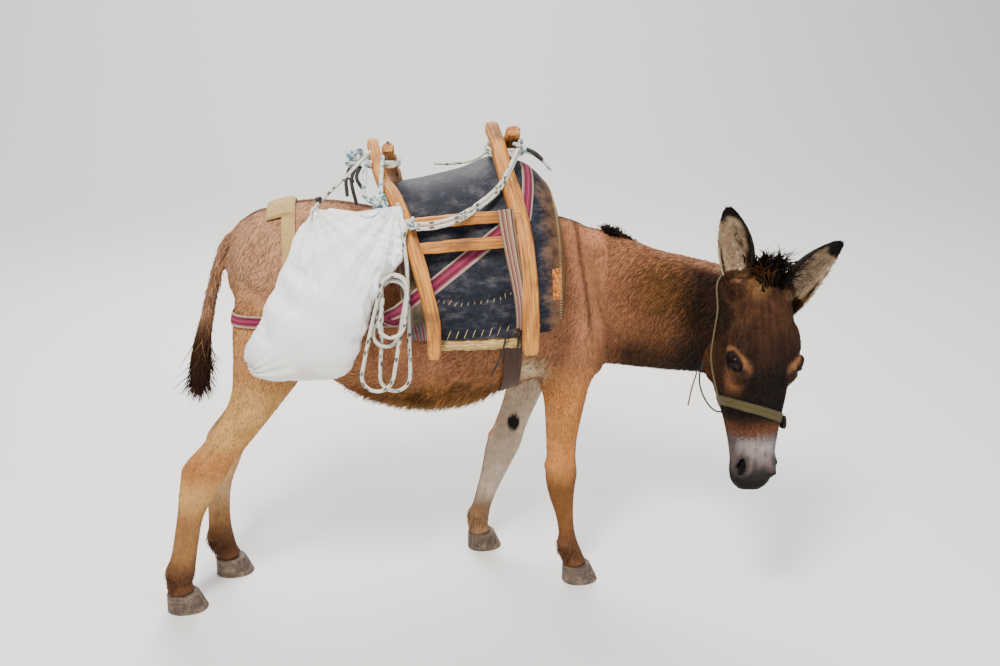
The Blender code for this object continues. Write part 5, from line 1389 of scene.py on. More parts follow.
def stitch_tree():
    """Geometry nodes that set one stitch at each point, turned by the point's own ways."""
    tree = bpy.data.node_groups.new("stitches", "GeometryNodeTree")
    for name, kind in (("Points", "Geometry"), ("Stitch", "Object"), ("Thread", "Material"), ("Seed", "Int")):
        tree.interface.new_socket(name, in_out="INPUT", socket_type="NodeSocket" + kind)
    tree.interface.new_socket("Stitches", in_out="OUTPUT", socket_type="NodeSocketGeometry")
    source, target = tree.nodes.new("NodeGroupInput"), tree.nodes.new("NodeGroupOutput")
    shape = tree.nodes.new("GeometryNodeObjectInfo")
    aim, out = (tree.nodes.new("GeometryNodeInputNamedAttribute") for _ in range(2))
    for node, name in ((aim, "aim"), (out, "out")):
        node.data_type = "FLOAT_VECTOR"
        node.inputs["Name"].default_value = name
    turn, level = (tree.nodes.new("FunctionNodeAlignRotationToVector") for _ in range(2))
    turn.axis = "X"
    level.axis, level.pivot_axis = "Z", "X"
    size = tree.nodes.new("FunctionNodeRandomValue")
    size.data_type = "FLOAT_VECTOR"
    size.inputs["Min"].default_value = (0.75, 0.85, 0.85)
    size.inputs["Max"].default_value = (1.20, 1.15, 1.15)
    place = tree.nodes.new("GeometryNodeInstanceOnPoints")
    real = tree.nodes.new("GeometryNodeRealizeInstances")
    paint = tree.nodes.new("GeometryNodeSetMaterial")
    for start, end in (
        (source.outputs["Points"], place.inputs["Points"]), (source.outputs["Stitch"], shape.inputs["Object"]),
        (shape.outputs["Geometry"], place.inputs["Instance"]), (aim.outputs["Attribute"], turn.inputs["Vector"]),
        (turn.outputs["Rotation"], level.inputs["Rotation"]), (out.outputs["Attribute"], level.inputs["Vector"]),
        (level.outputs["Rotation"], place.inputs["Rotation"]), (source.outputs["Seed"], size.inputs["Seed"]),
        (size.outputs["Value"], place.inputs["Scale"]), (place.outputs["Instances"], real.inputs["Geometry"]),
        (real.outputs["Geometry"], paint.inputs["Geometry"]), (source.outputs["Thread"], paint.inputs["Material"]),
        (paint.outputs["Geometry"], target.inputs["Stitches"]),
    ):
        tree.links.new(start, end)
    return tree


def make_stitches(name, lines, step, length, radius, thread, across=False):
    """Thread stitches along lines given as places and ways out."""
    rows = [stitch_points(line, outs, step, across) for line, outs in lines]
    places, along, outs = (np.concatenate([row[k] for row in rows]) for k in range(3))
    host = new_object(name, bpy.data.meshes.new(name))
    host.data.vertices.add(len(places))
    host.data.vertices.foreach_set("co", places.astype(np.float32).ravel())
    for word, values in (("aim", along), ("out", outs)):
        attribute = host.data.attributes.new(word, "FLOAT_VECTOR", "POINT")
        attribute.data.foreach_set("vector", values.astype(np.float32).ravel())
    shape = ball("one_stitch", (0, 0, 0), (length / 2, radius, radius), None, 8)
    layer = host.modifiers.new("stitches", "NODES")
    layer.node_group = stitch_tree()
    ids = {item.name: item.identifier for item in layer.node_group.interface.items_tree if item.in_out == "INPUT"}
    layer[ids["Stitch"]] = shape
    layer[ids["Thread"]] = thread
    layer[ids["Seed"]] = 5
    graph = bpy.context.evaluated_depsgraph_get()
    mesh = bpy.data.meshes.new_from_object(host.evaluated_get(graph))
    bpy.data.objects.remove(host)
    bpy.data.objects.remove(shape)
    return new_object(name, mesh)


def settle(made, held, pressure, spare, cap):
    """Let a soft piece's cloth wrinkle a little under its filling, moving no point further than cap."""
    cloth = new_object("cloth", made.data.copy())
    remesh = cloth.modifiers.new("remesh", "REMESH")
    remesh.mode = "VOXEL"
    remesh.voxel_size = 0.0045
    apply_modifiers(cloth)
    start = points_of(cloth.data)
    group = cloth.vertex_groups.new(name="held")
    weight = held(start)
    for level in (0.25, 0.5, 0.75, 1.0):
        chosen = np.flatnonzero(np.abs(weight - level) <= 0.125)
        group.add(chosen.tolist(), level, "REPLACE")
    layer = cloth.modifiers.new("cloth", "CLOTH")
    rules = layer.settings
    rules.quality = 5
    rules.mass = 0.15
    rules.tension_stiffness = rules.compression_stiffness = 15
    rules.shear_stiffness = 8
    rules.bending_stiffness = 0.08
    rules.use_pressure = True
    rules.uniform_pressure_force = pressure
    rules.shrink_min = -spare
    rules.vertex_group_mass = "held"
    rules.effector_weights.gravity = 0.0
    layer.collision_settings.use_self_collision = False
    layer.point_cache.frame_start = 1
    layer.point_cache.frame_end = 20
    for number in range(1, 21):
        bpy.context.scene.frame_set(number)
    graph = bpy.context.evaluated_depsgraph_get()
    moved = points_of(cloth.evaluated_get(graph).data)
    bpy.context.scene.frame_set(1)
    cloth.modifiers.clear()
    move = moved - start
    size = np.linalg.norm(move, axis=1)
    moved = start + move * (np.minimum(size, cap) / np.maximum(size, 1e-9))[:, None]
    print("cloth", made.name, "median move", round(float(np.median(size)), 4), "largest", round(float(size.max()), 4))
    tree = KDTree(len(start))
    for number, place in enumerate(start):
        tree.insert(place, number)
    tree.balance()
    shift = moved - start
    points = points_of(made.data)
    result = points.copy()
    for number, place in enumerate(points):
        found = tree.find_n(place, 4)
        share = np.array([1 / (distance + 1e-4) for _, _, distance in found])
        result[number] += (shift[[index for _, index, _ in found]] * (share / share.sum())[:, None]).sum(axis=0)
    set_points(made.data, result)
    bpy.data.objects.remove(cloth)


def make_blanket(skin_trees):
    """A woven cloth over the back, laid on the coat, with its hems waving a little."""
    xs = np.linspace(BLANKET_REAR, BLANKET_FRONT, 64)
    turns = np.radians(np.linspace(-112, 112, 150))
    outer = np.full((len(xs), len(turns), 3), np.nan)
    for i, x in enumerate(xs):
        for j, turn in enumerate(turns):
            out = Vector((0, math.sin(turn), math.cos(turn)))
            rear = max(0.0, 1 - (x - BLANKET_REAR) / 0.20)
            drop = max(0.0, abs(turn) - 0.6) * 0.22
            place_x = x + BLANKET_LEAN * rear * drop
            middle = Vector((place_x, 0, BLANKET_MIDDLE))
            hit = surface_point(skin_trees, middle + out * 0.6, -out, 0.0)
            outer[i, j] = hit
    for _ in range(6):
        outer[1:-1, 1:-1] = outer[1:-1, 1:-1] * 0.4 + 0.15 * (
            outer[:-2, 1:-1] + outer[2:, 1:-1] + outer[1:-1, :-2] + outer[1:-1, 2:])
    rings = []
    for i in range(len(xs)):
        row = outer[i]
        kept = row[row[:, 2] > BLANKET_HEM]
        marks = travelled(kept)
        even = read_off(np.linspace(0, 1, BLANKET_COUNT) * marks[-1], marks, kept)
        normal = np.stack([np.zeros(BLANKET_COUNT), even[:, 1], (even[:, 2] - BLANKET_MIDDLE) * 1.4], axis=1)
        normal /= np.linalg.norm(normal, axis=1)[:, None]
        low = smooth_step(0.95, 0.80, even[:, 2])
        wave = 0.0022 * np.sin(even[:, 0] * 70 + np.sign(even[:, 1]) * 1.3) * low
        top = even + normal * (BLANKET_LIFT + wave)[:, None]
        under = top - normal * BLANKET_THICK
        rings.append(np.concatenate([top, under[::-1]]))
    rings = np.array(rings)
    made = strap_mesh("blanket_cloth", rings)
    top = rings[:, :BLANKET_COUNT]
    width = np.linalg.norm(np.diff(top, axis=0), axis=2).sum(axis=0).max()
    length = np.linalg.norm(np.diff(top, axis=1), axis=2).sum(axis=1).max()
    return made, (float(width), float(length))


def make_sack():
    """A filled woven sack, tied at its mouth, full at its foot, with folds drawn from the knots."""
    rows = hermite([(z, 0.0, 0.0, rear, front, thick, y) for z, rear, front, thick, y in SACK], 150)
    rings = []
    across, upwards = superellipse(200, 2.0)
    for z, _, _, rear, front, thick, y in rows:
        middle, half = (rear + front) / 2, (front - rear) / 2
        mouth = max(0.0, (z - 1.08) / 0.08)
        sag = -0.018 * (1 - across**2) * mouth + 0.0045 * np.sin(across * 11 + 1) * (1 - across**4) * mouth
        rings.append(np.stack([middle + across * half, y - upwards * thick, z + sag], axis=1))
    made = ring_mesh("sack_woven", np.array(rings))
    points = points_of(made.data)
    normals = points_of(made.data, "normal")
    knots = np.array([(-0.145, 1.160), (0.055, 1.160)])
    lift = np.zeros(len(points))
    for number, (x, z) in enumerate(knots):
        angle = np.arctan2(points[:, 0] - x, z - points[:, 2])
        reach = np.hypot(points[:, 0] - x, points[:, 2] - z)
        fade = smooth_step(0.34, 0.10, reach) * smooth_step(0.0, 0.04, reach)
        lift += 0.0050 * np.sin(angle * 17 + number) * fade * (1 + 0.5 * np.sin(angle * 41))
    corner = np.hypot(points[:, 0] + 0.325, points[:, 2] - 0.765)
    turn = np.arctan2(points[:, 2] - 0.765, points[:, 0] + 0.325)
    lift += 0.0030 * np.sin(turn * 22) * smooth_step(0.15, 0.02, corner)
    slant = points[:, 0] * 0.75 + points[:, 2] * 0.66
    lift += 0.0030 * np.sin(slant * 52 + 2.2 * np.sin(points[:, 2] * 13)) * smooth_step(1.10, 0.95, points[:, 2])
    lift += 0.0008 * np.sin((points[:, 0] * 0.5 - points[:, 2] * 0.86) * 90 + 2 * np.sin(points[:, 0] * 25))
    edge = smooth_step(0.0, 0.02, points[:, 2] - 0.728)
    set_points(made.data, points + normals * ((lift - 0.0035) * edge)[:, None])
    return made


def sack_held(points):
    """Where the sack's cloth can't move: its tied corners and the side that lies on the donkey."""
    knots = np.min([np.hypot(points[:, 0] - x, points[:, 2] - z) for x, z in ((-0.145, 1.155), (0.060, 1.150))], axis=0)
    weight = smooth_step(0.05, 0.02, knots)
    inward = smooth_step(-0.285, -0.262, points[:, 1])
    foot = smooth_step(0.742, 0.730, points[:, 2])
    return np.maximum.reduce([weight, inward, foot])


def hank_path():
    """The whole rope of the hank: down from the saddle, then loop after loop, each its own size."""
    points = [np.array(place) for place in HANK_DROP]
    for number, ((x, z, radius), (top_x, top_z), y) in enumerate(HANK_LOOPS):
        sag = 0.0035 * math.sin(number * 2.3 + 1)
        for turn in np.linspace(0.0, math.pi, 15):
            points.append(np.array((x + radius * math.cos(turn), y, z - radius * math.sin(turn))))
        side = np.array((x - radius, y, z)), np.array((top_x - HANK_TOP_RADIUS, y, top_z))
        for share in (0.3, 0.5, 0.7):
            bow = sag * math.sin(share * math.pi)
            points.append(side[0] * (1 - share) + side[1] * share + np.array((bow, 0, 0)))
        if number + 1 == len(HANK_LOOPS):
            points.append(side[1])
            break
        next_y = HANK_LOOPS[number + 1][2]
        for share in np.linspace(0, 1, 13):
            turn = share * math.pi
            ease = share * share * (3 - 2 * share)
            points.append(np.array((top_x - HANK_TOP_RADIUS * math.cos(turn), y + (next_y - y) * ease,
                                    top_z + HANK_TOP_RADIUS * math.sin(turn))))
    path = np.array(points)
    marks = travelled(path)
    path = read_off(np.linspace(0, marks[-1], int(marks[-1] / 0.004)), marks, path)
    for _ in range(14):
        path[1:-1] = path[1:-1] * 0.5 + (path[:-2] + path[2:]) * 0.25
    return path


def lashing_path(centre, radius, rise, turns, tilt):
    """Turns of rope round a crossing, each a little above the last."""
    count = int(turns * 40)
    t = np.linspace(0, turns * 2 * math.pi, count)
    square = 1 + 0.10 * np.cos(4 * t)
    x = centre[0] + radius * np.cos(t) / square
    y = centre[1] + radius * 0.92 * np.sin(t) / square
    z = centre[2] + rise * (t / t[-1] - 0.5) + tilt * np.sin(t)
    return np.stack([x, y, z], axis=1)


def make_saddle_ropes(look):
    """The ropes of the saddle with their lashings."""
    ropes = []
    for drop in (0.0, 0.0115):
        points = [(x, y - drop * 0.25, z - drop) for x, y, z in ROPE_SPAN]
        first = points[0]
        start = (first[0] + 0.004, first[1] + 0.026, first[2] + 0.012)
        ropes.append(rope("span", [start] + points, ROPE))
    ropes.append(rope("far", ROPE_FAR, THIN_ROPE))
    for centre, radius, rise, tilt in LASHINGS:
        ropes.append(rope("lash", lashing_path(centre, radius, rise, LASHING_TURNS, tilt), ROPE, given=True))
    hand_over(joined("saddle_ropes", ropes), look,
              ["rope_span_1", "rope_span_2", "rope_far", "lashing_front", "lashing_rear"])


def make_sack_cords(look):
    """The cords that hold the sack by its mouth."""
    cords = [rope(name, route, CORD * 1.5, pitch=0.018, sides=12) for name, route in SACK_CORDS.items()]
    cords.append(rope("loop", SACK_LOOP, CORD * 1.3, pitch=0.016, sides=10))
    hand_over(joined("sack_cords", cords), look, list(SACK_CORDS))


def make_knots(dark, teal):
    """The tangle at the rear horn, the other knots, and the dark ends beside them."""
    coil = [braid_knot(*knot) for knot in KNOTS]
    for route in HORN_CORDS:
        coil.append(rope("horn_cord", route, CORD * 2.1, pitch=0.022, sides=12))
    coil.append(braid_knot(*BIG_KNOT))
    black = [braid_knot("black_knot", place, 0.007, 0.0030, turn, 1.1) for place, turn in BLACK_KNOTS]
    for lane, foot in ((-0.006, 1.150), (0.008, 1.128), (0.020, 1.165)):
        route = [(-0.046 + lane, -0.060, 1.222), (-0.058 + lane, -0.078, 1.195), (-0.054 + lane * 1.6, -0.092, foot)]
        black.append(rope("dark_strand", route, 0.0050, pitch=0.022, sides=12))
    black.append(rope("black_end", BLACK_END, 0.0060, pitch=0.020, sides=12))
    hand_over(joined("black_knots", black), dark)
    hand_over(joined("rope_knots", coil), teal, ["knot_coil"])


def make_hank(look):
    """The hank's rope at its whole length, as one rope."""
    path = hank_path()
    made = rope("hank_rope", path, ROPE, given=True)
    hand_over(made, look, ["rope_hank", "rope_drop"])
    hang(path, 2)


def make_thongs(dark, teal):
    """Loose thongs below the saddle and the frayed end of the front lashing."""
    for name, route in THONGS.items():
        loose = name == "rope_end"
        radius = CORD * 1.7 if loose else CORD
        path = even_path(route, 0.0035)
        made = rope(name + "_cord", path, radius, given=True, pitch=0.020, sides=12)
        hand_over(made, teal if loose else dark, [name])
        hang(path)


def lay_strap(name, trees, route, width, lift, thickness, across=5, bulge=0.0):
    """A strap laid on pieces along a route."""
    return strap(name, cast_sections(trees, route, width, lift, across), thickness, bulge=bulge)


def make_trunk_straps(trees, looks):
    """The girth, and the hip strap with its pad over the croup."""
    made = lay_strap("girth", trees, around_trunk(GIRTH_X, 0.83, 99, 261, 70, 0.29), GIRTH_WIDTH, STRAP_LIFT,
                     0.0028, 9)
    hand_over(made, looks["thongs"], ["girth"])
    made = lay_strap("hip", trees, around_trunk(HIP_STRAP_X, 0.90, -104, 104, 80), 0.034, STRAP_LIFT, 0.0024)
    hand_over(made, looks["straw"], ["hip_strap"])
    route = [(Vector((CROUP_PAD_X, y, 1.5)), Vector((CROUP_PAD_X, y * 0.5, 0.9)))
             for y in np.linspace(*CROUP_PAD_REACH, 30)]
    made = lay_strap("croup", trees, route, 0.070, STRAP_LIFT + 0.0018, 0.005, 13, 0.003)
    hand_over(made, looks["straw"], ["croup_pad"])


def make_breeching(trees, look):
    """The band round the rump, with an end on each side that runs on to the saddle."""
    route = []
    for turn in np.linspace(-118, 118, 120):
        out = Vector((-math.cos(math.radians(turn)), math.sin(math.radians(turn)), 0))
        middle = Vector((-0.16, 0, BREECH_HEIGHT))
        if abs(turn) > 60:
            middle.x += 0.10 * (abs(turn) - 60) / 58
        route.append((middle + out * 0.7, middle))
    laid = cast_sections(trees, route, 0.030, STRAP_LIFT)
    pieces = [strap("breech", laid, 0.0024)]
    for places, _ in (laid[0], laid[-1]):
        end = places.mean(axis=0)
        side = 1 if end[1] > 0 else -1
        free = hermite([
            (0.112, side * 0.2742, 0.943), (0.085, side * 0.2718, 0.921), (0.050, side * 0.2690, 0.894),
            (0.020, (side * 0.2690 + end[1]) / 2, 0.868), (end[0] - 0.006, end[1] + side * 0.0035, end[2]),
        ], 30)
        pieces.append(free_strap("breech_end", free, (0.034, 0.030), np.array((0.0, -side, 0.0)), 0.0020))
    hand_over(joined("breech", pieces), look, ["breeching"])


def make_bands(trees, looks):
    """The bands over the saddle, and the striped one that hangs from its lower slat."""
    for hand, side in (("right", -1), ("left", 1)):
        route = []
        for share in np.linspace(-0.02, 1.02, 36):
            x, z = 0.318 - 0.235 * share, 1.105 - 0.185 * share
            route.append((Vector((x, side * 0.6, z + 0.10)), Vector((x, 0, z - 0.10))))
        hand_over(lay_strap("band", trees, route, 0.038, PAD_STRAP_LIFT, 0.0020), looks["magenta"],
                  ["band_" + hand])
    route = []
    for share, (start, aim) in zip(np.linspace(1, 0, 40), around_trunk(0.410, 0.90, -46, 12, 40)):
        slip = Vector((-0.034 * share**2, 0, 0))
        route.append((start + slip, aim + slip))
    hand_over(lay_strap("band", trees, route, 0.030, PAD_STRAP_LIFT, 0.0020), looks["magenta"],
              ["band_front"])
    way = np.array((0.0, 1.0, 0.15)) / math.hypot(1.0, 0.15)
    hand_over(free_strap("band", hermite(STRIPED_BAND, 50), (0.040, 0.024), way, 0.0018, 0.003), looks["pale"],
              ["band_striped"])
    hand_over(braid_knot("band_knot", (0.344, -0.3005, 0.838), 0.0085, 0.0036, 0.5, 1.3), looks["thongs"])


def make_noseband(trees, look):
    """The noseband, laid round the face below the eyes."""
    place, lean = NOSEBAND_PLACE
    share = np.linspace(-1, 1, 7)
    lift = (NOSEBAND_THICK * (1 - 0.4 * share**6))[:, None]
    rings = []
    for a in np.linspace(0, 2 * math.pi, 96, endpoint=False):
        out = Vector((0, math.cos(a), math.sin(a)))
        places = []
        for edge in share / 2:
            middle = Vector((place + lean * math.cos(a) + edge * NOSEBAND_WIDTH, 0, -0.075))
            aim = HEAD_FRAME @ middle
            way = (aim - HEAD_FRAME @ (middle + out * 0.25)).normalized()
            places.append(np.array(surface_point(trees, aim - way * 0.25, way, 0.0018)))
        places, inwards = np.array(places), np.array(way)
        rings.append(np.concatenate([places - inwards * lift, places[::-1] + inwards * 0.001]))
    rings = np.array(rings)
    for _ in range(2):
        rings = rings * 0.5 + (np.roll(rings, 1, axis=0) + np.roll(rings, -1, axis=0)) * 0.25
    hand_over(strap_mesh("noseband", rings, loop=True), look, ["halter_noseband"])


def make_buckle(look):
    """The noseband's buckle: a bow, its tongue and the plate behind them."""
    turn = HEAD_FRAME @ Matrix.Translation(BUCKLE_PLACE)
    t = np.linspace(0, 2 * math.pi, 40, endpoint=False)
    square = (np.abs(np.cos(t)) ** 4 + np.abs(np.sin(t)) ** 4) ** -0.25
    outline = np.stack([np.cos(t) * square * 0.0150, np.full(40, 0.001), np.sin(t) * square * 0.0125], axis=1)
    bow = ring_mesh("bow", round_loop(world_from(turn, outline), 0.0027), loop=True)
    tongue = np.array([(-0.016, 0.004, 0), (0, 0.006, 0), (0.016, 0.003, 0)])
    tongue = smooth_tube("tongue", world_from(turn, tongue), 0.0019)
    t = np.linspace(0, 2 * math.pi, 16, endpoint=False)
    plate = [world_from(turn, np.stack([np.full(16, s), -0.0025 + np.sin(t) * 0.0022, np.cos(t) * 0.0105], axis=1))
             for s in np.linspace(-0.015, 0.015, 8)]
    plate = ring_mesh("plate", np.array(plate))
    hand_over(joined("buckle", [bow, tongue, plate]), look, ["halter_buckle"])


def make_head_cords(trees, looks):
    """The cord over the poll, the throat cord and its loose end."""
    spots = [((s, 0.0, z), (0.0, -1.0, 0.0)) for s, z in HEADCORD_SIDE]
    for angle in np.radians((-60, -30, 0, 30, 60)):
        spots.append(((HEADCORD_TOP[0], 0.0, HEADCORD_TOP[1]), (-math.cos(angle), math.sin(angle), 0.0)))
    spots += [((s, 0.0, z), (0.0, 1.0, 0.0)) for s, z in HEADCORD_SIDE[::-1]]
    points = []
    for middle, out in spots:
        aim = HEAD_FRAME @ Vector(middle)
        start = HEAD_FRAME @ (Vector(middle) + Vector(out) * 0.3)
        points.append(tuple(surface_point(trees, start, (aim - start).normalized(), CORD + 0.0012)))
    over = rope("headcord", points, CORD, pitch=0.014, sides=12)
    hand_over(over, looks["pale_cord"], ["halter_headcord"])

    path = even_path([tuple(HEAD_FRAME @ Vector(p)) for p in THROAT_CORD], 0.003)
    hand_over(smooth_tube("throat_cord", path, CORD * 0.8, 10), looks["dark"], ["halter_throat"])

    path = even_path([tuple(HEAD_FRAME @ Vector(p)) for p in HALTER_END], 0.0028)
    end = rope("halter_end_cord", path, CORD * 0.8, given=True, pitch=0.012, sides=10)
    hand_over(end, looks["brown"], ["halter_end"])
    hang(path)


def round_loop(path, radius, sides=10):
    """Rings of a closed round wire along a closed path."""
    path = np.asarray(path)
    tangents = np.roll(path, -1, axis=0) - np.roll(path, 1, axis=0)
    tangents /= np.linalg.norm(tangents, axis=1)[:, None]
    normal = np.cross(path[0] - path.mean(0), path[len(path) // 4] - path.mean(0))
    normal /= np.linalg.norm(normal)
    side = np.cross(tangents, normal)
    turns = np.linspace(0, 2 * math.pi, sides, endpoint=False)
    return tube_rings(path, side, np.tile(normal, (len(path), 1)), turns, radius)


def make_rolls(look):
    """The straw rolls sewn along the pad's hems."""
    rolls = []
    for side in (-1, 1):
        rows = [(0.145, side * 0.268, PAD_HEM - 0.014), (0.250, side * 0.276, PAD_HEM - 0.015),
                (0.356, side * 0.277, PAD_HEM - 0.012)]
        path = even_path(rows, 0.004)
        rings = rope_rings(path, ROLL_RADIUS, strands=7, pitch=0.22, sides=28, depth=0.12)
        step = np.arange(len(path))
        swell = 0.97 + 0.05 * np.sin(step * 1.1) + 0.07 * np.sin(step * 0.43 + side) + 0.04 * np.sin(step * 2.7)
        swell = swell[:, None, None]
        rings = path[:, None] + (rings - path[:, None]) * swell
        rolls.append(ring_mesh("roll", rings))
    hand_over(joined("hem_rolls", rolls), look, ["pad_roll_left", "pad_roll_right"])


# Eyes and hooves

def make_eyes():
    """Eyeballs with a dark iris, a long pupil and a clear bulge over them."""
    for side, name in ((-1, "eye_right"), (1, "eye_left")):
        place = eye_frame(side)
        t = np.linspace(0.0, math.pi, 40)
        turns = np.linspace(0, 2 * math.pi, 48, endpoint=False)
        bulge = 1 + 0.035 * np.exp(-(t / 0.50) ** 2)
        rings = []
        for angle, size in zip(t[1:-1], bulge[1:-1]):
            radius = (EYE_RADIUS - 0.0012) * size
            rings.append(np.stack([np.cos(turns) * math.sin(angle) * radius,
                                   np.sin(turns) * math.sin(angle) * radius,
                                   np.full(48, math.cos(angle) * radius)], axis=1))
        local = np.array(rings)
        made = ring_mesh(name + "ball", local)
        attribute = made.data.attributes.new("gaze", "FLOAT_VECTOR", "POINT")
        attribute.data.foreach_set("vector", (points_of(made.data) / EYE_RADIUS).astype(np.float32).ravel())
        made.data.transform(place)
        hand_over(made, eye_material(), [name])


def make_hooves():
    """Hooves with growth rings, a bevelled rim and a worn toe."""
    made = []
    names = []
    for leg, stations in LEGS.items():
        (x, y, _), depth, width = stations[-1]
        random = np.random.default_rng(len(leg))
        rings = []
        across, upwards = superellipse(48, 2.2)
        for share in np.linspace(0.0, 1.0, 26):
            flare = 1.0 + 0.30 * share
            ridge = 1 + 0.010 * math.sin(share * 34) + 0.006 * math.sin(share * 71 + 1)
            edge = 1 - 0.05 * max(0.0, 1 - share / 0.06) - 0.04 * max(0.0, (share - 0.97) / 0.03)
            px = x + 0.010 * share + upwards * (depth + 0.003) * flare * np.where(upwards > 0, 1.1, 0.95) * ridge * edge
            py = y + across * (width + 0.003) * (1 + 0.16 * share) * ridge * edge
            z = HOOF_TOP * (1 - share) + 0.0008 * random.normal(size=48) * (0.05 < share < 0.9)
            rings.append(np.stack([px, py, z], axis=1))
        rings = np.array(rings)
        rings[:, :, 2] = np.clip(rings[:, :, 2], 0.0, None)
        made.append(ring_mesh("hoof", rings))
        names.append("hoof_" + leg.replace("leg", ""))
    hand_over(joined("hooves", made), hoof_material(), names)


# Markings: the coat's colours, with a painted shadow and a painted highlight among them, told from a place on the body

CHESTNUT_PLACE = (0.395, 0.085, 0.425)
CHESTNUT_SIZE = (0.020, 0.030, 0.028)

def wobble(points, rate, seed, count=7):
    """Smooth random swings between about -1 and 1."""
    random = np.random.default_rng(seed)
    total = np.zeros(len(points))
    for _ in range(count):
        way = random.normal(size=3) * rate
        total += np.sin(points @ way + random.uniform(0, 6.3))
    return total / math.sqrt(count)


def tint(base, share, red, green, blue):
    """Blend rows of colours towards one colour by a share for each row."""
    share = np.clip(share, 0, 1)[:, None]
    return base * (1 - share) + np.array(from_photo(red, green, blue)) * share


def plain_tone(points, *colour):
    """One colour for every place."""
    return np.tile(np.array(from_photo(*colour)), (len(points), 1))


def paint(tone, *layers):
    """Blend rows of colours by one layer after another, each a share for each row and a colour."""
    for share, *colour in layers:
        tone = tint(tone, share, *colour)
    return tone


def near(value, middle, reach):
    """1 at a middle value, falling evenly to 0 at its reach."""
    return smooth_step(reach, 0.0, np.abs(value - middle))


def markings(points, normals, part, along):
    """The coat's colour at each place of the body, with the painted shadow behind the head and the painted highlight on
    the rump laid in.
    """
    loose = wobble(points, 22, 1)
    fine = wobble(points, 80, 2)
    y, z = points[:, 1], points[:, 2]
    neck = is_part(part, "neck")
    tone = trunk_tone(points, normals, loose, fine, is_part(part, "torso") | neck)
    inner = smooth_step(0.02, 0.35, -normals[:, 1] * np.sign(y)) * smooth_step(0.70, 0.58, z)
    for chosen, painted in (
        (neck, neck_tone(tone, points, normals, loose, fine)),
        (is_part(part, "fore"), fore_leg_tone(tone, points, loose, inner)),
        (is_part(part, "hind"), hind_leg_tone(tone, points, loose, inner)),
        (is_part(part, "tail"), tail_tone(points, along, loose)),
        (is_part(part, "head"), head_tone(points)),
    ):
        tone = np.where(chosen[:, None], painted, tone)
    for name in EARS:
        ear = is_part(part, name)
        if ear.any():
            tone[ear] = ear_tone(name, points[ear], normals[ear])
    mottle = wobble(points, 190, 3)
    return np.clip(tone * (1 + 0.09 * fine[:, None] + 0.09 * mottle[:, None]), 0.003, 0.95)


def trunk_tone(points, normals, loose, fine, trunk):
    """Painted sunlit highlight over the top of the rump, brown barrel and shoulder, dark belly, and the cross of dark
    hair over the back.
    """
    x, y, z = points.T
    belly = smooth_step(0.73, 0.64, z + 0.018 * loose) * near(x, 0.12, 0.46)
    cream = near(x, 0.405, 0.07) * near(z, 0.665, 0.07) * smooth_step(0.3, 0.9, np.abs(normals[:, 1]))
    stripe = near(y, 0.0, 0.030) * smooth_step(0.3, 0.8, normals[:, 2]) * trunk
    cross_x = 0.545 + 0.020 * smooth_step(1.02, 0.78, z)
    cross = near(x, cross_x, 0.012) * smooth_step(0.755, 0.80, z) * trunk
    return paint(
        plain_tone(points, 146, 98, 68),
        # painted highlight: the top of the rump is made lighter, as sunlight falls on it
        (0.8 * smooth_step(0.05, -0.20, x + loose * 0.04) * smooth_step(0.80, 0.98, z), 170, 128, 98),
        (0.75 * smooth_step(0.02, -0.18, x) * smooth_step(0.98, 0.80, z + loose * 0.03), 178, 128, 80),
        (0.65 * near(x, 0.53, 0.14) * near(z, 0.88, 0.22), 158, 108, 76),
        (0.8 * near(x, 0.60, 0.10) * smooth_step(0.98, 1.02, z + 0.01 * loose), 176, 118, 84),
        (0.9 * belly, 132, 88, 46),
        (0.75 * belly * smooth_step(0.15, 0.9, fine), 66, 42, 22),
        (0.65 * belly * smooth_step(0.605, 0.565, z + 0.010 * loose), 150, 120, 66),
        (0.9 * cream, 206, 186, 148),
        (0.85 * stripe, 58, 38, 28),
        (0.80 * cross, 62, 38, 26),
    )


def neck_tone(tone, points, normals, loose, fine):
    """Darker towards the head and below, a painted shadow of the head on the neck just behind it, a brown crest, and
    the dark tuft of the mane.
    """
    x, y, z = points.T
    deep = smooth_step(0.60, 0.86, x + 0.03 * loose)
    under = smooth_step(0.80, 0.70, z + 0.02 * loose) * smooth_step(0.62, 0.70, x)
    # painted shadow: the head's shadow falls on the neck just behind it and is painted in nearly black
    head_shadow = smooth_step(0.785, 0.860, x + 0.01 * loose) * smooth_step(1.00, 0.93, z)
    crest = smooth_step(0.55, 0.9, normals[:, 2])
    tuft = near(x, 0.640, 0.055) * smooth_step(0.972, 0.985, z) * smooth_step(0.034, 0.016, np.abs(y + 0.012))
    return paint(
        tone,
        (0.80 * deep, 88, 56, 34),
        (0.55 * near(x, 0.76, 0.09) * near(z, 0.88, 0.10), 132, 92, 48),
        (0.50 * smooth_step(0.25, 0.8, fine) * deep, 52, 34, 22),
        (0.9 * under, 44, 30, 18),
        # painted shadow of the head
        (0.9 * head_shadow, 20, 14, 10),
        (0.7 * crest * smooth_step(0.66, 0.76, x), 138, 96, 70),
        (0.9 * tuft, 36, 26, 20),
    )


def tail_tone(points, along, loose):
    """Brown at the dock, darker down the switch."""
    return paint(
        plain_tone(points, 150, 110, 84),
        (smooth_step(0.50, 0.66, along + 0.04 * loose), 64, 42, 28),
        (0.6 * smooth_step(0.80, 0.95, along), 34, 24, 20),
    )


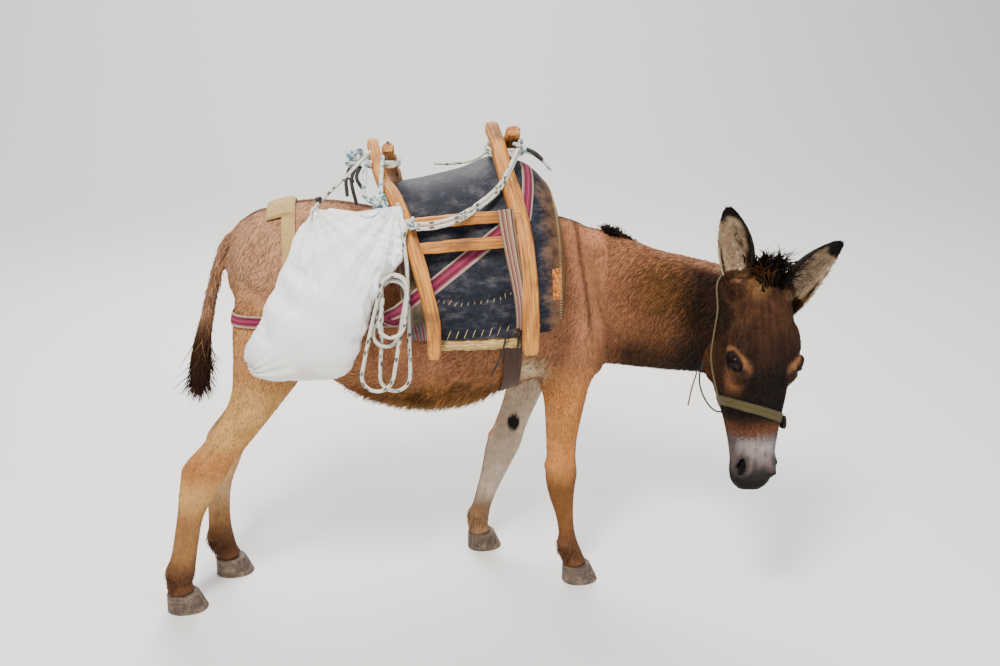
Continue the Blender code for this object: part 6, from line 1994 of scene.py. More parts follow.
def fore_leg_tone(tone, points, loose, inner):
    """Orange forearm, pale inside, darker reddish cannon and pastern, and the dark chestnut."""
    z = points[:, 2]
    far = points[:, 1] > 0.02
    pale = inner * smooth_step(0.12, 0.22, z)
    chestnut = np.linalg.norm((points - CHESTNUT_PLACE) / CHESTNUT_SIZE, axis=1)
    return paint(
        tone,
        (smooth_step(0.72, 0.58, z), 178, 118, 66),
        (0.85 * smooth_step(0.40, 0.30, z + 0.01 * loose), 98, 64, 34),
        (0.75 * smooth_step(0.20, 0.12, z + 0.01 * loose), 84, 56, 38),
        (0.85 * pale * far, 188, 172, 152),
        (0.45 * pale * ~far, 170, 140, 104),
        (0.8 * smooth_step(0.16, 0.10, z) * far, 150, 116, 84),
        (smooth_step(1.1, 0.8, chestnut), 26, 22, 20),
    )


def hind_leg_tone(tone, points, loose, inner):
    """Golden gaskin, reddish hock, brown cannon, dark pastern."""
    z = points[:, 2]
    return paint(
        tone,
        (smooth_step(0.74, 0.60, z + 0.01 * loose), 188, 142, 84),
        (0.8 * near(z, 0.44, 0.09), 166, 106, 62),
        (0.85 * smooth_step(0.36, 0.27, z + 0.01 * loose), 132, 92, 56),
        (0.85 * smooth_step(0.19, 0.10, z + 0.01 * loose), 74, 46, 32),
        (0.55 * inner * smooth_step(0.16, 0.28, z), 176, 148, 112),
    )


def side_of(eye, way):
    """From -1 on the outer side of an eye's opening to 1 towards the middle of the face."""
    return np.clip(-way * eye[:, 1] / 0.012, -1, 1)


def eye_tone(tone, points, way, s, side, out, loose):
    """A tan ring round one eye, with its dark lids and corner."""
    eye = local_to(eye_frame(way), points)
    ring = np.sqrt((eye[:, 0] / 0.038) ** 2 + (eye[:, 1] / 0.027) ** 2) + 0.05 * loose
    close = smooth_step(-0.03, 0.0, eye[:, 2])
    below = near(s, 0.257, 0.048) * near(out, -0.032, 0.042) * (side * way > 0)
    inner_side = smooth_step(-0.8, 0.3, (side_of(eye, way) + 0.3 * eye[:, 0] / 0.04))
    ratio = lid_ratio(eye[:, 0], eye[:, 1], 0.0062)
    corner = np.hypot((eye[:, 0] - 0.034) / 1.5, eye[:, 1]) / 0.011
    return paint(
        tone,
        (0.80 * below, 134, 86, 56),
        (0.85 * near(ring, 0.98, 0.36) * close * inner_side, 136, 92, 60),
        (0.97 * smooth_step(1.18, 0.92, ratio) * close, 16, 11, 9),
        (0.90 * smooth_step(1.1, 0.5, corner) * close, 12, 9, 7),
    )


def head_tone(points):
    """Dark forehead and face, tan rings round the eyes, pale muzzle with dark lips and nostrils."""
    local = in_head(points)
    s, side, out = local.T
    loose = wobble(points, 34, 4)
    streak = wobble(local * (0.5, 2.2, 2.2), 120, 14)
    tone = paint(
        plain_tone(points, 44, 27, 17),
        (0.8 * near(s, 0.08, 0.10) * smooth_step(-0.10, 0.0, out), 66, 40, 25),
        (0.7 * near(s, 0.02, 0.05) * near(side, -0.035, 0.04), 132, 94, 54),
        (0.8 * smooth_step(-0.08, -0.16, out + 0.01 * loose), 76, 48, 30),
        (0.6 * smooth_step(-0.19, -0.23, out), 44, 30, 20),
        (0.9 * near(s + 0.012 * loose, 0.265, 0.12) * smooth_step(0.085, 0.040, np.abs(side)), 9, 7, 6),
        (0.9 * near(s, 0.325, 0.055) * smooth_step(-0.15, -0.05, out), 11, 8, 6),
    )
    tone = tone * (1 + 0.28 * streak[:, None])
    for way in (-1, 1):
        tone = eye_tone(tone, points, way, s, side, out, loose)
    pale = smooth_step(0.388, 0.416, s + 0.006 * loose)
    dark = smooth_step(0.456, 0.508, s + 0.006 * loose + 0.25 * np.maximum(0, -0.070 - out))
    tone = paint(
        tone,
        (0.70 * near(s + 0.006 * loose, 0.386, 0.040), 104, 62, 42),
        (pale, 112, 98, 94),
        (0.7 * pale * smooth_step(0.030, 0.058, np.abs(side)), 62, 52, 50),
        (0.6 * pale * near(s, 0.428, 0.04) * smooth_step(-0.06, -0.02, out), 150, 140, 138),
        (0.6 * pale * smooth_step(0.1, 0.9, wobble(points, 150, 15)), 70, 63, 66),
        (0.96 * dark, 28, 26, 25),
        (0.8 * smooth_step(0.500, 0.530, s), 9, 9, 9),
    )
    for way in (-1, 1):
        nostril, reach = nostril_reach(points, way)
        close = np.abs(nostril[:, 2]) < 0.035
        tone = paint(tone, (0.80 * smooth_step(2.1, 1.2, reach) * close, 52, 47, 47),
                     (0.98 * smooth_step(1.20, 0.90, reach) * close, 5, 4, 4))
    gap, _, fade = mouth_gap(local)
    line = smooth_step(0.0050, 0.0015, np.abs(gap)) * fade * smooth_step(0.41, 0.44, s)
    return tint(tone, 0.9 * line, 8, 7, 7)


def ear_tone(name, points, normals):
    """Dark backs, rims and tips; creamy insides with darker middles."""
    root, tip, across, facing, half_width, _ = ear_axes(name)
    axis = (tip - root) / np.linalg.norm(tip - root)
    gap = points - root
    share = gap @ axis / np.linalg.norm(tip - root)
    wide = np.interp(share, [row[0] for row in EAR_PROFILE], [row[1] for row in EAR_PROFILE]) * half_width
    aside = gap @ across / np.maximum(wide, 1e-3)
    loose = wobble(points, 90, 8)
    streak = wobble(points, 240, 9)
    other = ear_axes("ear_left" if name == "ear_right" else "ear_right")[0]
    medial = np.interp(share, (0.20, 0.45, 0.75), (0.05, 0.45, 0.60))
    edge = np.where(aside * ((other - root) @ across) > 0, medial, 0.92)
    inside = smooth_step(-0.02, 0.32, normals @ facing)
    inside = inside * smooth_step(edge + 0.14, edge - 0.06, np.abs(aside) + 0.05 * loose)
    inside = inside * smooth_step(0.84, 0.72, share + 0.03 * loose)
    middle = smooth_step(0.38, 0.05, np.abs(aside + 0.06)) * near(share, 0.50, 0.36)
    return paint(
        plain_tone(points, 26, 19, 14),
        (0.75 * smooth_step(0.30, 0.05, share), 146, 106, 68),
        (0.95 * inside, 170, 144, 116),
        (0.95 * inside * middle * smooth_step(-0.8, 0.0, streak), 26, 21, 15),
        (0.45 * inside * smooth_step(0.5, 1.1, streak), 222, 206, 178),
        (0.95 * smooth_step(0.76, 0.86, share + 0.02 * loose), 9, 7, 6),
    )


def set_colours(mesh, colours):
    """Store a colour for each point of a mesh."""
    layer = mesh.color_attributes.new("markings", "FLOAT_COLOR", "POINT")
    values = np.concatenate([colours, np.ones((len(colours), 1))], axis=1)
    layer.data.foreach_set("color", np.ascontiguousarray(values, np.float32).ravel())


# Coat: closed tapered tufts that follow the lie of the hair

COAT_TUFTS = 112000
PIECE_TRIANGLES = 190000
PATCH = 0.003
DOWN = np.array((0.0, 0.0, -1.0))
COAT_DROOP = 0.04


def sample_skin(mesh, weights, count, random):
    """Places spread over a mesh by area times a weight for each face, with their normals."""
    mesh.calc_loop_triangles()
    corners = np.empty(len(mesh.loop_triangles) * 3, np.int32)
    mesh.loop_triangles.foreach_get("vertices", corners)
    corners = corners.reshape(-1, 3)
    points, normals = points_of(mesh), points_of(mesh, "normal")
    a, b, c = (points[corners[:, k]] for k in range(3))
    areas = np.linalg.norm(np.cross(b - a, c - a), axis=1) / 2
    share = areas * weights[corners].mean(axis=1)
    edges = np.cumsum(share)
    spots = (np.arange(count) + random.uniform(0, 1, count)) / count * edges[-1]
    chosen = np.minimum(np.searchsorted(edges, spots), len(corners) - 1)
    r1, r2 = np.sqrt(random.uniform(size=count)), random.uniform(size=count)
    mix = np.stack([1 - r1, r1 * (1 - r2), r1 * r2], axis=1)
    places = np.einsum("nk,nkd->nd", mix, points[corners[chosen]])
    outs = np.einsum("nk,nkd->nd", mix, normals[corners[chosen]])
    return places, outs / np.linalg.norm(outs, axis=1)[:, None]


def lie_of_hair(points, normals, part, along):
    """The way the hair runs at each place, along the skin."""
    ways = np.tile(np.array((-0.72, 0.0, -0.69)), (len(points), 1))
    x, _, z = points.T
    torso = is_part(part, "torso")
    rump = smooth_step(-0.05, -0.25, x)[:, None]
    ways = ways * (1 - rump) + np.array((-0.45, 0.0, -0.89)) * rump
    chest = smooth_step(0.46, 0.58, x)[:, None]
    ways = np.where(torso[:, None], ways * (1 - chest) + np.array((-0.10, 0.0, -0.99)) * chest, ways)
    flank = (near(x, -0.10, 0.10) * near(z, 0.74, 0.14))[:, None]
    ways = ways * (1 - flank) + np.array((-0.20, 0.0, 0.60)) * flank
    neck = is_part(part, "neck")
    axis = AXES["neck"]
    step = np.gradient(axis[:, :3], axis=0)
    step /= np.linalg.norm(step, axis=1)[:, None]
    back = -step[np.clip((along * (len(axis) - 1)).astype(int), 0, len(axis) - 1)]
    ways = np.where(neck[:, None], back * 0.55 + DOWN * 0.80, ways)
    head = is_part(part, "head")
    local = in_head(points)
    down = np.stack([np.full(len(points), 1.0), 0.25 * np.sign(local[:, 1]) * smooth_step(0, 0.05, np.abs(local[:, 1])),
                     -0.25 * smooth_step(0.0, -0.1, local[:, 2])], axis=1)
    brow = smooth_step(0.10, 0.02, local[:, 0])[:, None]
    down = down * (1 - brow) + np.array((0.8, 0.0, 0.2)) * brow
    ways = np.where(head[:, None], down @ HEAD_TURN.T, ways)
    for start in ("fore", "hind"):
        ways = np.where(is_part(part, start)[:, None], np.array((-0.12, 0.0, -1.0)), ways)
    ways = np.where(is_part(part, "tail")[:, None], np.array((-0.12, 0.0, -1.0)), ways)
    for name in EARS:
        root, tip = ear_axes(name)[:2]
        ways = np.where(is_part(part, name)[:, None], (tip - root) / np.linalg.norm(tip - root), ways)
    swirl = wobble(points, 30, 12)[:, None] * 0.25
    ways = ways + np.cross(normals, ways) * swirl
    return flat_ways(ways, normals)


def flat_ways(ways, normals):
    """Ways turned to run along the skin."""
    ways = ways - normals * (ways * normals).sum(1)[:, None]
    return ways / np.maximum(np.linalg.norm(ways, axis=1), 1e-6)[:, None]


def hair_sizes(points, part, along):
    """Length, width and lift of the coat's tufts at each place."""
    x, _, z = points.T
    length = np.full(len(points), 0.0145)
    width = np.full(len(points), 0.0030)
    lift = np.full(len(points), 0.16)
    belly = smooth_step(0.68, 0.60, z) * near(x, 0.12, 0.46) * is_part(part, "torso")
    length = length + 0.020 * belly
    lift = lift + 0.25 * belly
    neck = is_part(part, "neck")
    shaggy = near(x, 0.76, 0.13) * near(z, 0.88, 0.12) * neck
    length = np.where(neck, 0.0160 + 0.012 * shaggy, length)
    lift = np.where(neck, 0.22 + 0.15 * shaggy, lift)
    leg = is_part(part, "fore") | is_part(part, "hind")
    low = smooth_step(0.62, 0.36, z)
    length = np.where(leg, 0.0125 - 0.0045 * low + 0.010 * near(z, 0.105, 0.035), length)
    width = np.where(leg, 0.0026 - 0.0006 * low, width)
    lift = np.where(leg, 0.14 + 0.10 * near(z, 0.105, 0.035), lift)
    head = is_part(part, "head")
    local = in_head(points)
    muzzle = smooth_step(0.39, 0.45, local[:, 0])
    jaw = smooth_step(-0.10, -0.20, local[:, 2])
    length = np.where(head, 0.0105 - 0.0062 * muzzle + 0.0070 * jaw * (1 - muzzle), length)
    width = np.where(head, 0.0019 - 0.0006 * muzzle, width)
    lift = np.where(head, 0.15 + 0.10 * jaw, lift)
    for way in (-1, 1):
        eye = local_to(eye_frame(way), points)
        reach = np.sqrt((eye[:, 0] / 0.040) ** 2 + (eye[:, 1] / 0.030) ** 2)
        close = smooth_step(1.5, 0.8, reach) * (eye[:, 2] > -0.02)
        length = length * (1 - 0.45 * close * head)
        width = width * (1 - 0.30 * close * head)
    ear = is_part(part, "ear")
    length = np.where(ear, 0.0075, length)
    width = np.where(ear, 0.0018, width)
    lift = np.where(ear, 0.10, lift)
    tail = is_part(part, "tail")
    length = np.where(tail, 0.016 + 0.020 * smooth_step(0.3, 0.7, along), length)
    lift = np.where(tail, 0.14, lift)
    return length, width, lift


def grow(roots, normals, ways, lengths, widths, lifts, droop, bend, shades, sections):
    """Tufts as closed tapered spikes: their points, triangles and colours."""
    count = len(roots)
    sides = np.cross(ways, normals)
    fulls = np.interp(np.linspace(0, 0.86, sections), (0.0, 0.35, 0.7, 1.0), (0.85, 1.0, 0.70, 0.10))
    steps = np.linspace(0.0, 0.86, sections)
    points = np.empty((count, sections * 3 + 1, 3))
    colours = np.empty((count, sections * 3 + 1, 3))
    dark, light = shades
    for number, t in enumerate(np.append(steps, 1.0)):
        centre = roots + ways * (lengths * t * np.cos(lifts))[:, None]
        centre = centre + normals * (lengths * np.sin(lifts) * (t - 0.45 * t * t))[:, None]
        centre = centre + DOWN * (droop * lengths * t * t)[:, None] + sides * (bend * lengths * t * t)[:, None]
        tone = dark * (1 - t) + light * t
        if number == sections:
            points[:, -1] = centre
            colours[:, -1] = tone
            break
        if number == 0:
            centre = centre - normals * 0.0016
        half = (widths * fulls[number] / 2)[:, None]
        points[:, number * 3] = centre - sides * half
        points[:, number * 3 + 1] = centre + sides * half
        points[:, number * 3 + 2] = centre + normals * half * 0.75
        colours[:, number * 3:number * 3 + 3] = tone[:, None]
    faces = [(0, 1, 2)]
    for ring in range(sections - 1):
        low, high = ring * 3, ring * 3 + 3
        for a, b in ((0, 1), (1, 2), (2, 0)):
            faces += [(low + a, high + b, low + b), (low + a, high + a, high + b)]
    last = (sections - 1) * 3
    faces += [(last, last + 3, last + 1), (last + 1, last + 3, last + 2), (last + 2, last + 3, last)]
    faces = np.array(faces)[:, ::-1]
    triangles = (np.arange(count)[:, None, None] * (sections * 3 + 1) + faces[None]).reshape(-1, 3)
    return points, triangles, colours


def tuft_object(name, points, triangles, colours, root_uv, random):
    """One piece of the coat, each tuft on its own small patch of the body's unwrap."""
    count, size = points.shape[:2]
    mesh = bpy.data.meshes.new(name)
    mesh.vertices.add(count * size)
    mesh.vertices.foreach_set("co", np.ascontiguousarray(points, np.float32).ravel())
    mesh.loops.add(len(triangles) * 3)
    mesh.loops.foreach_set("vertex_index", triangles.astype(np.int32).ravel())
    mesh.polygons.add(len(triangles))
    mesh.polygons.foreach_set("loop_start", (np.arange(len(triangles)) * 3).astype(np.int32))
    per = len(triangles) // count
    spread = (random.uniform(-0.5, 0.5, (count, per, 3, 2)) * PATCH + root_uv[:, None, None]).reshape(-1, 2)
    layer = mesh.uv_layers.new(name="OFBake")
    layer.data.foreach_set("uv", spread.astype(np.float32).ravel())
    mesh.update(calc_edges=True)
    set_colours(mesh, colours.reshape(-1, 3))
    made = new_object(name, mesh)
    made.data.materials.append(COAT_LOOK)
    return made


def cover_check(trees, roots, normals, reach):
    """True where a tuft's root lies under a piece of tack."""
    covered = np.zeros(len(roots), bool)
    for number, (root, out) in enumerate(zip(roots, normals)):
        origin, way = Vector(root), Vector(out)
        for tree in trees:
            if tree.ray_cast(origin, way, reach)[0] is not None:
                covered[number] = True
                break
    return covered


def hand_over_coat(batches, random):
    """Split the tufts into pieces of a fair size and place each one."""
    number = 0
    for points, triangles, colours, uv in batches:
        per = len(triangles) // len(points)
        room = PIECE_TRIANGLES // per
        for start in range(0, len(points), room):
            stop = min(start + room, len(points))
            number += 1
            part_triangles = triangles[start * per:stop * per] - start * points.shape[1]
            made = tuft_object("coat_%02d" % number, points[start:stop], part_triangles, colours[start:stop],
                               uv[start:stop], random)
            place_piece(made)


def shades_of(tone, random, dark=0.50, light=1.22):
    """Root and tip colours of tufts, each a little off its neighbours."""
    jitter = np.exp(0.24 * random.normal(size=(len(tone), 1)))
    warm = 1 + 0.05 * random.normal(size=(len(tone), 1)) * np.array((1.0, 0.0, -1.0))
    base = np.clip(tone * jitter * warm, 0.003, 0.95)
    return np.clip(base * dark, 0.002, 0.95), np.clip(base * light, 0.003, 0.97)


def make_coat(skin, trees):
    """Short coat over the whole skin, then the long hair."""
    random = np.random.default_rng(17)
    mesh = skin.data
    points = points_of(mesh)
    part, along, turn = locate(points)
    weights = np.ones(len(points))
    for start, weight in (("head", 3.6), ("ear", 2.4), ("fore", 1.5), ("hind", 1.5), ("neck", 1.1), ("tail", 1.6)):
        weights[is_part(part, start)] = weight
    weights[points[:, 2] < HOOF_TOP - 0.002] = 0.0
    under = (points[:, 0] > 0.06) & (points[:, 0] < 0.42) & (points[:, 2] > 0.84)
    weights[under] *= 0.02
    weights = bare_places(points, weights)
    roots, normals = sample_skin(mesh, weights, COAT_TUFTS, random)
    part, along, turn = locate(roots)
    lengths, widths, lifts = hair_sizes(roots, part, along)
    keep = ~cover_check(trees, roots, normals, 0.022)
    roots, normals, part, along, turn = (v[keep] for v in (roots, normals, part, along, turn))
    lengths, widths, lifts = (v[keep] for v in (lengths, widths, lifts))
    tone = markings(roots, normals, part, along)
    ways = lie_of_hair(roots, normals, part, along)
    ways = flat_ways(ways + random.normal(size=ways.shape) * 0.16, normals)
    count = len(roots)
    lengths = lengths * random.uniform(0.75, 1.2, count)
    widths = widths * random.uniform(0.8, 1.2, count) * 1.0
    lifts = lifts + random.normal(size=count) * 0.05
    bend = random.normal(size=count) * 0.16
    shades = shades_of(tone, random)
    uv = unwrap(part, along, turn)
    batches = [(*grow(roots, normals, ways, lengths, widths, lifts, COAT_DROOP, bend, shades, 2), uv)]
    batches += long_hair(mesh, random)
    hand_over_coat(batches, random)


def bare_places(points, weights):
    """Leave the eyes' openings, the nostrils and the line of the mouth bare."""
    local = in_head(points)
    for side in (-1, 1):
        eye = local_to(eye_frame(side), points)
        inside = (lid_ratio(eye[:, 0], eye[:, 1], 0.0016) < 1.0) & (eye[:, 2] > -0.02) & (eye[:, 2] < 0.06)
        weights[inside] = 0.0
        nostril, reach = nostril_reach(points, side)
        weights[(reach < 1.1) & (np.abs(nostril[:, 2]) < 0.03)] = 0.0
    gap, _, fade = mouth_gap(local)
    weights[(np.abs(gap) < 0.003) & (fade > 0.5) & (local[:, 0] > 0.43) & (points[:, 0] > HEAD_FROM)] = 0.0
    return weights


def tail_place(share):
    """Places along the middle of the tail, from its root at 0 to its tip at 1."""
    rows = AXES["tail"]
    return read_off(share, np.linspace(0, 1, len(rows)), rows)


def long_hair(mesh, random):
    """Belly fringe, switch of the tail, mane tuft, forelock, hair of the ears and fetlocks."""
    points = points_of(mesh)
    normals = points_of(mesh, "normal")
    part, along, _ = locate(points)
    x, y, z = points.T
    local = in_head(points)
    share = 1.0
    zones = []
    belly = smooth_step(0.64, 0.58, z) * near(x, 0.12, 0.42) * is_part(part, "torso")
    zones.append(("belly", belly, int(3000 * share), 0.034, 0.0042, 0.30, 0.55))
    dock = smooth_step(0.02, 0.10, along) * is_part(part, "tail")
    zones.append(("dock", dock, int(1500 * share), 0.050, 0.0040, 0.12, 0.0))
    switch = smooth_step(0.50, 0.60, along) * is_part(part, "tail")
    zones.append(("switch", switch, int(1700 * share), 0.150, 0.0046, 0.03, 0.0))
    tuft = near(x, 0.650, 0.085) * smooth_step(0.022, 0.006, np.abs(y + 0.012)) * (normals[:, 2] > 0.4)
    zones.append(("mane", tuft * is_part(part, "neck"), int(420 * share), 0.036, 0.0044, 1.05, 0.0))
    lock = smooth_step(0.034, 0.008, local[:, 0]) * smooth_step(0.054, 0.030, np.abs(local[:, 1] - 0.020))
    lock = lock * smooth_step(-0.10, -0.04, local[:, 2]) * is_part(part, "head")
    zones.append(("forelock", lock, int(430 * share), 0.108, 0.0062, 1.25, 0.0))
    for name in EARS:
        root, tip, _, facing, *_ = ear_axes(name)
        reach = (points - root) @ ((tip - root) / np.linalg.norm(tip - root) ** 2)
        inner = smooth_step(0.25, 0.6, normals @ facing) * smooth_step(0.05, 0.2, reach) * smooth_step(0.85, 0.6, reach)
        zones.append((name, inner * is_part(part, name), int(620 * share), 0.020, 0.0016, 0.65, 0.0))
    fetlock = near(z, 0.098, 0.030) * smooth_step(0.0, -0.5, normals[:, 0])
    fetlock = fetlock * (is_part(part, "fore") | is_part(part, "hind"))
    zones.append(("fetlock", fetlock, int(700 * share), 0.022, 0.0026, 0.35, 0.45))
    batches = []
    for name, weight, count, length, width, lift, droop in zones:
        if weight.max() <= 0:
            print("no place for", name)
            continue
        roots, outs = sample_skin(mesh, weight, count, random)
        where, far, round_turn = locate(roots)
        tone = markings(roots, outs, where, far)
        ways = lie_of_hair(roots, outs, where, far)
        lengths = np.full(count, length) * random.uniform(0.6, 1.15, count)
        if name == "forelock":
            fan = in_head(roots)
            low = smooth_step(0.0, -0.04, fan[:, 1] + 0.01 * wobble(roots, 90, 24)) * smooth_step(-0.05, 0.0, fan[:, 2])
            tone = tint(tone, np.full(count, 0.95), 13, 10, 8)
            tone = tint(tone, 0.8 * low, 96, 62, 34)
            lean = fan[:, 1] * 7 + 0.38 * wobble(roots, 85, 21)
            ways = np.stack([np.full(count, -1.0), lean, 0.30 + 0.30 * wobble(roots, 85, 22)], axis=1) @ HEAD_TURN.T
            outs = ways / np.linalg.norm(ways, axis=1)[:, None]
            lengths = lengths * (1.0 - 0.60 * low) * np.exp(0.22 * wobble(roots, 110, 23))
            ways = flat_ways(lie_of_hair(roots, outs, where, far) + random.normal(size=outs.shape) * 0.4, outs)
        if name == "mane":
            tone = tint(tone, np.full(count, 0.9), 26, 20, 16)
            outs = outs * 0 + np.array((-0.05, 0.0, 1.0))
            ways = flat_ways(np.array((-0.6, 0.0, 0.0)) + random.normal(size=outs.shape) * 0.5, outs)
            lengths = lengths * (0.45 + 0.75 * near(roots[:, 0], 0.650, 0.07))
        if name in ("dock", "switch"):
            reach = 0.10 if name == "dock" else 0.22
            aim = tail_place(np.minimum(far + reach, 1.0)) + DOWN * (0.016 if name == "switch" else 0.0)
            ways = aim - roots + random.normal(size=roots.shape) * 0.003
            lengths = np.minimum(lengths, np.linalg.norm(ways, axis=1) * 1.02)
        if name == "switch":
            lengths = np.linalg.norm(ways, axis=1) * random.uniform(0.55, 1.04, count)
            tone = tint(tone, smooth_step(0.5, 0.6, far) * 0.6, 30, 21, 16)
        if name in EARS:
            tone = tint(tone, 0.25 * smooth_step(0.05, 0.16, tone.mean(axis=1)), 190, 168, 138)
        if name in ("dock", "switch"):
            ways = ways / np.linalg.norm(ways, axis=1)[:, None]
        else:
            ways = flat_ways(ways + random.normal(size=ways.shape) * 0.22, outs)
        shades = shades_of(tone, random, 0.6, 1.30)
        widths = np.full(count, width) * random.uniform(0.7, 1.2, count)
        lifts = lift + random.normal(size=count) * 0.12
        bend = random.normal(size=count) * 0.22
        grown = grow(roots, outs, ways, lengths, widths, lifts, droop, bend, shades, 4)
        batches.append((*grown, unwrap(where, far, round_turn)))
    return merged(batches)


def merged(batches):
    """Batches of tufts of one build put together."""
    points = np.concatenate([batch[0] for batch in batches])
    offset, triangles = 0, []
    for batch in batches:
        triangles.append(batch[1] + offset)
        offset += batch[0].shape[0] * batch[0].shape[1]
    colours = np.concatenate([batch[2] for batch in batches])
    uv = np.concatenate([batch[3] for batch in batches])
    return [(points, np.concatenate(triangles), colours, uv)]


# Camera, light and floor

CAMERA_PLACE = Vector((-0.047, -2.770, 1.660))
CAMERA_PITCH = 18.3
CAMERA_YAW = 8.0
CAMERA_LENS = 37.8


def make_camera():
    data = bpy.data.cameras.new("camera")
    data.lens = CAMERA_LENS
    data.sensor_width = 36.0
    made = bpy.data.objects.new("camera", data)
    made.location = CAMERA_PLACE + SHIFT
    made.rotation_euler = (math.radians(90 - CAMERA_PITCH), 0.0, math.radians(-CAMERA_YAW))
    bpy.context.scene.collection.objects.link(made)
    bpy.context.scene.camera = made


def make_stage():
    """A pale floor that sweeps up behind, a pale world and soft lamps."""
    profile = [(-30.0, 0.0), (5.0, 0.0)]
    profile += [(5.0 + 4.0 * math.sin(a), 4.0 - 4.0 * math.cos(a)) for a in np.radians(np.linspace(5, 90, 18))]
    profile.append((9.0, 14.0))
    points = [(x, y, z) for y, z in profile for x in (-30.0, 30.0)]
    faces = [(2 * i, 2 * i + 1, 2 * i + 3, 2 * i + 2) for i in range(len(profile) - 1)]
    floor = mesh_object("floor", points, faces, False)
    floor.data.shade_smooth()
    floor.data.materials.append(plain_material("floor", (0.80, 0.79, 0.77), 0.9))
    world = bpy.data.worlds.new("studio")
    world.use_nodes = True
    world.node_tree.nodes["Background"].inputs["Color"].default_value = (0.90, 0.93, 1.0, 1.0)
    world.node_tree.nodes["Background"].inputs["Strength"].default_value = 0.62
    bpy.context.scene.world = world
    for name, place, size, power, tint in LAMPS:
        data = bpy.data.lights.new(name, "AREA")
        data.shape = "DISK"
        data.size = size
        data.energy = power
        data.color = tint
        lamp = bpy.data.objects.new(name, data)
        lamp.location = place
        aim = Vector((0.0, 7.0, 1.5) if name == "sweep" else (0.0, 0.0, 0.7)) - Vector(place)
        lamp.rotation_euler = aim.to_track_quat("-Z", "Y").to_euler()
        bpy.context.scene.collection.objects.link(lamp)


# Lamps: name, place, size, power and tint
LAMPS = [
    ("key", (-1.2, -2.6, 4.2), 1.3, 330, (1.0, 0.95, 0.87)),
    ("fill", (3.2, -2.6, 2.0), 2.6, 70, (0.95, 0.97, 1.0)),
    ("back", (-0.6, 3.2, 3.4), 2.2, 150, (1.0, 0.98, 0.94)),
    ("sweep", (0.0, 4.2, 7.5), 5.0, 620, (1.0, 0.99, 0.97)),
]


# Materials

def from_photo(red, green, blue):
    """A colour in shader values from display values up to 255."""
    values = np.array((red, green, blue), float) / 255
    return tuple(np.where(values <= 0.04045, values / 12.92, ((values + 0.055) / 1.055) ** 2.4))


class Look:
    """A material whose nodes are added one after another."""

    def __init__(self, name, roughness=0.8):
        self.material = bpy.data.materials.new(name)
        self.material.use_nodes = True
        self.tree = self.material.node_tree
        self.shader = self.tree.nodes["Principled BSDF"]
        self.shader.inputs["Roughness"].default_value = roughness

    def add(self, kind, **settings):
        node = self.tree.nodes.new("ShaderNode" + kind)
        for key, value in settings.items():
            setattr(node, key, value)
        return node

    def link(self, source, target):
        self.tree.links.new(source, target)

    def feed(self, node, **inputs):
        """Set a node's inputs: numbers and colours as they are, sockets by a link."""
        for key, value in inputs.items():
            socket = node.inputs[key.replace("_", " ")] if isinstance(key, str) else node.inputs[key]
            if isinstance(value, bpy.types.NodeSocket):
                self.link(value, socket)
            else:
                socket.default_value = value
        return node

    def place(self, scale=(1.0, 1.0, 1.0), uv=None):
        """Object places, or a UV map's, stretched along each axis."""
        if uv:
            source = self.add("UVMap", uv_map=uv).outputs["UV"]
        else:
            source = self.add("TexCoord").outputs["Object"]
        mapping = self.add("Mapping")
        mapping.inputs["Scale"].default_value = scale
        self.link(source, mapping.inputs["Vector"])
        return mapping.outputs["Vector"]

    def noise(self, vector, scale, detail=4.0, rough=0.55, distortion=0.0):
        node = self.add("TexNoise")
        self.feed(node, Vector=vector, Scale=scale, Detail=detail, Roughness=rough, Distortion=distortion)
        return node.outputs["Fac"]

    def voronoi(self, vector, scale, feature="F1"):
        node = self.add("TexVoronoi", feature=feature)
        self.feed(node, Vector=vector, Scale=scale)
        return node.outputs["Distance"]

    def wave(self, vector, scale, distortion=0.0, direction="X", detail_scale=1.0):
        node = self.add("TexWave", bands_direction=direction)
        self.feed(node, Vector=vector, Scale=scale, Distortion=distortion)
        node.inputs["Detail Scale"].default_value = detail_scale
        return node.outputs["Fac"]

    def ramp(self, value, stops, constant=False):
        """Colours or greys at places from 0 to 1."""
        node = self.add("ValToRGB")
        node.color_ramp.interpolation = "CONSTANT" if constant else "LINEAR"
        elements = node.color_ramp.elements
        while len(elements) < len(stops):
            elements.new(0.5)
        for element, (spot, colour) in zip(elements, stops):
            element.position = spot
            element.color = (colour,) * 3 + (1.0,) if isinstance(colour, float) else (*colour, 1.0)
        self.link(value, node.inputs["Fac"])
        return node.outputs["Color"]

    def mix(self, share, first, second, how="MIX"):
        node = self.add("Mix", data_type="RGBA", blend_type=how)
        for socket, value in ((node.inputs[0], share), (node.inputs[6], first), (node.inputs[7], second)):
            if isinstance(value, bpy.types.NodeSocket):
                self.link(value, socket)
            elif isinstance(value, (int, float)):
                socket.default_value = value
            else:
                socket.default_value = (*value, 1.0)
        return node.outputs[2]

    def maths(self, operation, first, second=0.0):
        node = self.add("Math", operation=operation)
        for socket, value in zip(node.inputs, (first, second)):
            if isinstance(value, bpy.types.NodeSocket):
                self.link(value, socket)
            else:
                socket.default_value = value
        return node.outputs[0]

    def axis(self, vector, name):
        node = self.add("SeparateXYZ")
        self.link(vector, node.inputs[0])
        return node.outputs[name]

    def done(self, colour=None, roughness=None, height=None, strength=0.3, distance=0.001):
        """Join colour, roughness and bump to the shader."""
        if colour is not None:
            self.link(colour, self.shader.inputs["Base Color"])
        if roughness is not None:
            self.link(roughness, self.shader.inputs["Roughness"])
        if height is not None:
            bump = self.add("Bump")
            bump.inputs["Strength"].default_value = strength
            bump.inputs["Distance"].default_value = distance
            self.link(height, bump.inputs["Height"])
            self.link(bump.outputs["Normal"], self.shader.inputs["Normal"])
        return self.material


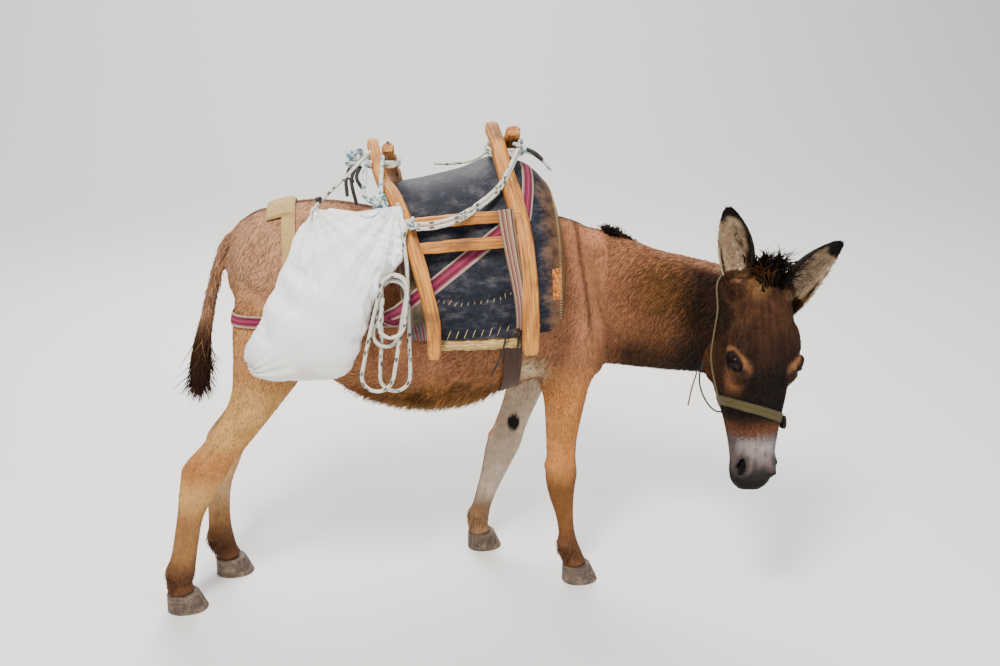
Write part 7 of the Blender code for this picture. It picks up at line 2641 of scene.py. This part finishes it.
def grey(low, high):
    return [(0.0, low), (1.0, high)]


def wood_material():
    """Hand-worn wood: long grain, dark cracks, and paler worn places."""
    look = Look("worn_wood", 0.55)
    grain = look.noise(look.place((150.0, 5.0, 1.0), "lie"), 1.6, 7.0, 0.62, 0.8)
    streak = look.noise(look.place((60.0, 1.6, 1.0), "lie"), 2.2, 4.0)
    split = look.noise(look.place((220.0, 3.0, 1.0), "lie"), 1.0, 2.0)
    patch = look.noise(look.place((9.0, 9.0, 9.0)), 1.6, 4.0)
    base = look.ramp(grain, [(0.30, from_photo(66, 36, 10)), (0.46, from_photo(156, 92, 26)),
                             (0.62, from_photo(204, 140, 50)), (0.80, from_photo(234, 182, 90))])
    base = look.mix(look.ramp(patch, [(0.50, 0.0), (0.72, 0.5)]), base, from_photo(196, 130, 66))
    base = look.mix(look.ramp(patch, [(0.30, 0.85), (0.46, 0.0)]), base, from_photo(84, 54, 30))
    crack = look.ramp(streak, [(0.30, 0.95), (0.37, 0.0)])
    thin = look.ramp(split, [(0.27, 0.8), (0.31, 0.0)])
    crack = look.maths("MAXIMUM", crack, thin)
    base = look.mix(crack, base, from_photo(44, 24, 12))
    rough = look.ramp(grain, grey(0.45, 0.80))
    height = look.maths("SUBTRACT", grain, crack)
    return look.done(base, rough, height, 0.8, 0.0018)


def leather_material():
    """Dusty blue-black leather, scuffed, worn brown towards the front, with one tan patch."""
    look = Look("pad_leather", 0.5)
    look.shader.inputs["Specular IOR Level"].default_value = 0.16
    places = look.place()
    fine = look.noise(look.place((320.0, 320.0, 320.0)), 1.0, 4.0)
    dust = look.noise(look.place((16.0, 16.0, 30.0)), 1.4, 8.0, 0.70)
    scratch = look.noise(look.place((46.0, 46.0, 74.0)), 1.0, 7.0, 0.66, 1.6)
    scuff = look.noise(look.place((120.0, 120.0, 120.0)), 1.0, 6.0, 0.7)
    base = look.ramp(dust, [(0.34, from_photo(14, 15, 20)), (0.50, from_photo(28, 31, 42)),
                            (0.70, from_photo(74, 72, 74))])
    front = look.maths("ADD", look.axis(places, "X"), look.maths("MULTIPLY", dust, 0.16))
    base = look.mix(look.ramp(front, [(0.215, 0.0), (0.285, 0.95)]), base, from_photo(112, 76, 42))
    base = look.mix(look.ramp(scratch, [(0.60, 0.0), (0.74, 0.35)]), base, from_photo(120, 104, 86))
    base = look.mix(look.ramp(scuff, [(0.66, 0.0), (0.74, 0.35)]), base, from_photo(150, 124, 92))
    base = look.mix(look.ramp(scuff, [(0.30, 0.6), (0.37, 0.0)]), base, from_photo(16, 15, 16))
    x, y, z = (look.axis(places, axis) for axis in "XYZ")
    inside = look.maths("LESS_THAN", y, 0.0)
    for value, middle, half in ((x, PATCH_PLACE[0] + SHIFT.x, 0.013), (z, PATCH_PLACE[1], 0.038)):
        distance = look.maths("ABSOLUTE", look.maths("SUBTRACT", value, middle))
        inside = look.maths("MULTIPLY", inside, look.maths("LESS_THAN", distance, half))
    worn = look.ramp(scuff, [(0.40, from_photo(96, 58, 28)), (0.56, from_photo(206, 124, 56))])
    base = look.mix(look.maths("MULTIPLY", inside, look.ramp(scratch, [(0.34, 0.0), (0.44, 1.0)])), base, worn)
    height = look.maths("ADD", look.maths("MULTIPLY", fine, 0.4), look.maths("ADD", scratch, scuff))
    return look.done(base, look.ramp(dust, grey(0.52, 0.80)), height, 0.45, 0.0012)


def straw_material(name="straw_cloth", tone=(168, 138, 80)):
    look = Look(name, 0.85)
    fibre = look.noise(look.place((300.0, 26.0, 1.0), "lie"), 1.0, 4.0)
    patch = look.noise(look.place((30.0, 30.0, 30.0)), 1.0, 3.0)
    dark = tuple(value * 0.42 for value in from_photo(*tone))
    base = look.ramp(fibre, [(0.34, dark), (0.50, from_photo(*tone)), (0.74, from_photo(220, 196, 140))])
    base = look.mix(look.ramp(patch, [(0.5, 0.0), (0.72, 0.5)]), base, from_photo(142, 112, 72))
    return look.done(base, None, fibre, 0.6, 0.0012)


def sack_material():
    """White woven plastic tape with dust towards its foot and faint bluish smudges."""
    look = Look("sack_weave", 0.42)
    lie = look.place((1.0, 1.0, 1.0), "lie")
    across = look.wave(lie, 95.0, 0.0, "X")
    upward = look.wave(lie, 95.0, 0.0, "Y")
    weave = look.maths("MAXIMUM", across, upward)
    patch = look.noise(look.place((7.0, 7.0, 7.0)), 1.0, 4.0)
    base = look.ramp(weave, [(0.15, from_photo(214, 214, 212)), (0.75, from_photo(243, 243, 241))])
    base = look.mix(look.ramp(patch, [(0.56, 0.0), (0.70, 0.35)]), base, from_photo(170, 204, 222))
    low = look.ramp(look.axis(look.place(), "Z"), [(0.735, 0.55), (0.86, 0.0)])
    base = look.mix(look.maths("MULTIPLY", low, patch), base, from_photo(186, 168, 140))
    return look.done(base, look.ramp(patch, grey(0.36, 0.52)), weave, 0.22, 0.0005)


def rope_material(name, fleck=(42, 44, 52), body=(216, 212, 198), share=0.36):
    """Braided rope with flecks of a darker yarn."""
    look = Look(name, 0.72)
    yarn = look.wave(look.place((1.0, 0.55, 1.0), "lie"), 130.0, 0.4, "DIAGONAL")
    spots = look.voronoi(look.place((95.0, 48.0, 1.0), "lie"), 1.0)
    dust = look.noise(look.place((60.0, 60.0, 60.0)), 1.0, 3.0)
    base = look.ramp(yarn, [(0.10, tuple(v * 0.55 for v in from_photo(*body))), (0.6, from_photo(*body))])
    base = look.mix(look.ramp(spots, [(share - 0.06, 0.95), (share, 0.0)]), base, from_photo(*fleck))
    base = look.mix(look.ramp(dust, [(0.50, 0.0), (0.75, 0.4)]), base, from_photo(168, 158, 138))
    return look.done(base, None, yarn, 0.5, 0.0008)


def webbing_material(name, stripes):
    """Woven webbing with lengthwise stripes; each stripe is where it starts and its colour."""
    look = Look(name, 0.85)
    lie = look.place((1.0, 1.0, 1.0), "lie")
    base = look.ramp(look.axis(lie, "X"), [(spot, from_photo(*tone)) for spot, tone in stripes], True)
    rib = look.wave(lie, 110.0, 0.6, "Y")
    thread = look.wave(look.place((26.0, 1.0, 1.0), "lie"), 1.0, 0.0, "X")
    dirt = look.noise(look.place((34.0, 34.0, 34.0)), 1.0, 4.0)
    base = look.mix(look.maths("MULTIPLY", rib, 0.35), base, (0.03, 0.02, 0.02))
    base = look.mix(look.ramp(dirt, [(0.52, 0.0), (0.80, 0.35)]), base, from_photo(128, 106, 84))
    return look.done(base, None, look.maths("ADD", rib, thread), 0.8, 0.0008)


def blanket_material():
    """Grey wool with a patterned border in red, white and blue."""
    look = Look("blanket_wool", 0.95)
    lie = look.place((1.0, 1.0, 1.0), "lie")
    wool = look.noise(look.place((420.0, 420.0, 420.0)), 1.0, 3.0)
    rib = look.wave(lie, 75.0, 1.5, "Y")
    patch = look.noise(look.place((14.0, 14.0, 14.0)), 1.0, 3.0)
    base = look.ramp(wool, [(0.3, from_photo(52, 45, 42)), (0.7, from_photo(120, 106, 94))])
    base = look.mix(look.ramp(patch, [(0.45, 0.0), (0.7, 0.6)]), base, from_photo(176, 148, 112))
    checks = look.wave(lie, 14.0, 0.0, "Y")
    height = look.axis(look.place(), "Z")
    border = look.ramp(height, [(0.0, 0.8), (0.828, 0.8), (0.842, 0.0)])
    along = look.maths("ADD", look.axis(look.place(), "X"), 0.5)
    rear = look.ramp(along, [(0.0, 0.9), (0.296, 0.9), (0.312, 0.0)])
    woven = look.ramp(look.wave(look.place(), 26.0, 2.5, "X"), [
        (0.0, from_photo(170, 150, 120)), (0.30, from_photo(60, 46, 40)), (0.46, from_photo(196, 178, 150)),
        (0.66, from_photo(118, 84, 62)), (0.84, from_photo(150, 58, 66))], True)
    base = look.mix(look.maths("MULTIPLY", rear, look.ramp(wool, [(0.3, 0.55), (0.6, 1.0)])), base, woven)
    red = look.ramp(checks, [(0.0, from_photo(128, 34, 36)), (0.30, from_photo(174, 166, 154)),
                             (0.48, from_photo(36, 66, 122)), (0.74, from_photo(96, 86, 80))], True)
    base = look.mix(border, base, red)
    return look.done(base, None, look.maths("ADD", wool, rib), 0.7, 0.0012)


def thong_material():
    look = Look("dark_thongs", 0.8)
    strand = look.wave(look.place((7.0, 0.6, 1.0), "lie"), 1.0, 0.6, "X")
    fibre = look.noise(look.place((60.0, 9.0, 1.0), "lie"), 1.0, 4.0)
    base = look.ramp(fibre, [(0.3, from_photo(34, 22, 14)), (0.7, from_photo(98, 62, 38))])
    base = look.mix(look.ramp(strand, [(0.10, 0.9), (0.30, 0.0)]), base, from_photo(18, 12, 9))
    return look.done(base, None, look.maths("ADD", strand, fibre), 0.7, 0.0014)


def cord_material(name, tone):
    look = Look(name, 0.75)
    fibre = look.noise(look.place((500.0, 140.0, 1.0), "lie"), 1.0, 3.0)
    dark = tuple(value * 0.45 for value in from_photo(*tone))
    return look.done(look.ramp(fibre, [(0.3, dark), (0.65, from_photo(*tone))]), None, fibre, 0.5, 0.0006)


def iron_material():
    look = Look("buckle_iron", 0.5)
    rust = look.noise(look.place((120.0, 120.0, 120.0)), 1.0, 5.0)
    look.shader.inputs["Metallic"].default_value = 0.8
    base = look.ramp(rust, [(0.40, from_photo(42, 40, 42)), (0.70, from_photo(82, 62, 48))])
    return look.done(base, look.ramp(rust, grey(0.35, 0.75)), rust, 0.3, 0.0005)


def eye_material():
    """Dark brown iris, long black pupil and a wet surface."""
    look = Look("eye_gloss", 0.06)
    gaze = look.add("Attribute", attribute_name="gaze").outputs["Vector"]
    x, y = (look.axis(gaze, axis) for axis in "XY")
    radial = look.maths("SQRT", look.maths("ADD", look.maths("MULTIPLY", x, x), look.maths("MULTIPLY", y, y)))
    long_x = look.maths("MULTIPLY", x, 0.55)
    pupil = look.maths("SQRT", look.maths("ADD", look.maths("MULTIPLY", long_x, long_x),
                                          look.maths("MULTIPLY", y, y)))
    fibre = look.noise(look.place((900.0, 900.0, 900.0)), 1.0, 3.0)
    iris = look.ramp(radial, [(0.20, from_photo(20, 12, 8)), (0.55, from_photo(34, 20, 12)),
                              (0.68, from_photo(10, 7, 6)), (0.80, from_photo(70, 52, 46))])
    iris = look.mix(look.maths("MULTIPLY", fibre, 0.35), iris, from_photo(20, 12, 8))
    base = look.mix(look.ramp(pupil, [(0.19, 1.0), (0.24, 0.0)]), iris, from_photo(6, 5, 6))
    look.shader.inputs["Specular IOR Level"].default_value = 0.07
    look.shader.inputs["Coat Weight"].default_value = 0.10
    look.shader.inputs["Coat Roughness"].default_value = 0.03
    return look.done(base)


def hoof_material():
    look = Look("hoof_horn", 0.6)
    rings = look.noise(look.place((14.0, 14.0, 190.0)), 1.0, 4.0)
    streak = look.noise(look.place((150.0, 150.0, 16.0)), 1.0, 3.0)
    dust = look.noise(look.place((34.0, 34.0, 34.0)), 1.0, 4.0)
    base = look.ramp(streak, [(0.3, from_photo(44, 34, 28)), (0.7, from_photo(92, 74, 60))])
    base = look.mix(look.ramp(rings, [(0.50, 0.0), (0.72, 0.6)]), base, from_photo(122, 100, 80))
    base = look.mix(look.ramp(dust, [(0.50, 0.0), (0.72, 0.5)]), base, from_photo(150, 132, 106))
    return look.done(base, look.ramp(dust, grey(0.5, 0.85)), look.maths("ADD", rings, streak), 0.5, 0.0010)


def skin_material():
    """Skin under the coat: its markings from the mesh, with fine hair in its bump."""
    look = Look("skin", 0.78)
    tone = look.add("Attribute", attribute_name="markings").outputs["Color"]
    hair = look.noise(look.place((330.0, 330.0, 150.0)), 1.0, 4.0, 0.65)
    blotch = look.noise(look.place((26.0, 26.0, 26.0)), 1.0, 4.0)
    base = look.mix(look.ramp(hair, [(0.30, 0.45), (0.55, 0.0)]), tone, (0.02, 0.012, 0.008))
    base = look.mix(look.ramp(blotch, [(0.5, 0.0), (0.8, 0.25)]), base, (0.5, 0.42, 0.34), "SOFT_LIGHT")
    look.shader.inputs["Specular IOR Level"].default_value = 0.10
    return look.done(base, look.ramp(blotch, grey(0.66, 0.88)), hair, 0.5, 0.0010)


def coat_material():
    """Hair of the coat, coloured tuft by tuft."""
    look = Look("coat", 0.62)
    tone = look.add("Attribute", attribute_name="markings").outputs["Color"]
    fine = look.noise(look.place((700.0, 700.0, 260.0)), 1.0, 2.0)
    base = look.mix(look.ramp(fine, [(0.30, 0.30), (0.60, 0.0)]), tone, (0.012, 0.008, 0.006))
    look.shader.inputs["Specular IOR Level"].default_value = 0.06
    return look.done(base, look.ramp(fine, grey(0.50, 0.75)))


def plain_material(name, colour, roughness):
    made = bpy.data.materials.new(name)
    made.use_nodes = True
    shader = made.node_tree.nodes["Principled BSDF"]
    shader.inputs["Base Color"].default_value = (*colour, 1.0)
    shader.inputs["Roughness"].default_value = roughness
    return made


make_camera()
make_stage()
COAT_LOOK = coat_material()
skin = make_skin()
skin_trees = tree_of(skin)

looks = {
    "straw": straw_material(),
    "thongs": thong_material(),
    "magenta": webbing_material("webbing_magenta", [
        (0.0, (206, 184, 160)), (0.11, (128, 20, 60)), (0.22, (72, 12, 40)), (0.27, (158, 22, 80)),
        (0.42, (196, 76, 118)), (0.47, (160, 18, 78)), (0.62, (72, 12, 40)), (0.67, (150, 26, 74)),
        (0.80, (188, 130, 140)), (0.88, (206, 184, 160)),
    ]),
    "pale": webbing_material("webbing_pale", [
        (0.0, (150, 108, 84)), (0.08, (196, 166, 138)), (0.20, (112, 62, 50)), (0.28, (176, 112, 98)),
        (0.40, (200, 178, 150)), (0.48, (126, 70, 58)), (0.56, (186, 130, 110)), (0.70, (202, 182, 154)),
        (0.80, (104, 60, 46)), (0.90, (164, 128, 100)),
    ]),
    "olive": webbing_material("halter_olive", [
        (0.0, (44, 38, 14)), (0.08, (82, 72, 26)), (0.48, (62, 56, 20)), (0.54, (86, 76, 28)), (0.92, (44, 38, 14)),
    ]),
    "dark": cord_material("dark_cord", (38, 32, 28)),
    "brown": cord_material("brown_cord", (104, 76, 48)),
    "pale_cord": cord_material("pale_cord", (92, 80, 50)),
    "iron": iron_material(),
    "rope": rope_material("braided_rope"),
    "teal": rope_material("braided_rope_teal", (48, 112, 128), (206, 216, 210), 0.42),
}

make_wood()
pad, pad_lines = make_pad()
pad_trees = tree_of(pad)
blanket, flat = make_blanket(skin_trees)
sack = make_sack()
settle(sack, sack_held, 2.5, 0.10, 0.012)
cover_trees = pad_trees + tree_of(blanket, sack)
hand_over(pad, leather_material(), ["saddle_pad"])
thread = cord_material("cream_thread", (182, 158, 112))
stitches = []
for kind, step, length, radius in (("whip", 0.0070, 0.0135, 0.0011), ("hem", 0.0210, 0.0300, 0.0011),
                                   ("seam", 0.0165, 0.0190, 0.0010)):
    chosen = [line[1:] for line in pad_lines if line[0] == kind]
    stitches.append(make_stitches("pad_" + kind, chosen, step, length, radius, thread, True))
hand_over(joined("pad_stitches", stitches), thread)
hand_over(blanket, blanket_material(), ["blanket"])
hand_over(sack, sack_material(), ["sack"])
make_trunk_straps(skin_trees, looks)
make_breeching(tree_without_tail(skin), looks["magenta"])
make_bands(pad_trees, looks)
make_saddle_ropes(looks["rope"])
make_sack_cords(looks["rope"])
make_knots(looks["dark"], looks["teal"])
make_hank(looks["rope"])
make_thongs(looks["thongs"], looks["teal"])
make_noseband(skin_trees, looks["olive"])
make_buckle(looks["iron"])
make_head_cords(skin_trees, looks)
make_rolls(looks["straw"])
make_eyes()
make_hooves()
make_coat(skin, cover_trees)

place, way = points_of(skin.data), points_of(skin.data, "normal")
where, far, _ = locate(place)
set_colours(skin.data, markings(place, way, where, far))
hand_over(skin, skin_material(), ["torso", "neck", "head", "tail", "ear_left", "ear_right", *LEGS])

total = 0
for piece in PIECES:
    piece.data.calc_loop_triangles()
    total += len(piece.data.loop_triangles)
    print(piece.name, len(piece.data.loop_triangles))
print("triangles in all", total)
